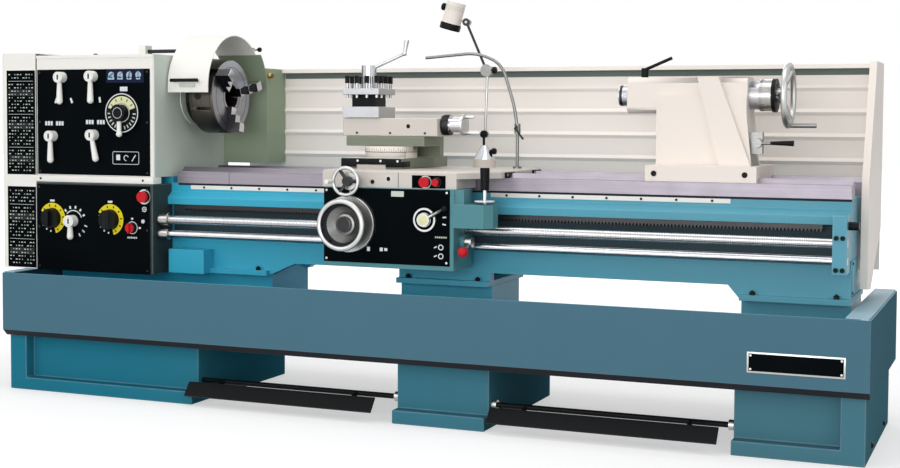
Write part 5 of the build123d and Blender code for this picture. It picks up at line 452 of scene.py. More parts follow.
def off(point, at, along):
    """Distance of a point from a line along an axis through a place."""
    across = point - at
    across[along] = 0
    return across.length


def pointing(direction):
    """The turn that points a shape along a direction."""
    return direction.to_track_quat("Z", "Y").to_matrix().to_4x4()


def link_piece(name, mesh, names, body, slot):
    """An object for a mesh, with finishes by their short names, riding on a body."""
    obj = bpy.data.objects.new(name, mesh)
    bpy.context.scene.collection.objects.link(obj)
    use = finishes()
    for finish in names:
        mesh.materials.append(use[finish])
    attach(obj, body)
    return obj


def smooth(mesh):
    """Smooth shading, with sharp edges kept."""
    mesh.polygons.foreach_set("use_smooth", [True] * len(mesh.polygons))
    mesh.set_sharp_from_angle(angle=SHARP_ANGLE)


def rounded(bm, edges, width, segments):
    """Bevels edges, and gives the new faces."""
    return bmesh.ops.bevel(bm, geom=edges, offset=width, offset_type="OFFSET", segments=segments, profile=0.5,
                           affect="EDGES", clamp_overlap=True, material=-1)["faces"]


def turn(bm, degrees):
    """Turns a shape about the upright axis through the origin."""
    about = Matrix.Rotation(math.radians(degrees), 3, "Z")
    bmesh.ops.rotate(bm, cent=(0, 0, 0), matrix=about, verts=bm.verts)


def set_down(bm, place, facing):
    """Turns a shape to face one way and puts it in its place."""
    bmesh.ops.transform(bm, matrix=Matrix.Translation(place) @ facing, verts=bm.verts)
    return bm


def dressed(node, finish, edge=0.0, zones=(), drawn=0.0):
    """A copy of a CAD node with rounded straight edges, and other finishes where a zone's test holds.

    Its left end can be drawn in, which leaves room for trim inside the solid.
    """
    bm = bmesh.new()
    bm.from_mesh(NODES[node].data)
    bmesh.ops.remove_doubles(bm, verts=bm.verts, dist=MERGE)
    bmesh.ops.dissolve_limit(bm, angle_limit=FLAT_ANGLE, verts=bm.verts, edges=bm.edges)
    bm.normal_update()
    for face in bm.faces:
        centre, normal = face.calc_center_median(), face.normal
        held = (index for index, (_, test) in enumerate(zones, start=1) if test(centre, normal))
        face.material_index = next(held, 0)
    if drawn:
        low, high = box(node)
        bmesh.ops.scale(bm, vec=(1 - drawn / (high.x - low.x), 1, 1), verts=bm.verts,
                        space=Matrix.Translation((-high.x, 0, 0)))
    worn = bm.faces.layers.float.new("edge")
    if edge:
        sharp = [item for item in bm.edges if item.is_manifold and item.calc_length() > SHORTEST_BEVEL
                 and abs(item.calc_face_angle()) > BEVEL_ANGLE]
        for face in rounded(bm, sharp, edge, 3):
            face[worn] = 1.0
    mesh = bpy.data.meshes.new(node + "_finished")
    bm.to_mesh(mesh)
    bm.free()
    smooth(mesh)
    if drawn:
        for face in mesh.polygons:
            face.use_smooth = face.area < LARGE_FACE
    names = [finish] + [name for name, _ in zones]
    piece = link_piece(node + "_finished", mesh, names, BODY_OF[node], SLOT_OF[node])
    piece.modifiers.new("Weighted normals", "WEIGHTED_NORMAL").keep_sharp = True
    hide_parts(node)


class Trim:
    """A new piece gathered from shapes that each have a finish."""

    def __init__(self, name, body, slot):
        self.name, self.body, self.slot = name, body, slot
        self.whole = bmesh.new()
        self.names = []

    def index(self, finish):
        if finish not in self.names:
            self.names.append(finish)
        return self.names.index(finish)

    def add(self, shape, finish, zones=()):
        """Takes a shape in, with other finishes where a zone's test holds."""
        shape.normal_update()
        for face in shape.faces:
            centre, normal = face.calc_center_median(), face.normal
            chosen = next((name for name, test in zones if test(centre, normal)), finish)
            face.material_index = self.index(chosen)
        part = bpy.data.meshes.new("shape")
        shape.to_mesh(part)
        shape.free()
        self.whole.from_mesh(part)
        bpy.data.meshes.remove(part)

    def screws(self, finish, places, radius, height, facing=FRONT):
        """A cap screw at each of the places."""
        for place in places:
            self.add(screw(place, radius, height, facing), finish)

    def row(self, finish, start, step, count, width, height, depth, gap=None):
        """Upright marks side by side on a front face, with one left out where there is a gap."""
        for index in range(count):
            if index != gap:
                self.add(mark(Vector(start) + Vector((step * index, 0, 0)), width, height, depth), finish)

    def fanned(self, finish, place, radius, angles, width, height, depth):
        """Marks on a front face that point away from a place."""
        for degrees in angles:
            self.add(mark(fan(place, radius, degrees), width, height, depth, degrees - 90), finish)

    def ticks(self, finish, place, facing, radii, width, lengths, angles, every=1):
        """Marks along the side of a drum, with the first of every so many longer."""
        long, short = lengths
        for index, degrees in enumerate(angles):
            tall = short if index % every else long
            bm = slab((radii[0], -width / 2, 0), (radii[1], width / 2, tall))
            turn(bm, degrees)
            self.add(set_down(bm, place, facing), finish)

    def done(self, *replaced):
        """Makes the piece, which can stand for CAD nodes."""
        mesh = bpy.data.meshes.new(self.name)
        self.whole.to_mesh(mesh)
        self.whole.free()
        smooth(mesh)
        piece = link_piece(self.name, mesh, self.names, self.body, self.slot)
        if replaced:
            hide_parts(*replaced)


def around(start, step, count):
    """Angles in equal steps."""
    return [start + step * index for index in range(count)]


def slab(low, high, edge=0.0):
    """A box between two corners, with rounded edges."""
    bm = bmesh.new()
    low, high = Vector(low), Vector(high)
    bmesh.ops.create_cube(bm, size=1)
    bmesh.ops.scale(bm, vec=high - low, verts=bm.verts)
    bmesh.ops.translate(bm, vec=(low + high) / 2, verts=bm.verts)
    if edge:
        rounded(bm, bm.edges[:], edge, 2)
    return bm


def mark(place, width, height, depth, tilt=0.0):
    """A thin upright mark on a front face, tilted about its middle."""
    bm = slab((-width / 2, -height / 2, 0), (width / 2, height / 2, depth))
    turn(bm, tilt)
    return set_down(bm, place, FRONT)


def turned(profile, place, facing=UP, steps=32):
    """A shape turned from radius and height points about an axis through a place."""
    bm = bmesh.new()
    verts = [bm.verts.new((radius, 0, height)) for radius, height in profile]
    line = [bm.edges.new(pair) for pair in zip(verts, verts[1:])]
    bmesh.ops.spin(bm, geom=verts + line, cent=(0, 0, 0), axis=(0, 0, 1), angle=2 * math.pi, steps=steps,
                   use_merge=True)
    bmesh.ops.remove_doubles(bm, verts=bm.verts, dist=MERGE)
    bmesh.ops.recalc_face_normals(bm, faces=bm.faces)
    return set_down(bm, place, facing)


def ring(place, inner, outer, depth, facing=FRONT, steps=48):
    """A flat ring standing out from a face."""
    return turned([(inner, 0), (outer, 0), (outer, depth), (inner, depth), (inner, 0)], place, facing, steps)


def disc(place, radius, depth, steps=20):
    """A plug on a front face, with a narrow chamfer."""
    return turned([(0, 0), (radius, 0), (radius - 0.001, depth), (0, depth)], place, FRONT, steps)


def band(place, inner, outer, depth, start, sweep, steps=24):
    """Part of a flat ring on a front face, from a start angle through a sweep."""
    bm = bmesh.new()
    corners = ((inner, 0, 0), (outer, 0, 0), (outer, 0, depth), (inner, 0, depth))
    verts = [bm.verts.new(corner) for corner in corners]
    loop = [bm.edges.new(pair) for pair in zip(verts, verts[1:] + verts[:1])]
    turn(bm, start)
    bmesh.ops.spin(bm, geom=verts + loop, cent=(0, 0, 0), axis=(0, 0, 1), angle=math.radians(sweep),
                   steps=steps)
    bmesh.ops.holes_fill(bm, edges=bm.edges, sides=4)
    bmesh.ops.recalc_face_normals(bm, faces=bm.faces)
    return set_down(bm, place, FRONT)


def bar(start, end, radius, steps=16):
    """A round bar between two points."""
    start, end = Vector(start), Vector(end)
    bm = bmesh.new()
    bmesh.ops.create_cone(bm, cap_ends=True, segments=steps, radius1=radius, radius2=radius,
                          depth=(end - start).length)
    return set_down(bm, (start + end) / 2, pointing(end - start))


def outlined(outline, place, radius, height, facing, steps):
    """A shape turned from an outline in parts of its radius and height."""
    return turned([(radius * out, height * up) for out, up in outline], place, facing, steps)


def screw(place, radius, height, facing=FRONT):
    """A cap screw's head with its socket."""
    outline = ((0, 0), (1, 0), (1, 0.8), (0.85, 1), (0.5, 1), (0.45, 0.5), (0, 0.5))
    return outlined(outline, place, radius, height, facing, 12)


def nut(place, radius, height, facing=UP):
    """A six-sided nut with its stud."""
    outline = ((0, 0), (1, 0), (1, 0.85), (0.85, 1), (0.5, 1), (0.5, 1.3), (0, 1.3))
    return outlined(outline, place, radius, height, facing, 6)


def knob(place, radius, height, facing):
    """A turned knob with a rounded rim and a narrow neck."""
    outline = ((0, 0), (0.5, 0), (0.5, 0.25), (0.9, 0.32), (1, 0.45), (1, 0.8), (0.85, 0.95), (0.5, 1),
               (0, 1))
    return outlined(outline, place, radius, height, facing, 24)


def fan(place, radius, degrees):
    """A point on a front face, at a radius and an angle from the right."""
    lean = math.radians(degrees)
    return Vector(place) + radius * Vector((math.cos(lean), 0, math.sin(lean)))


def on_face(at, face):
    """A joint's place on a front face."""
    return Vector((at.x, face, at.z))


class LATHE_OT_stand(Operator):
    """Paints the pedestals, the chip tray and the treadle, and makes their screws, plate, ledges and beads"""
    bl_idname = "lathe.stand"
    bl_label = "Stand"

    def execute(self, context):
        for node in ("left_pedestal", "middle_pedestal", "right_pedestal"):
            # The pedestals' enamel carries a painted shade gradient towards the tailstock end.
            dressed(node, "pedestal", sizes().casting_edge)
        self.jacks()
        self.tray()
        self.treadle()
        return {"FINISHED"}

    def jacks(self):
        """Levelling screws low on the ends of the outer pedestals."""
        trim = Trim("levelling_screws", "frame", "dark_handle")
        height, inset, hole = 0.035, 0.18, 0.009
        for node, end, facing in (("left_pedestal", 0, LEFT), ("right_pedestal", 1, RIGHT)):
            corners = box(node)
            for y in (corners[0].y + inset, corners[1].y - inset):
                place = (corners[end].x, y, height)
                trim.add(ring(place, hole, 0.014, 0.002, facing, 24), "dark")
                trim.add(nut(place, hole, 0.006, facing), "black")
        trim.done()

    def tray(self):
        low, high = box("chip_tray")
        riser_half, riser_reach, floor_top = 0.165, 1.66, low.z + 0.05
        dressed("chip_tray", "tray", sizes().plate_edge, (
            # Painted shade: the tray's undersides are painted near-black.
            ("under", lambda c, n: n.z < -0.4),
            # Painted highlight: the rim's top faces are painted pale.
            ("rim", lambda c, n: n.z > SQUARE and c.z > high.z - 0.002),
            ("bed", lambda c, n: c.z > low.z + 0.004 and abs(c.y) < riser_half and abs(c.x) < riser_reach),
            ("bed", lambda c, n: n.z > SQUARE and c.z < floor_top),
        ))
        trim = Trim("tray_plate", "frame", "panel_black")
        left, right = high.x - 0.389, high.x - 0.075
        base, head = low.z + 0.065, low.z + 0.134
        back, face, border, rivet = low.y - 0.0018, low.y - 0.0024, 0.006, 0.004
        trim.add(slab((left, back, base), (right, low.y, head), 0.0006), "satin")
        trim.add(slab((left + border, face, base + border), (right - border, low.y, head - border)), "panel")
        inset = 2 * border
        corners = product((left + inset, right - inset), (face,), (base + inset, head - inset))
        trim.screws("satin", corners, rivet, 0.0016)
        trim.done()
        ledge = Trim("tray_ledges", "frame", SLOT_OF["chip_tray"])
        thick, inset = 0.004, 0.005
        top, left_end, right_start = high.z - inset, -1.648, 1.622
        for start, end in ((low.x + inset, left_end), (right_start, high.x - inset)):
            # Painted highlight: the ledges' tops are painted pale.
            ledge.add(slab((start, low.y + inset, top - thick), (end, high.y - inset, top), 0.001), "rim")
        ledge.done()

    def treadle(self):
        dressed("brake_treadle", "black", sizes().plate_edge)
        low, _ = box("brake_treadle")
        middle_low, middle_high = box("middle_pedestal")
        right_low, _ = box("right_pedestal")
        trim = Trim("treadle_beads", "brake_treadle", "dark_handle")
        bead, inset = 0.003, 0.005
        y, z = low.y + inset, low.z + inset
        for start, end in ((low.x, middle_low.x - 0.072), (middle_high.x + 0.022, right_low.x - 0.043)):
            trim.add(bar((start, y, z), (end, y, z), bead, 8), "satin")
        axis = JOINT_AT["brake_treadle"]
        for x in (middle_low.x - 0.022, middle_high.x + 0.002, right_low.x - 0.022):
            trim.add(ring((x, axis.y, axis.z), 0.008, 0.018, 0.018, RIGHT, 24), "satin")
        trim.done()


class LATHE_OT_bed(Operator):
    """Paints the bed and grinds the ways, and makes their strips, nuts and screws"""
    bl_idname = "lathe.bed"
    bl_label = "Bed"

    def execute(self, context):
        size = sizes()
        skirt_top, ledge_foot, soffit, rack_top = 0.600, 0.765, 0.762, 0.765
        # The bed's enamel carries a painted shade gradient towards the tailstock end.
        dressed("bed", "bed", size.casting_edge, (
            # Painted shade: the wall behind the rods and the ledge's underside are painted dark.
            ("bay_shade", lambda c, n: n.y < -SQUARE and -0.165 < c.y < -0.155 and skirt_top < c.z < ledge_foot),
            ("bay_shade", lambda c, n: n.z < -SQUARE and c.y < -0.15 and abs(c.z - soffit) < 0.004),
        ))
        dressed("bed_ways", "ways", size.machined_edge, (
            ("dark", lambda c, n: c.z < rack_top),
            ("way_tops", lambda c, n: n.z > SQUARE),
        ))
        caps = box("rod_bracket")[1].x - 0.0338
        dressed("rod_bracket", "bed", size.casting_edge, (("black", lambda c, n: c.x > caps),))
        self.strips(size)
        self.fasteners(size)
        return {"FINISHED"}

    def strips(self, size):
        """The shadow line under the front way, its screwed strips and the seam of the gap bridge."""
        front, top = -0.178, 0.847
        face, strip_top, strip_foot = front - 0.0018, top - 0.008, top - 0.024
        trim = Trim("way_strips", "frame", "white_paint")
        trim.add(slab((-1.04, front - 0.0012, strip_top), (box("bed")[1].x, front, top - 0.0005)), "under")
        for start, end, count in ((-0.982, -0.350, 5), (0.311, 1.197, 7)):
            trim.add(slab((start, face, strip_foot), (end, front, strip_top), 0.0006), "white")
            spots = [start + (end - start) * (index + 0.5) / count for index in range(count)]
            trim.screws("black", product(spots, (face,), (top - 0.016,)), size.screw_radius, 0.003)
        seam, way_front, way_rear, way_top = -0.800, -0.185, -0.095, 0.894
        trim.add(slab((seam - 0.0008, way_front - 0.0003, top), (seam + 0.0008, way_rear, way_top + 0.0003)),
                 "under")
        trim.done()

    def fasteners(self, size):
        """Nuts on the bed's feet, the screwed plate on its right end and the rod bracket's screws."""
        trim = Trim("bed_fasteners", "frame", "dark_handle")
        flange_top, row, inset = 0.510, 0.187, 0.044
        for start, end in ((-1.640, -0.624), (-0.062, 0.308), (1.234, 1.604)):
            for x, y in product((start + inset, end - inset), (-row, row)):
                trim.add(nut((x, y, flange_top), 0.010, 0.012), "black")
        end = box("bed")[1].x
        face, half, foot, head = end + 0.0025, 0.150, 0.516, 0.640
        trim.add(slab((end - 0.004, -half, foot), (face, half, head), 0.001), "bed")
        corners = product((face,), (-0.93 * half, 0.93 * half), (foot + 0.012, head - 0.012))
        trim.screws("black", corners, size.screw_radius, 0.003, RIGHT)
        low, high = box("rod_bracket")
        holes = product((low.x + 0.013, low.x + 0.034), (low.y,), (low.z + 0.017, high.z - 0.075))
        trim.screws("black", holes, size.cap_radius, 0.006)
        trim.done()


JOURNAL = 0.120  # plain length of a shaft at the gearbox


class LATHE_OT_shafts(Operator):
    """Cuts the leadscrew's thread and the feed rod's keyway"""
    bl_idname = "lathe.shafts"
    bl_label = "Leadscrew and feed rod"

    def execute(self, context):
        self.leadscrew(sizes().pitch)
        self.feed_rod()
        return {"FINISHED"}

    def collar(self, shaft, rim):
        """The outline of a plain journal with its collar, from the gearbox outwards."""
        start, end, chamfer, length = 0.068, 0.110, 0.002, JOURNAL + 0.002
        return [(0, 0), (shaft, 0), (shaft, start), (rim - chamfer, start), (rim, start + chamfer),
                (rim, end - chamfer), (rim - chamfer, end), (shaft, end), (shaft, length), (0, length)]

    def ten_turns(self, outline, place, pitch):
        """Ten turns of a thread from the outline of one, given as radii and parts of the pitch."""
        turns, steps = 10, 12
        bm = bmesh.new()
        x, y, z = place
        verts = [bm.verts.new((x + along * pitch, y, z + radius)) for radius, along in outline]
        line = [bm.edges.new(pair) for pair in zip(verts, verts[1:])]
        bmesh.ops.spin(bm, geom=verts + line, cent=place, axis=(1, 0, 0), dvec=(pitch / steps, 0, 0),
                       angle=2 * math.pi * turns, steps=turns * steps)
        bmesh.ops.remove_doubles(bm, verts=bm.verts, dist=MERGE)
        bmesh.ops.recalc_face_normals(bm, faces=bm.faces)
        return bm

    def leadscrew(self, pitch):
        low, high = box("leadscrew")
        _, y, z = JOINT_AT["leadscrew"]
        crest, root = 0.018, 0.0166
        start, end = low.x + JOURNAL, box("rod_bracket")[0].x - 0.006
        trim = Trim("leadscrew_threaded", "leadscrew", SLOT_OF["leadscrew"])
        trim.add(turned(self.collar(crest, high.y - y), (low.x, y, z), RIGHT), "steel")
        outline = ((root, 0.0), (root, 0.3), (crest, 0.42), (crest, 0.88), (root, 1.0))
        section = 10 * pitch
        for index in range(int((end - start) / section)):
            trim.add(self.ten_turns(outline, (start + index * section, y, z), pitch), "rod")
        trim.add(bar((start - 0.001, y, z), (high.x, y, z), root + 0.0002, 24), "steel")
        trim.done("leadscrew")

    def feed_rod(self):
        low, high = box("feed_rod")
        _, y, z = JOINT_AT["feed_rod"]
        radius, keyway, key_half = 0.015, 0.0045, 0.0030
        trim = Trim("feed_rod_keyed", "feed_rod", SLOT_OF["feed_rod"])
        trim.add(turned(self.collar(radius, high.y - y), (low.x, y, z), RIGHT), "steel")
        bm = bmesh.new()
        bmesh.ops.create_circle(bm, cap_ends=True, segments=40, radius=radius)
        key = [vert for vert in bm.verts if abs(vert.co.x) < key_half and vert.co.y > 0]
        bmesh.ops.translate(bm, vec=(0, -keyway, 0), verts=key)
        grown = bmesh.ops.extrude_face_region(bm, geom=bm.faces[:])["geom"]
        far_end = [item for item in grown if isinstance(item, bmesh.types.BMVert)]
        bmesh.ops.translate(bm, vec=(0, 0, high.x - low.x - JOURNAL), verts=far_end)
        bmesh.ops.recalc_face_normals(bm, faces=bm.faces)
        trim.add(set_down(bm, (low.x + JOURNAL, y, z), RIGHT), "rod")
        trim.done("feed_rod")


class LATHE_OT_headstock(Operator):
    """Paints the headstock, gearbox, end cover and motor, and makes their charts, screws and fins"""
    bl_idname = "lathe.headstock"
    bl_label = "Headstock"

    def execute(self, context):
        size = sizes()
        # Painted shade: the spindle side is painted a greyer copy of the white.
        dressed("headstock", "white", size.casting_edge, (("side", lambda c, n: n.x > SQUARE),))
        # Painted shade: the gearbox takes a dark colour for the shade on its side.
        dressed("feed_gearbox", "gearbox", size.casting_edge)
        dressed("end_cover", "white", size.plate_edge, drawn=0.0016)
        dressed("main_motor", "motor", size.plate_edge)
        for node in ("spindle_bearings", "idler_gear", "input_gear"):
            dressed(node, "steel")
        self.band(size)
        self.cover()
        self.motor()
        return {"FINISHED"}

    def band(self, size):
        """The white band over the gearbox, its screws and the lid's."""
        low, high = box("headstock")
        seam, lid = box("feed_gearbox")[1].z, 1.362
        trim = Trim("headstock_band", "frame", "white_paint")
        trim.add(slab((low.x, low.y, seam + 0.0005), (high.x - 0.004, -0.25, seam + 0.0275), 0.002), "white")
        spots = product((low.x + 0.042, high.x - 0.052), (low.y,), (seam + 0.014,))
        trim.screws("dark", spots, size.screw_radius, 0.003)
        across = low.x + 0.03, (low.x + high.x) / 2, high.x - 0.034
        spots = product(across, (low.y + 0.03, high.y - 0.06), (lid,))
        trim.screws("dark", spots, size.cap_radius, 0.006, UP)
        trim.done()

    def cover(self):
        low, high = box("end_cover")
        trim = Trim("cover_charts", "end_cover", "panel_black")
        for base, head, rows in ((0.873, 1.302, 30), (0.488, 0.823, 22)):
            self.chart(trim, low.x + 0.032, high.x - 0.005, base, head, rows)
        self.cover_side(trim, low, high)
        trim.done()

    def chart(self, trim, left, right, base, head, rows):
        """A black plate with rows of plain strokes, ruled lines and shaded bands."""
        front, border, columns = -0.309, 0.01, 9
        face, middle, wide = front - 0.0008, (left + right) / 2, right - left - 2 * border
        trim.add(slab((left, face, base), (right, front, head)), "panel")
        step = (head - base - 2 * border) / rows
        for row in range(rows):
            z = base + border + (row + 0.5) * step
            if row % 10 == 7:
                trim.add(mark((middle, face, z), wide, 0.0012, 0.0004), "print")
                continue
            if row % 10 in (3, 4):
                trim.add(mark((middle, face, z), wide, 0.9 * step, 0.0003), "chart")
            for column in range(columns):
                if (row * 5 + column * 3) % 4:
                    x = left + 0.014 + column * (right - left - 0.028) / (columns - 1)
                    width = 0.003 + 0.003 * ((row * 7 + column * 5) % 3)
                    trim.add(mark((x, face - 0.0003, z), width, 0.3 * step, 0.0004), "side")

    def cover_side(self, trim, low, high):
        """A raised frame, screws and louvres on the left side."""
        proud, face, border = low.x + 0.0002, low.x + 0.0016, 0.024
        near, far, foot, head = -0.286, 0.277, low.z + 0.006, high.z - 0.006
        for start, end in (((near, foot), (far, foot + border)), ((near, head - border), (far, head)),
                           ((near, foot + border), (near + border, head - border)),
                           ((far - border, foot + border), (far, head - border))):
            trim.add(slab((proud, *start), (face + 0.0006, *end), 0.0006), "white")
        spots = product((face,), (-0.22, 0.20), (low.z + 0.08, high.z - 0.08))
        trim.screws("dark", spots, 0.010, 0.0013, LEFT)
        half, slit, hood = 0.10, 0.008, 0.006
        for index in range(8):
            z = low.z + 0.30 + 0.022 * index
            # Painted shade: each louvre's opening is a near-black slit.
            trim.add(slab((face - 0.0004, -half, z), (face + 0.001, half, z + slit)), "under")
            base, side = z + slit, half + 0.003
            trim.add(slab((proud, -side, base), (face + 0.001, side, base + hood), 0.0006), "white")

    def motor(self):
        """Cooling fins, the terminal box's lid and the fan's grille."""
        low, high = box("main_motor")
        y, z, radius, thick, count = 0.302, 0.640, 0.110, 0.003, 15
        start, end = low.x + 0.046, high.x - 0.046
        trim = Trim("motor_fins", "frame", "motor_paint")
        for index in range(count):
            x = start + (end - start - thick) * index / (count - 1)
            trim.add(ring((x, y, z), radius - 0.002, radius + 0.005, thick, RIGHT), "motor")
        lid_top = 0.794
        trim.add(slab((-1.4465, 0.2575, 0.7895), (-1.3575, 0.3465, lid_top), 0.002), "motor")
        trim.screws("dark", product((-1.440, -1.364), (0.264, 0.340), (lid_top,)), 0.004, 0.003, UP)
        # Painted shade: the grille's openings are near-black rings.
        for index in range(5):
            inner = 0.022 + 0.014 * index
            trim.add(ring((low.x, y, z), inner, inner + 0.006, 0.0015, LEFT), "under")
        trim.done()


class LATHE_OT_controls(Operator):
    """Finishes the control panels, levers and dials, and prints their marks"""
    bl_idname = "lathe.controls"
    bl_label = "Controls"

    def execute(self, context):
        size = sizes()
        dressed("control_panels", "panel", size.plate_edge)
        for node in SHIFT_LEVERS + ("feed_lever",):
            dressed(node, "handle")
        pointer_top = JOINT_AT["speed_dial"].z - 0.036
        dressed("speed_dial", "black", zones=(("handle", lambda c, n: c.z < pointer_top and c.y < -0.3305),))
        for node in ("feed_dial_left", "feed_dial_right"):
            dressed(node, "black")
        dressed("headstock_stop", "red")
        dressed("power_switch", "red", zones=(("black", lambda c, n: c.y > -0.338),))
        low, high = box("control_panels")
        self.upper_marks(size, low, high)
        self.lower_marks(size, low, high)
        self.lever_slots()
        self.speed_marks(size.print_depth)
        return {"FINISHED"}

    def edge_screws(self, trim, x, foot, head, face):
        """Three screws down each side of a panel."""
        spots = product(x, (face,), (foot, (foot + head) / 2, head))
        trim.screws("dark", spots, sizes().screw_radius, 0.002)

    def upper_marks(self, size, low, high):
        """Lever marks, signs, the dial's label and a box of icons on the headstock's panel."""
        face, depth = low.y + 0.009, size.print_depth
        trim = Trim("headstock_marks", "frame", "panel_black")
        left = JOINT_AT["shift_lever_upper_left"]
        right = JOINT_AT["shift_lever_upper_right"]
        for lever, reach, tilt in ((left, -0.034, -22), (left, 0.042, 22), (right, 0.030, 8)):
            trim.add(mark((lever.x + reach, face, lever.z - 0.094), 0.009, 0.022, depth, tilt), "print")
        for lever in ("shift_lever_lower_left", "shift_lever_lower_right"):
            start = on_face(JOINT_AT[lever], face) + Vector((-0.036, 0, 0.052))
            trim.row("print", start, 0.0135, 7, 0.010, 0.017, depth, gap=3)
        dial = on_face(JOINT_AT["speed_dial"], face)
        trim.add(mark(dial + Vector((0.006, 0, 0.148)), 0.178, 0.054, depth / 2), "navy")
        for index in range(4):
            at = dial + Vector((-0.060 + 0.043 * index, 0, 0.152))
            trim.add(ring(at, 0.005 if index % 2 else 0.0, 0.013, depth), "blue")
            trim.add(mark(at + Vector((0, 0, -0.013)), 0.030 - 0.004 * index, 0.010, depth), "blue")
            trim.add(mark(at, 0.030, 0.005, depth, 35 + 20 * index), "blue")
        trim.add(mark(dial + Vector((0, 0, 0.096)), 0.036, 0.018, depth), "print")
        self.icon_box(trim, depth, dial + Vector((0.008, 0, -0.180)))
        self.edge_screws(trim, (low.x + 0.012, high.x - 0.016), 0.889, high.z - 0.012, face)
        trim.done()

    def icon_box(self, trim, depth, middle):
        """A rounded outline with three small signs."""
        half, tall, line, round_off = 0.062, 0.025, 0.002, 0.006
        for side in (-1, 1):
            trim.add(mark(middle + Vector((0, 0, side * tall)), 2 * (half - round_off), line, depth), "print")
            trim.add(mark(middle + Vector((side * half, 0, 0)), line, 2 * (tall - round_off), depth), "print")
        for side, up, start in ((1, 1, 0), (-1, 1, 90), (-1, -1, 180), (1, -1, 270)):
            corner = middle + Vector((side * (half - round_off), 0, up * (tall - round_off)))
            trim.add(band(corner, 0.005, 0.007, depth, start, 90, 6), "print")
        trim.add(mark(middle + Vector((-0.036, 0, 0.002)), 0.018, 0.022, depth), "print")
        trim.add(band(middle + Vector((0.002, 0, 0)), 0.009, 0.012, depth, 20, 250, 14), "print")
        trim.add(mark(middle + Vector((0.038, 0, 0)), 0.004, 0.030, depth, -35), "print")

    def lower_marks(self, size, low, high):
        """Rings and marks round the feed dials, the feed lever, the stop button and the switch."""
        face, depth = low.y, size.print_depth
        trim = Trim("gearbox_marks", "frame", "panel_black")
        for node in ("feed_dial_left", "feed_dial_right"):
            at = on_face(JOINT_AT[node], face)
            trim.add(band(at, 0.042, 0.063, depth, -75, 228, 30), "yellow")
            trim.fanned("panel", at - Vector((0, depth, 0)), 0.053, around(-60, 33, 7), 0.005, 0.009, 0.0003)
            trim.add(mark(at + Vector((0, 0, 0.072)), 0.022, 0.008, depth), "print")
            for degrees in around(165, 24, 5):
                trim.add(mark(fan(at, 0.054, degrees), 0.006, 0.007, depth), "print")
        at = on_face(JOINT_AT["feed_lever"], face)
        trim.add(band(at, 0.040, 0.044, depth, 20, 120, 18), "print")
        trim.fanned("print", at, 0.056, around(25, 27, 5), 0.008, 0.011, depth)
        trim.fanned("side", at, 0.064, around(-62, 22, 3), 0.006, 0.014, depth)
        stop_low, stop_high = box("headstock_stop")
        at = on_face((stop_low + stop_high) / 2, face)
        lock, light = at - Vector((0, 0, 0.050)), at - Vector((0, 0, 0.098))
        trim.add(ring(at, 0.024, 0.030, 0.0012), "satin")
        trim.add(ring(lock, 0.006, 0.011, depth), "side")
        trim.add(mark(lock, 0.026, 0.004, depth, 40), "side")
        trim.add(knob(light, 0.009, 0.012, FRONT), "satin")
        at = on_face(JOINT_AT["power_switch"], face)
        trim.add(ring(at, 0.0225, 0.0255, depth), "print")
        for degrees in (90, 0):
            trim.add(mark(fan(at, 0.036, degrees), 0.010, 0.007, depth), "print")
        trim.row("print", at + Vector((-0.020, 0, -0.040)), 0.008, 6, 0.005, 0.007, depth)
        self.edge_screws(trim, (low.x + 0.012, high.x - 0.012), low.z + 0.014, 0.824, face)
        trim.done()

    def lever_slots(self):
        """The dark slot and the ring on each lever's boss."""
        for node in SHIFT_LEVERS + ("feed_lever",):
            at = on_face(JOINT_AT[node], box(node)[0].y)
            trim = Trim(node + "_slot", node, SLOT_OF[node])
            trim.add(mark(at, 0.007, 0.020, 0.0005), "panel")
            trim.add(ring(at, 0.016, 0.0175, 0.0004), "side")
            trim.done()

    def speed_marks(self, depth):
        """Rings, the yellow sector and the figures' places on the speed dial."""
        front = box("speed_dial")[0].y
        cap = on_face(JOINT_AT["speed_dial"], front)
        plate = on_face(JOINT_AT["speed_dial"], front + 0.030)
        trim = Trim("speed_dial_marks", "speed_dial", "dial_black")
        trim.add(ring(plate, 0.0745, 0.0785, depth), "print")
        trim.add(ring(plate, 0.0345, 0.0375, depth), "print")
        trim.add(band(plate, 0.0390, 0.0670, depth, 18, 144, 30), "dial")
        trim.fanned("compound", plate - Vector((0, depth, 0)), 0.056, around(34, 28, 5), 0.006, 0.012, 0.0003)
        clear_of_pointer = around(182, 14.5, 6) + around(283.5, 14.5, 6)
        trim.fanned("side", plate, 0.060, clear_of_pointer, 0.005, 0.014, depth)
        trim.add(ring(cap, 0.020, 0.022, depth), "satin")
        trim.done()


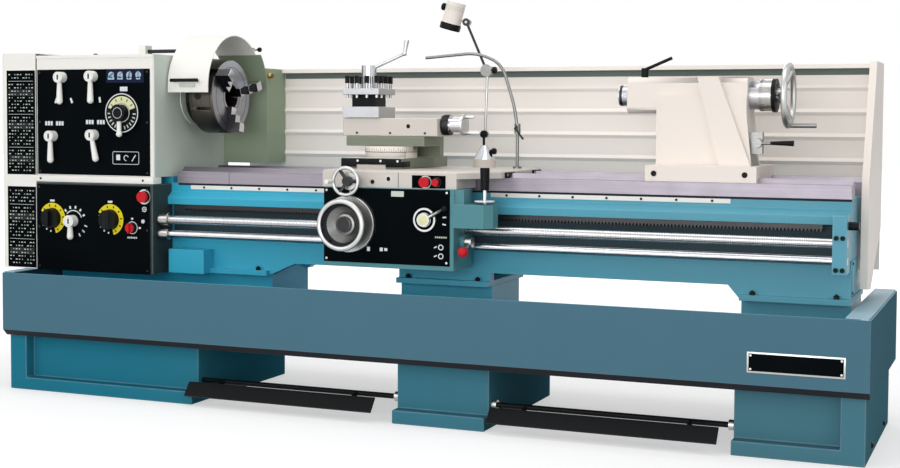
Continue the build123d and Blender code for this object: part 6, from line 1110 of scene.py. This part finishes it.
class LATHE_OT_chuck(Operator):
    """Finishes the spindle, the chuck and its jaws, and the guard over them"""
    bl_idname = "lathe.chuck"
    bl_label = "Chuck"

    def execute(self, context):
        size = sizes()
        low, high = box("chuck_body")
        dressed("spindle", "dark", zones=(("satin", lambda c, n: c.x > low.x - 0.026),))
        dressed("chuck_body", "chuck", size.machined_edge, (
            ("chuck_face", lambda c, n: n.x > SQUARE and c.x > high.x - 0.002),
            ("dark", lambda c, n: c.x < high.x - 0.108),
            ("under", lambda c, n: n.x > SQUARE and c.x < high.x - 0.01),
        ))
        for index in (1, 2, 3):
            dressed(f"chuck_jaw_{index}", "dark", size.machined_edge, (
                ("chrome", lambda c, n: n.x > SQUARE or (n.z > 0.4 and c.x > high.x)),
            ))
        self.guard(size)
        self.rings(low, high)
        return {"FINISHED"}

    def guard(self, size):
        low, high = box("chuck_guard")
        hinge = JOINT_AT["chuck_guard"]
        grip, rod = low.y + 0.015, 0.0095
        dressed("chuck_guard", "white", size.plate_edge, (
            ("black", lambda c, n: c.y < grip),
            ("dark", lambda c, n: off(c, hinge, X) < rod),
        ))
        trim = Trim("guard_knob", "chuck_guard", "dark_handle")
        neck, tip = high.x - 0.002, high.x + 0.016
        trim.add(bar((neck, hinge.y, hinge.z), (tip, hinge.y, hinge.z), 0.004), "satin")
        trim.add(knob((tip - 0.002, hinge.y, hinge.z), 0.010, 0.018, RIGHT), "black")
        trim.add(slab((-1.010, -0.2205, 1.232), (-0.936, -0.2140, 1.250), 0.003), "side")
        trim.done()

    def rings(self, low, high):
        """Turned grooves and a key socket on the chuck's side, and rings on its face."""
        axis, outer = JOINT_AT["spindle"], 0.150
        trim = Trim("chuck_rings", "spindle", "chuck_steel")
        for x in (high.x - 0.098, high.x - 0.012):
            trim.add(ring((x, axis.y, axis.z), outer - 0.001, outer + 0.0004, 0.002, RIGHT, 64), "dark")
        socket = Vector(((low.x + high.x) / 2 + 0.006, axis.y - outer - 0.0002, axis.z))
        # Painted shade: the key socket's hole is a near-black disc.
        trim.add(ring(socket, 0.0, 0.013, 0.0006, FRONT, 32), "under")
        trim.add(ring(socket, 0.013, 0.0155, 0.0012, FRONT, 32), "dark")
        for radius in (0.062, 0.118):
            trim.add(ring((high.x, axis.y, axis.z), radius, radius + 0.002, 0.0003, RIGHT, 64), "dark")
        trim.done()


class LATHE_OT_splash_guard(Operator):
    """Paints the splash guard, and makes its dark strip, its screws and its stiffeners"""
    bl_idname = "lathe.splash_guard"
    bl_label = "Splash guard"

    def execute(self, context):
        size = sizes()
        low, high = box("splash_guard")
        shield, knob_end, wing = -0.860, -0.8415, high.x - 0.1

        def on_knob(c, n):
            return shield + 0.0003 < c.x < knob_end and 1.27 < c.z < 1.31 and c.y < 0.26

        # Painted highlight: the sheet takes the lit copy of the cream, and the wing keeps the plain cream.
        dressed("splash_guard", "sheet", size.plate_edge, (
            ("brass", on_knob),
            ("shield", lambda c, n: abs(n.x) > SQUARE and shield - 0.004 < c.x < shield + 0.001),
            ("shield", lambda c, n: c.x < shield and c.y < 0.23),
            ("cream", lambda c, n: c.x > wing),
        ))
        lip_foot, sheet, strip = 1.306, 0.385, 0.024
        face, back, rib = sheet - 0.0015, sheet + 0.003, 0.02
        trim = Trim("splash_strip", "frame", "cream_paint")
        trim.add(slab((shield + 0.002, face, lip_foot - strip), (high.x - 0.004, sheet, lip_foot)), "lip")
        across = [shield + 0.10 + index * (high.x - shield - 0.2) / 11 for index in range(12)]
        trim.screws("dark", product(across, (face,), (0.62,)), size.screw_radius, 0.003)
        foot, head = low.z + 0.06, high.z - 0.09
        for x in (-0.854, 0.126, 1.366):
            trim.add(slab((x - rib, back, foot), (x + rib, back + rib, head), 0.003), "sheet")
            spots = product((x,), (back + rib,), (0.668, 0.95, 1.2))
            trim.screws("dark", spots, size.cap_radius, 0.006, REAR)
        trim.done()
        return {"FINISHED"}


class LATHE_OT_carriage(Operator):
    """Paints the saddle and the apron, and makes the apron's face, its wheels and its small fittings"""
    bl_idname = "lathe.carriage"
    bl_label = "Carriage"

    def execute(self, context):
        size = sizes()
        self.saddle(size)
        self.apron(size)
        self.apron_wheel()
        self.cross_wheel()
        self.selector(size.print_depth)
        self.joystick()
        return {"FINISHED"}

    def saddle(self, size):
        end = box("saddle")[1].x
        stop, button = box("saddle_stop"), box("saddle_button")
        left, right, foot, head = stop[0].x - 0.0345, button[1].x + 0.0245, 0.8595, 0.9065
        front = -0.385

        def in_recess(c, n):
            return left < c.x < right and foot < c.z < head and front + 0.0003 < c.y < front + 0.008

        # Painted shade: the saddle takes a darker copy of the cream.
        dressed("saddle", "shaded_cream", size.casting_edge, (
            ("panel", in_recess),
            ("dark", lambda c, n: n.z < -SQUARE and c.z < 0.9),
        ))
        dressed("saddle_stop", "red")
        dressed("saddle_button", "red")
        trim = Trim("saddle_trim", "carriage", "dark_handle")
        for (low, high), finish in ((stop, "satin"), (button, "dark")):
            middle, radius = on_face((low + high) / 2, front + 0.006), (high.x - low.x) / 2
            trim.add(ring(middle, radius + 0.001, radius + 0.0045, 0.003), finish)
        for x, z in ((-0.073, 0.879), (-0.009, 0.891)):
            trim.add(ring((x, front, z), 0.008, 0.0115, 0.0015), "satin")
            trim.add(disc((x, front, z), 0.008, 0.001), "black")
        trim.add(slab((0.029, front - 0.0003, 0.860), (0.031, front + 0.001, 0.915)), "under")
        wiper = end + 0.006
        for y in (-0.200, 0.105):
            trim.add(slab((end, y, 0.8955), (wiper, y + 0.095, 0.916), 0.0015), "black")
            spots = product((wiper,), (y + 0.015, y + 0.08), (0.906,))
            trim.screws("satin", spots, size.screw_radius, 0.002, RIGHT)
        trim.done()

    def apron(self, size):
        """The apron's black face with its screws, labels and marks."""
        dressed("apron", "apron", size.casting_edge)
        wheel, lever = JOINT_AT["apron_handwheel"], JOINT_AT["apron_selector"]
        left, right, foot, head = box("apron")[0].x + 0.001, 0.239, 0.582, 0.856
        front, inset, depth = -0.398, 0.012, size.print_depth
        face = front - 0.0018
        trim = Trim("apron_face", "carriage", "panel_black")
        trim.add(slab((left, face, foot), (right, front + 0.001, head), 0.0006), "panel")
        trim.add(mark((0.034, face, 0.838), 0.050, 0.020, depth), "side")
        corners = product((left + 0.011, right - inset), (face,), (foot + inset, head - 0.010))
        trim.screws("satin", corners, size.screw_radius, 0.002)
        for z in (0.650, 0.618):
            trim.add(ring((right - 0.034, face, z), 0.007, 0.0105, depth), "print")
            trim.add(mark((right - 0.055, face, z), 0.012, 0.004, depth, 25), "print")
        for index, x in enumerate((-0.082, -0.030, -0.012)):
            trim.add(mark((x, face, 0.634), 0.012, 0.016 - 0.003 * index, depth), "print")
        trim.row("side", on_face(lever, face) + Vector((0.040, 0, -0.062)), 0.008, 6, 0.005, 0.006, depth)
        trim.fanned("print", on_face(lever, face), 0.074, around(-12, 20, 3), 0.005, 0.014, depth)
        index_low = on_face(wheel, face) + Vector((-0.004, -0.001, 0.106))
        trim.add(slab(index_low, on_face(wheel, face) + Vector((0.004, 0, 0.122))), "satin")
        trim.done()

    def apron_wheel(self):
        """A dished handwheel in front of its graduated dial."""
        at = JOINT_AT["apron_handwheel"]
        dial, dial_front = box("apron_handwheel")[1].x - at.x, 0.024
        hub, dish, rim, tube, lift = 0.030, 0.060, 0.086, 0.010, 0.080
        back, wheel_back = on_face(at, -0.401), -0.43
        bends = [math.radians(degrees) for degrees in range(195, -166, -15)]
        round_rim = [(rim + tube * math.cos(bend), lift + tube * math.sin(bend)) for bend in bends]
        profile = [(0, 0.062), (hub - 0.004, 0.062), (hub, 0.058), (hub, 0.048), (0.038, 0.046),
                   (0.066, 0.062)]
        profile += round_rim + [(0.066, 0.054), (0.038, 0.036), (hub, 0.034), (hub, dial_front),
                                (dial - 0.002, dial_front), (dial, dial_front - 0.002), (dial, 0.002),
                                (dial - 0.002, 0), (0, 0)]
        trim = Trim("apron_handwheel_dished", "apron_handwheel", SLOT_OF["apron_handwheel"])
        trim.add(turned(profile, back, FRONT, 64), "satin", (
            ("under", lambda c, n: dish < off(c, at, Y) < rim - 0.7 * tube and c.y < wheel_back),
            ("dark", lambda c, n: off(c, at, Y) < hub - 0.004 and c.y < wheel_back),
            ("pipe", lambda c, n: off(c, at, Y) < dish and c.y < wheel_back),
        ))
        face = back - Vector((0, dial_front, 0))
        for degrees in range(0, 360, 6):
            tall = 0.005 if degrees % 30 else 0.009
            trim.fanned("panel", face, dial - 0.007, [degrees], 0.0012, tall, 0.0003)
        shaft = [(0, 0), (0.012, 0), (0.012, 0.03), (0, 0.03)]
        trim.add(turned(shaft, back + Vector((0, 0.028, 0)), FRONT, 24), "steel")
        trim.done("apron_handwheel")

    def cross_wheel(self):
        at, front = JOINT_AT["cross_handwheel"], box("cross_handwheel")[0].y
        dressed("cross_handwheel", "satin", zones=(
            ("handle", lambda c, n: c.y < front + 0.044),
            ("dark", lambda c, n: off(c, at, Y) < 0.040 and c.y < -0.437),
        ))
        trim = Trim("cross_dial_marks", "cross_handwheel", SLOT_OF["cross_handwheel"])
        trim.ticks("panel", on_face(at, -0.417), FRONT, (0.0315, 0.0322), 0.001, (0.012, 0.007),
                   around(0, 7.2, 50), 5)
        trim.done()

    def selector(self, depth):
        at, front = JOINT_AT["apron_selector"], box("apron_selector")[0].y
        boss, arm, plate = 0.0245, 0.0435, -0.413

        def on_grip(c, n):
            beside = c.x > at.x + 0.012 and front + 0.004 < c.y < plate - 0.0005
            return off(c, at, Y) > arm or (beside and off(c, at, Y) > boss)

        dressed("apron_selector", "satin", zones=(("black", on_grip),))
        trim = Trim("selector_face", "apron_selector", SLOT_OF["apron_selector"])
        trim.add(ring(on_face(at, plate), 0.026, 0.036, depth), "panel")
        trim.add(disc(on_face(at, front), 0.018, 0.0006, 32), "dial")
        trim.done()

    def joystick(self):
        """The joystick's disc and ribbed grip, and the red ball of the control lever."""
        at, top = JOINT_AT["joystick"], box("joystick")[1].z
        disc_foot, disc_top, grip, rod = 0.8155, 0.821, 0.8565, 0.0075
        dressed("joystick", "chrome", zones=(
            ("black", lambda c, n: c.z > grip),
            ("handle", lambda c, n: disc_foot < c.z < disc_top and off(c, at, Z) > rod),
        ))
        trim = Trim("joystick_ribs", "joystick", SLOT_OF["joystick"])
        for index in range(9):
            z = grip + 0.008 + 0.0075 * index
            radius = 0.015 + 0.002 * (z - grip) / (top - grip)
            trim.add(ring((at.x, at.y, z), radius - 0.002, radius + 0.0012, 0.003, UP, 28), "black")
        trim.done()
        ball = box("control_lever")[0].y + 0.0385
        dressed("control_lever", "satin", zones=(("red", lambda c, n: c.y < ball),))


class LATHE_OT_compound(Operator):
    """Finishes the cross slide, compound slide, crank and tool post, and makes their strips and scales"""
    bl_idname = "lathe.compound"
    bl_label = "Compound slide"

    def execute(self, context):
        size = sizes()
        self.cross_slide(size)
        dressed("compound_base", "compound", size.casting_edge)
        low, high = box("top_slide")
        slide_top = 1.1145
        # Painted shade: the top slide takes a darker copy of the cream.
        dressed("top_slide", "shaded_cream", size.casting_edge, (
            ("post", lambda c, n: c.z > slide_top),
            ("under", lambda c, n: n.x < -SQUARE and c.z < slide_top),
        ))
        self.tool_post(size)
        self.crank()
        trim = Trim("top_slide_trim", "top_slide", "dark_handle")
        trim.add(disc((-0.030, low.y, 1.082), 0.008, 0.001), "black")
        spots = product((low.x + 0.06, low.x + 0.20, high.x - 0.05), (low.y,), (1.056,))
        trim.screws("dark", spots, size.screw_radius, 0.002)
        trim.done()
        return {"FINISHED"}

    def cross_slide(self, size):
        """The slide's wipers, with room over the saddle's guide, and the swivel's scale."""
        low, high = box("cross_slide")
        top, foot, guide_top, guide = 0.9625, 0.929, 0.939, (-0.2005, -0.0765)
        dressed("cross_slide", "compound", size.machined_edge, (("cream", lambda c, n: c.z > top),))
        swivel, front = JOINT_AT["compound_base"], low.y - 0.006
        trim = Trim("cross_slide_trim", "cross_slide", "dark_handle")
        for start, end, base in ((low.x, guide[0], foot), (*guide, guide_top), (guide[1], high.x, foot)):
            trim.add(slab((start, front, base), (end, low.y, 0.960), 0.001), "black")
        trim.add(slab((high.x - 0.002, front, foot), (high.x + 0.004, low.y + 0.075, 0.950), 0.0015), "black")
        spots = product((low.x + 0.07, low.x + 0.165, high.x - 0.012), (front,), (0.952,))
        trim.screws("handle", spots, size.screw_radius, 0.002)
        trim.add(ring((swivel.x, swivel.y, 0.983), 0.0985, 0.1004, 0.0022, UP, 96), "dark")
        trim.ticks("panel", (swivel.x, swivel.y, 0.987), UP, (0.0995, 0.1003), 0.001, (0.012, 0.007),
                   around(-180, 5, 37), 2)
        trim.done()

    def tool_post(self, size):
        low, _ = box("toolpost")
        foot, slot_top, head = low.z + 0.0425, low.z + 0.0875, low.z + 0.1125
        dressed("toolpost", "post", size.machined_edge, (
            ("black", lambda c, n: foot + 0.0005 < c.z < slot_top and abs(n.z) < 0.5),
            ("black", lambda c, n: c.z > head),
            ("dark", lambda c, n: abs(n.z) > SQUARE and foot - 0.002 < c.z < slot_top + 0.002),
        ))
        at, grip = JOINT_AT["toolpost_lever"], 0.085
        dressed("toolpost_lever", "chrome", zones=(("satin", lambda c, n: off(c, at, Z) > grip),))

    def crank(self):
        at = JOINT_AT["compound_crank"]
        dressed("compound_crank", "chrome", zones=(
            ("dark", lambda c, n: 0.088 < c.x < 0.1225 and off(c, at, X) > 0.020),
            ("satin", lambda c, n: 0.1675 < c.x < 0.1785),
        ))
        trim = Trim("crank_knurl", "compound_crank", SLOT_OF["compound_crank"])
        trim.ticks("dark", (0.096, at.y, at.z), RIGHT, (0.0375, 0.0392), 0.0016, (0.022, 0.022),
                   around(0, 7.5, 48))
        trim.done()


class LATHE_OT_lamp(Operator):
    """Finishes the lamp and the coolant pipe, and makes the lamp's knobs, rim, rings and glass"""
    bl_idname = "lathe.lamp"
    bl_label = "Lamp and coolant"

    def execute(self, context):
        base, elbow, eye = (JOINT_AT[node] for node in ("lamp_lower_arm", "lamp_upper_arm", "lamp_head"))
        pad_top, cone_top, hub = 0.9545, 1.010, 0.03
        dressed("saddle_fittings", "pipe", zones=(
            # The pad takes the same darker copy of the cream, painted shade.
            ("shaded_cream", lambda c, n: c.z < pad_top and c.x < 0.21),
            ("chrome", lambda c, n: c.x < 0.205 and c.z < cone_top and c.y > 0.10),
            ("black", lambda c, n: c.x < 0.18 and c.z < 1.07 and c.y > 0.13),
        ))
        dressed("coolant_valve", "dark")
        dressed("lamp_lower_arm", "satin", zones=(("pipe", lambda c, n: c.z > elbow.z - hub),))
        dressed("lamp_upper_arm", "dark", zones=(("pipe", lambda c, n: c.z < elbow.z + hub),))
        dressed("lamp_head", "cream")
        trim = Trim("lamp_base_knob", "carriage", "dark_handle")
        trim.add(knob((base.x + 0.024, base.y, 0.985), 0.012, 0.026, RIGHT), "black")
        cap = [(0, 0), (0.011, 0), (0.011, 0.004), (0.008, 0.006), (0, 0.006)]
        trim.add(turned(cap, on_face(base, 0.138), FRONT, 24), "black")
        trim.done()
        trim = Trim("lamp_elbow_knob", "lamp_lower_arm", "dark_handle")
        trim.add(knob(elbow + Vector((0.020, -0.006, 0)), 0.014, 0.022, RIGHT), "black")
        trim.done()
        self.can(eye)
        return {"FINISHED"}

    def can(self, eye):
        """The black rim, rings, back, switch and glass of the lamp's can."""
        tilt = math.radians(16)
        lean = Vector((-math.sin(tilt), 0, -math.cos(tilt)))
        aside = Vector((-math.cos(tilt), 0, math.sin(tilt)))
        neck, radius, drop, tall = 0.026, 0.038, 0.040, 0.104
        mouth = on_face(eye, 0.150) + (neck + radius) * aside + drop * lean
        back, down = mouth - tall * lean, pointing(lean)
        trim = Trim("lamp_can", "lamp_head", SLOT_OF["lamp_head"])
        rim = [(0.028, -0.004), (0.0400, -0.018), (0.0415, -0.014), (0.0415, 0.004), (0.0395, 0.008),
               (0.034, 0.008), (0.031, 0.002), (0.028, -0.004)]
        trim.add(turned(rim, mouth, down, 48), "black")
        glass = [(0, 0), (0.031, 0), (0.030, 0.001), (0.018, 0.004), (0, 0.005)]
        trim.add(turned(glass, mouth, down), "chrome")
        for index in range(3):
            trim.add(ring(mouth - (0.074 + 0.007 * index) * lean, 0.037, 0.0386, 0.002, down), "side")
        dome = [(0, 0.0012), (0.026, 0.0010), (0.035, 0.0002), (0.0378, -0.003), (0, -0.003)]
        trim.add(turned(dome, back, pointing(-lean), 48), "cream")
        grip = back + 0.030 * lean + (radius - 0.002) * aside
        trim.add(knob(grip, 0.015, 0.020, pointing(aside)), "black")
        trim.done()


class LATHE_OT_tailstock(Operator):
    """Paints the tailstock, finishes its wheel and levers, and prints the quill's and dial's scales"""
    bl_idname = "lathe.tailstock"
    bl_label = "Tailstock"

    def execute(self, context):
        size = sizes()
        bracket, sleeve = 1.2345, 1.2285
        dressed("tailstock", "cream", size.casting_edge, (
            ("pipe", lambda c, n: c.x > bracket and 0.99 < c.z < 1.07 and c.y < -0.019),
            ("post", lambda c, n: c.x > sleeve and c.z > 1.14),
        ))
        dressed("quill", "post", size.machined_edge)
        dressed("quill_lever", "black")
        dressed("clamp_lever", "black", zones=(("pipe", lambda c, n: c.x < 1.309),))
        axis = JOINT_AT["tailstock_handwheel"]
        self.wheel(axis)
        self.quill_scale(axis)
        self.fittings(size, axis)
        return {"FINISHED"}

    def wheel(self, axis):
        dial_end, nut_end, handle = 1.3065, 1.3215, 1.373
        dressed("tailstock_handwheel", "satin", zones=(
            ("black", lambda c, n: dial_end < c.x < nut_end),
            ("steel", lambda c, n: c.x < dial_end),
            ("pipe", lambda c, n: c.x > handle),
        ))
        trim = Trim("tailstock_dial_marks", "tailstock_handwheel", SLOT_OF["tailstock_handwheel"])
        trim.ticks("panel", (1.2660, axis.y, axis.z), RIGHT, (0.0555, 0.0563), 0.0012, (0.016, 0.009),
                   around(0, 7.2, 50), 5)
        trim.done()

    def quill_scale(self, axis):
        low, high = box("quill")
        radius, width, step = high.z - axis.z, 0.0006, 0.002
        trim = Trim("quill_scale", "quill", SLOT_OF["quill"])
        trim.add(ring((low.x + 0.004, 0, axis.z), radius - 0.003, radius + 0.0003, 0.010, RIGHT), "dark")
        for index in range(12):
            x, half = low.x + 0.020 + step * index, 0.003 if index % 5 else 0.005
            start, end = (x, -radius - 0.0002, axis.z - half), (x + width, -radius + 0.002, axis.z + half)
            trim.add(slab(start, end), "panel")
        trim.done()

    def fittings(self, size, axis):
        """Screws of the base, and the ring and screws round the quill's mouth."""
        low, high = box("tailstock")
        side, mouth, away = -0.177, 0.794, 0.05
        trim = Trim("tailstock_trim", "tailstock", "dark_handle")
        trim.screws("black", product((low.x + 0.13, high.x - 0.04), (side,), (0.922,)), 0.010, 0.004)
        trim.add(ring((mouth, 0, axis.z), 0.0385, 0.048, 0.0008, LEFT), "steel")
        spots = product((mouth,), (-away, away), (1.149, 1.249))
        trim.screws("dark", spots, size.screw_radius, 0.003, LEFT)
        trim.done()


class LATHE_OT_stage(Operator):
    """Sets the floor, the light and the camera"""
    bl_idname = "lathe.stage"
    bl_label = "Studio"

    def execute(self, context):
        scene, look = context.scene, studio()
        self.floor(scene, look)
        self.surroundings(scene, look)
        for name, place, aim, size, power in (
            ("Key softbox", (-3.2, -5.2, 3.6), (-0.4, 0, 0.8), (4.0, 3.0), look.key),
            ("Front softbox", (0.8, -6.8, 1.3), (0, 0, 0.6), (5.0, 2.5), look.front),
            ("Fill softbox", (5.4, -3.8, 3.4), (0.6, 0, 0.8), (3.0, 3.0), look.fill),
            ("Top softbox", (0.0, -0.6, 5.2), (0, 0, 0.8), (5.0, 2.5), look.top),
            ("Rear softbox", (-1.0, 5.4, 3.6), (0, 0, 0.8), (4.0, 2.5), look.rear),
        ):
            self.softbox(scene, name, place, aim, size, power)
        self.camera(scene, look)
        scene.view_settings.view_transform = "Standard"
        return {"FINISHED"}

    def seen(self, tree):
        """One where a ray comes from the camera, a reflection or glass."""
        rays = add_node(tree, "ShaderNodeLightPath").outputs
        direct = math_node(tree, "MAXIMUM", rays["Is Camera Ray"], rays["Is Glossy Ray"])
        return math_node(tree, "MAXIMUM", direct, rays["Is Transmission Ray"])

    def floor(self, scene, look):
        """A pale floor that brightens to the white of the backdrop away from the lathe."""
        bm = bmesh.new()
        bmesh.ops.create_grid(bm, x_segments=1, y_segments=1, size=30)
        mesh = bpy.data.meshes.new("studio_floor")
        bm.to_mesh(mesh)
        bm.free()
        floor = bpy.data.objects.new("studio_floor", mesh)
        scene.collection.objects.link(floor)
        material = bpy.data.materials.new("Studio floor")
        material.use_nodes = True
        tree = material.node_tree
        shader = tree.nodes["Principled BSDF"]
        put(shader, {"Base Color": (*colours().floor, 1), "Roughness": 0.9, "Specular IOR Level": 0.1,
                     "Emission Color": (1, 1, 1, 1)})
        distance = math_node(tree, "LENGTH", own_place(tree), kind=VECTOR_MATH, output="Value")
        far = add_node(tree, "ShaderNodeMapRange")
        put(far, {"From Min": 2.2, "From Max": 7.0, "To Min": look.lift, "To Max": 1.0})
        tree.links.new(distance, far.inputs["Value"])
        glow = math_node(tree, "MULTIPLY", self.seen(tree), far.outputs["Result"])
        tree.links.new(glow, shader.inputs["Emission Strength"])
        mesh.materials.append(material)

    def surroundings(self, scene, look):
        """A white backdrop where it is seen, and a dimmer light all round."""
        world = bpy.data.worlds.new("Studio")
        scene.world = world
        world.use_nodes = True
        tree = world.node_tree
        backdrop = tree.nodes["Background"]
        put(backdrop, {"Color": (1, 1, 1, 1)})
        ambient = add_node(tree, "ShaderNodeBackground")
        put(ambient, {"Color": (1, 1, 1, 1), "Strength": look.ambient})
        mixed = add_node(tree, "ShaderNodeMixShader")
        for target, source in enumerate((self.seen(tree), ambient.outputs[0], backdrop.outputs[0])):
            tree.links.new(source, mixed.inputs[target])
        tree.links.new(mixed.outputs[0], tree.nodes["World Output"].inputs["Surface"])

    def softbox(self, scene, name, place, aim, size, power):
        light = bpy.data.lights.new(name, "AREA")
        light.shape = "RECTANGLE"
        light.size, light.size_y = size
        light.energy = power
        lamp = bpy.data.objects.new(name, light)
        scene.collection.objects.link(lamp)
        lamp.location = place
        lamp.rotation_euler = (Vector(aim) - Vector(place)).to_track_quat("-Z", "Y").to_euler()

    def camera(self, scene, look):
        lens = bpy.data.cameras.new("Studio camera")
        lens.sensor_fit = "HORIZONTAL"
        lens.sensor_width = 36
        lens.lens = look.lens
        lens.shift_y = look.shift
        lens.clip_end = 100
        camera = bpy.data.objects.new("Studio camera", lens)
        scene.collection.objects.link(camera)
        heading = Matrix.Rotation(look.yaw, 4, "Z") @ Matrix.Rotation(math.pi / 2 - look.pitch, 4, "X")
        camera.matrix_world = Matrix.Translation(look.place) @ heading @ Matrix.Rotation(look.roll, 4, "Z")
        scene.camera = camera


STEPS = (LATHE_OT_stand, LATHE_OT_bed, LATHE_OT_shafts, LATHE_OT_headstock, LATHE_OT_controls, LATHE_OT_chuck,
         LATHE_OT_splash_guard, LATHE_OT_carriage, LATHE_OT_compound, LATHE_OT_lamp, LATHE_OT_tailstock,
         LATHE_OT_stage)


class LATHE_PT_panel(Panel):
    """The lathe's pieces in the sidebar"""
    bl_idname = "LATHE_PT_panel"
    bl_label = "Lathe"
    bl_space_type = "VIEW_3D"
    bl_region_type = "UI"
    bl_category = "Lathe"

    def draw(self, context):
        for step in STEPS:
            self.layout.operator(step.bl_idname)
        for group in (colours(), sizes(), studio()):
            for name in group.__annotations__:
                self.layout.prop(group, name)


CLASSES = (LatheColours, LatheSizes, LatheStudio, *STEPS, LATHE_PT_panel)


def register():
    for item in CLASSES:
        bpy.utils.register_class(item)
    bpy.types.Scene.lathe_colours = PointerProperty(type=LatheColours)
    bpy.types.Scene.lathe_sizes = PointerProperty(type=LatheSizes)
    bpy.types.Scene.lathe_studio = PointerProperty(type=LatheStudio)


def unregister():
    del bpy.types.Scene.lathe_studio
    del bpy.types.Scene.lathe_sizes
    del bpy.types.Scene.lathe_colours
    for item in reversed(CLASSES):
        bpy.utils.unregister_class(item)


def main():
    register()
    for step in STEPS:
        family, name = step.bl_idname.split(".")
        getattr(getattr(bpy.ops, family), name)()


if __name__ == "__main__":
    main()
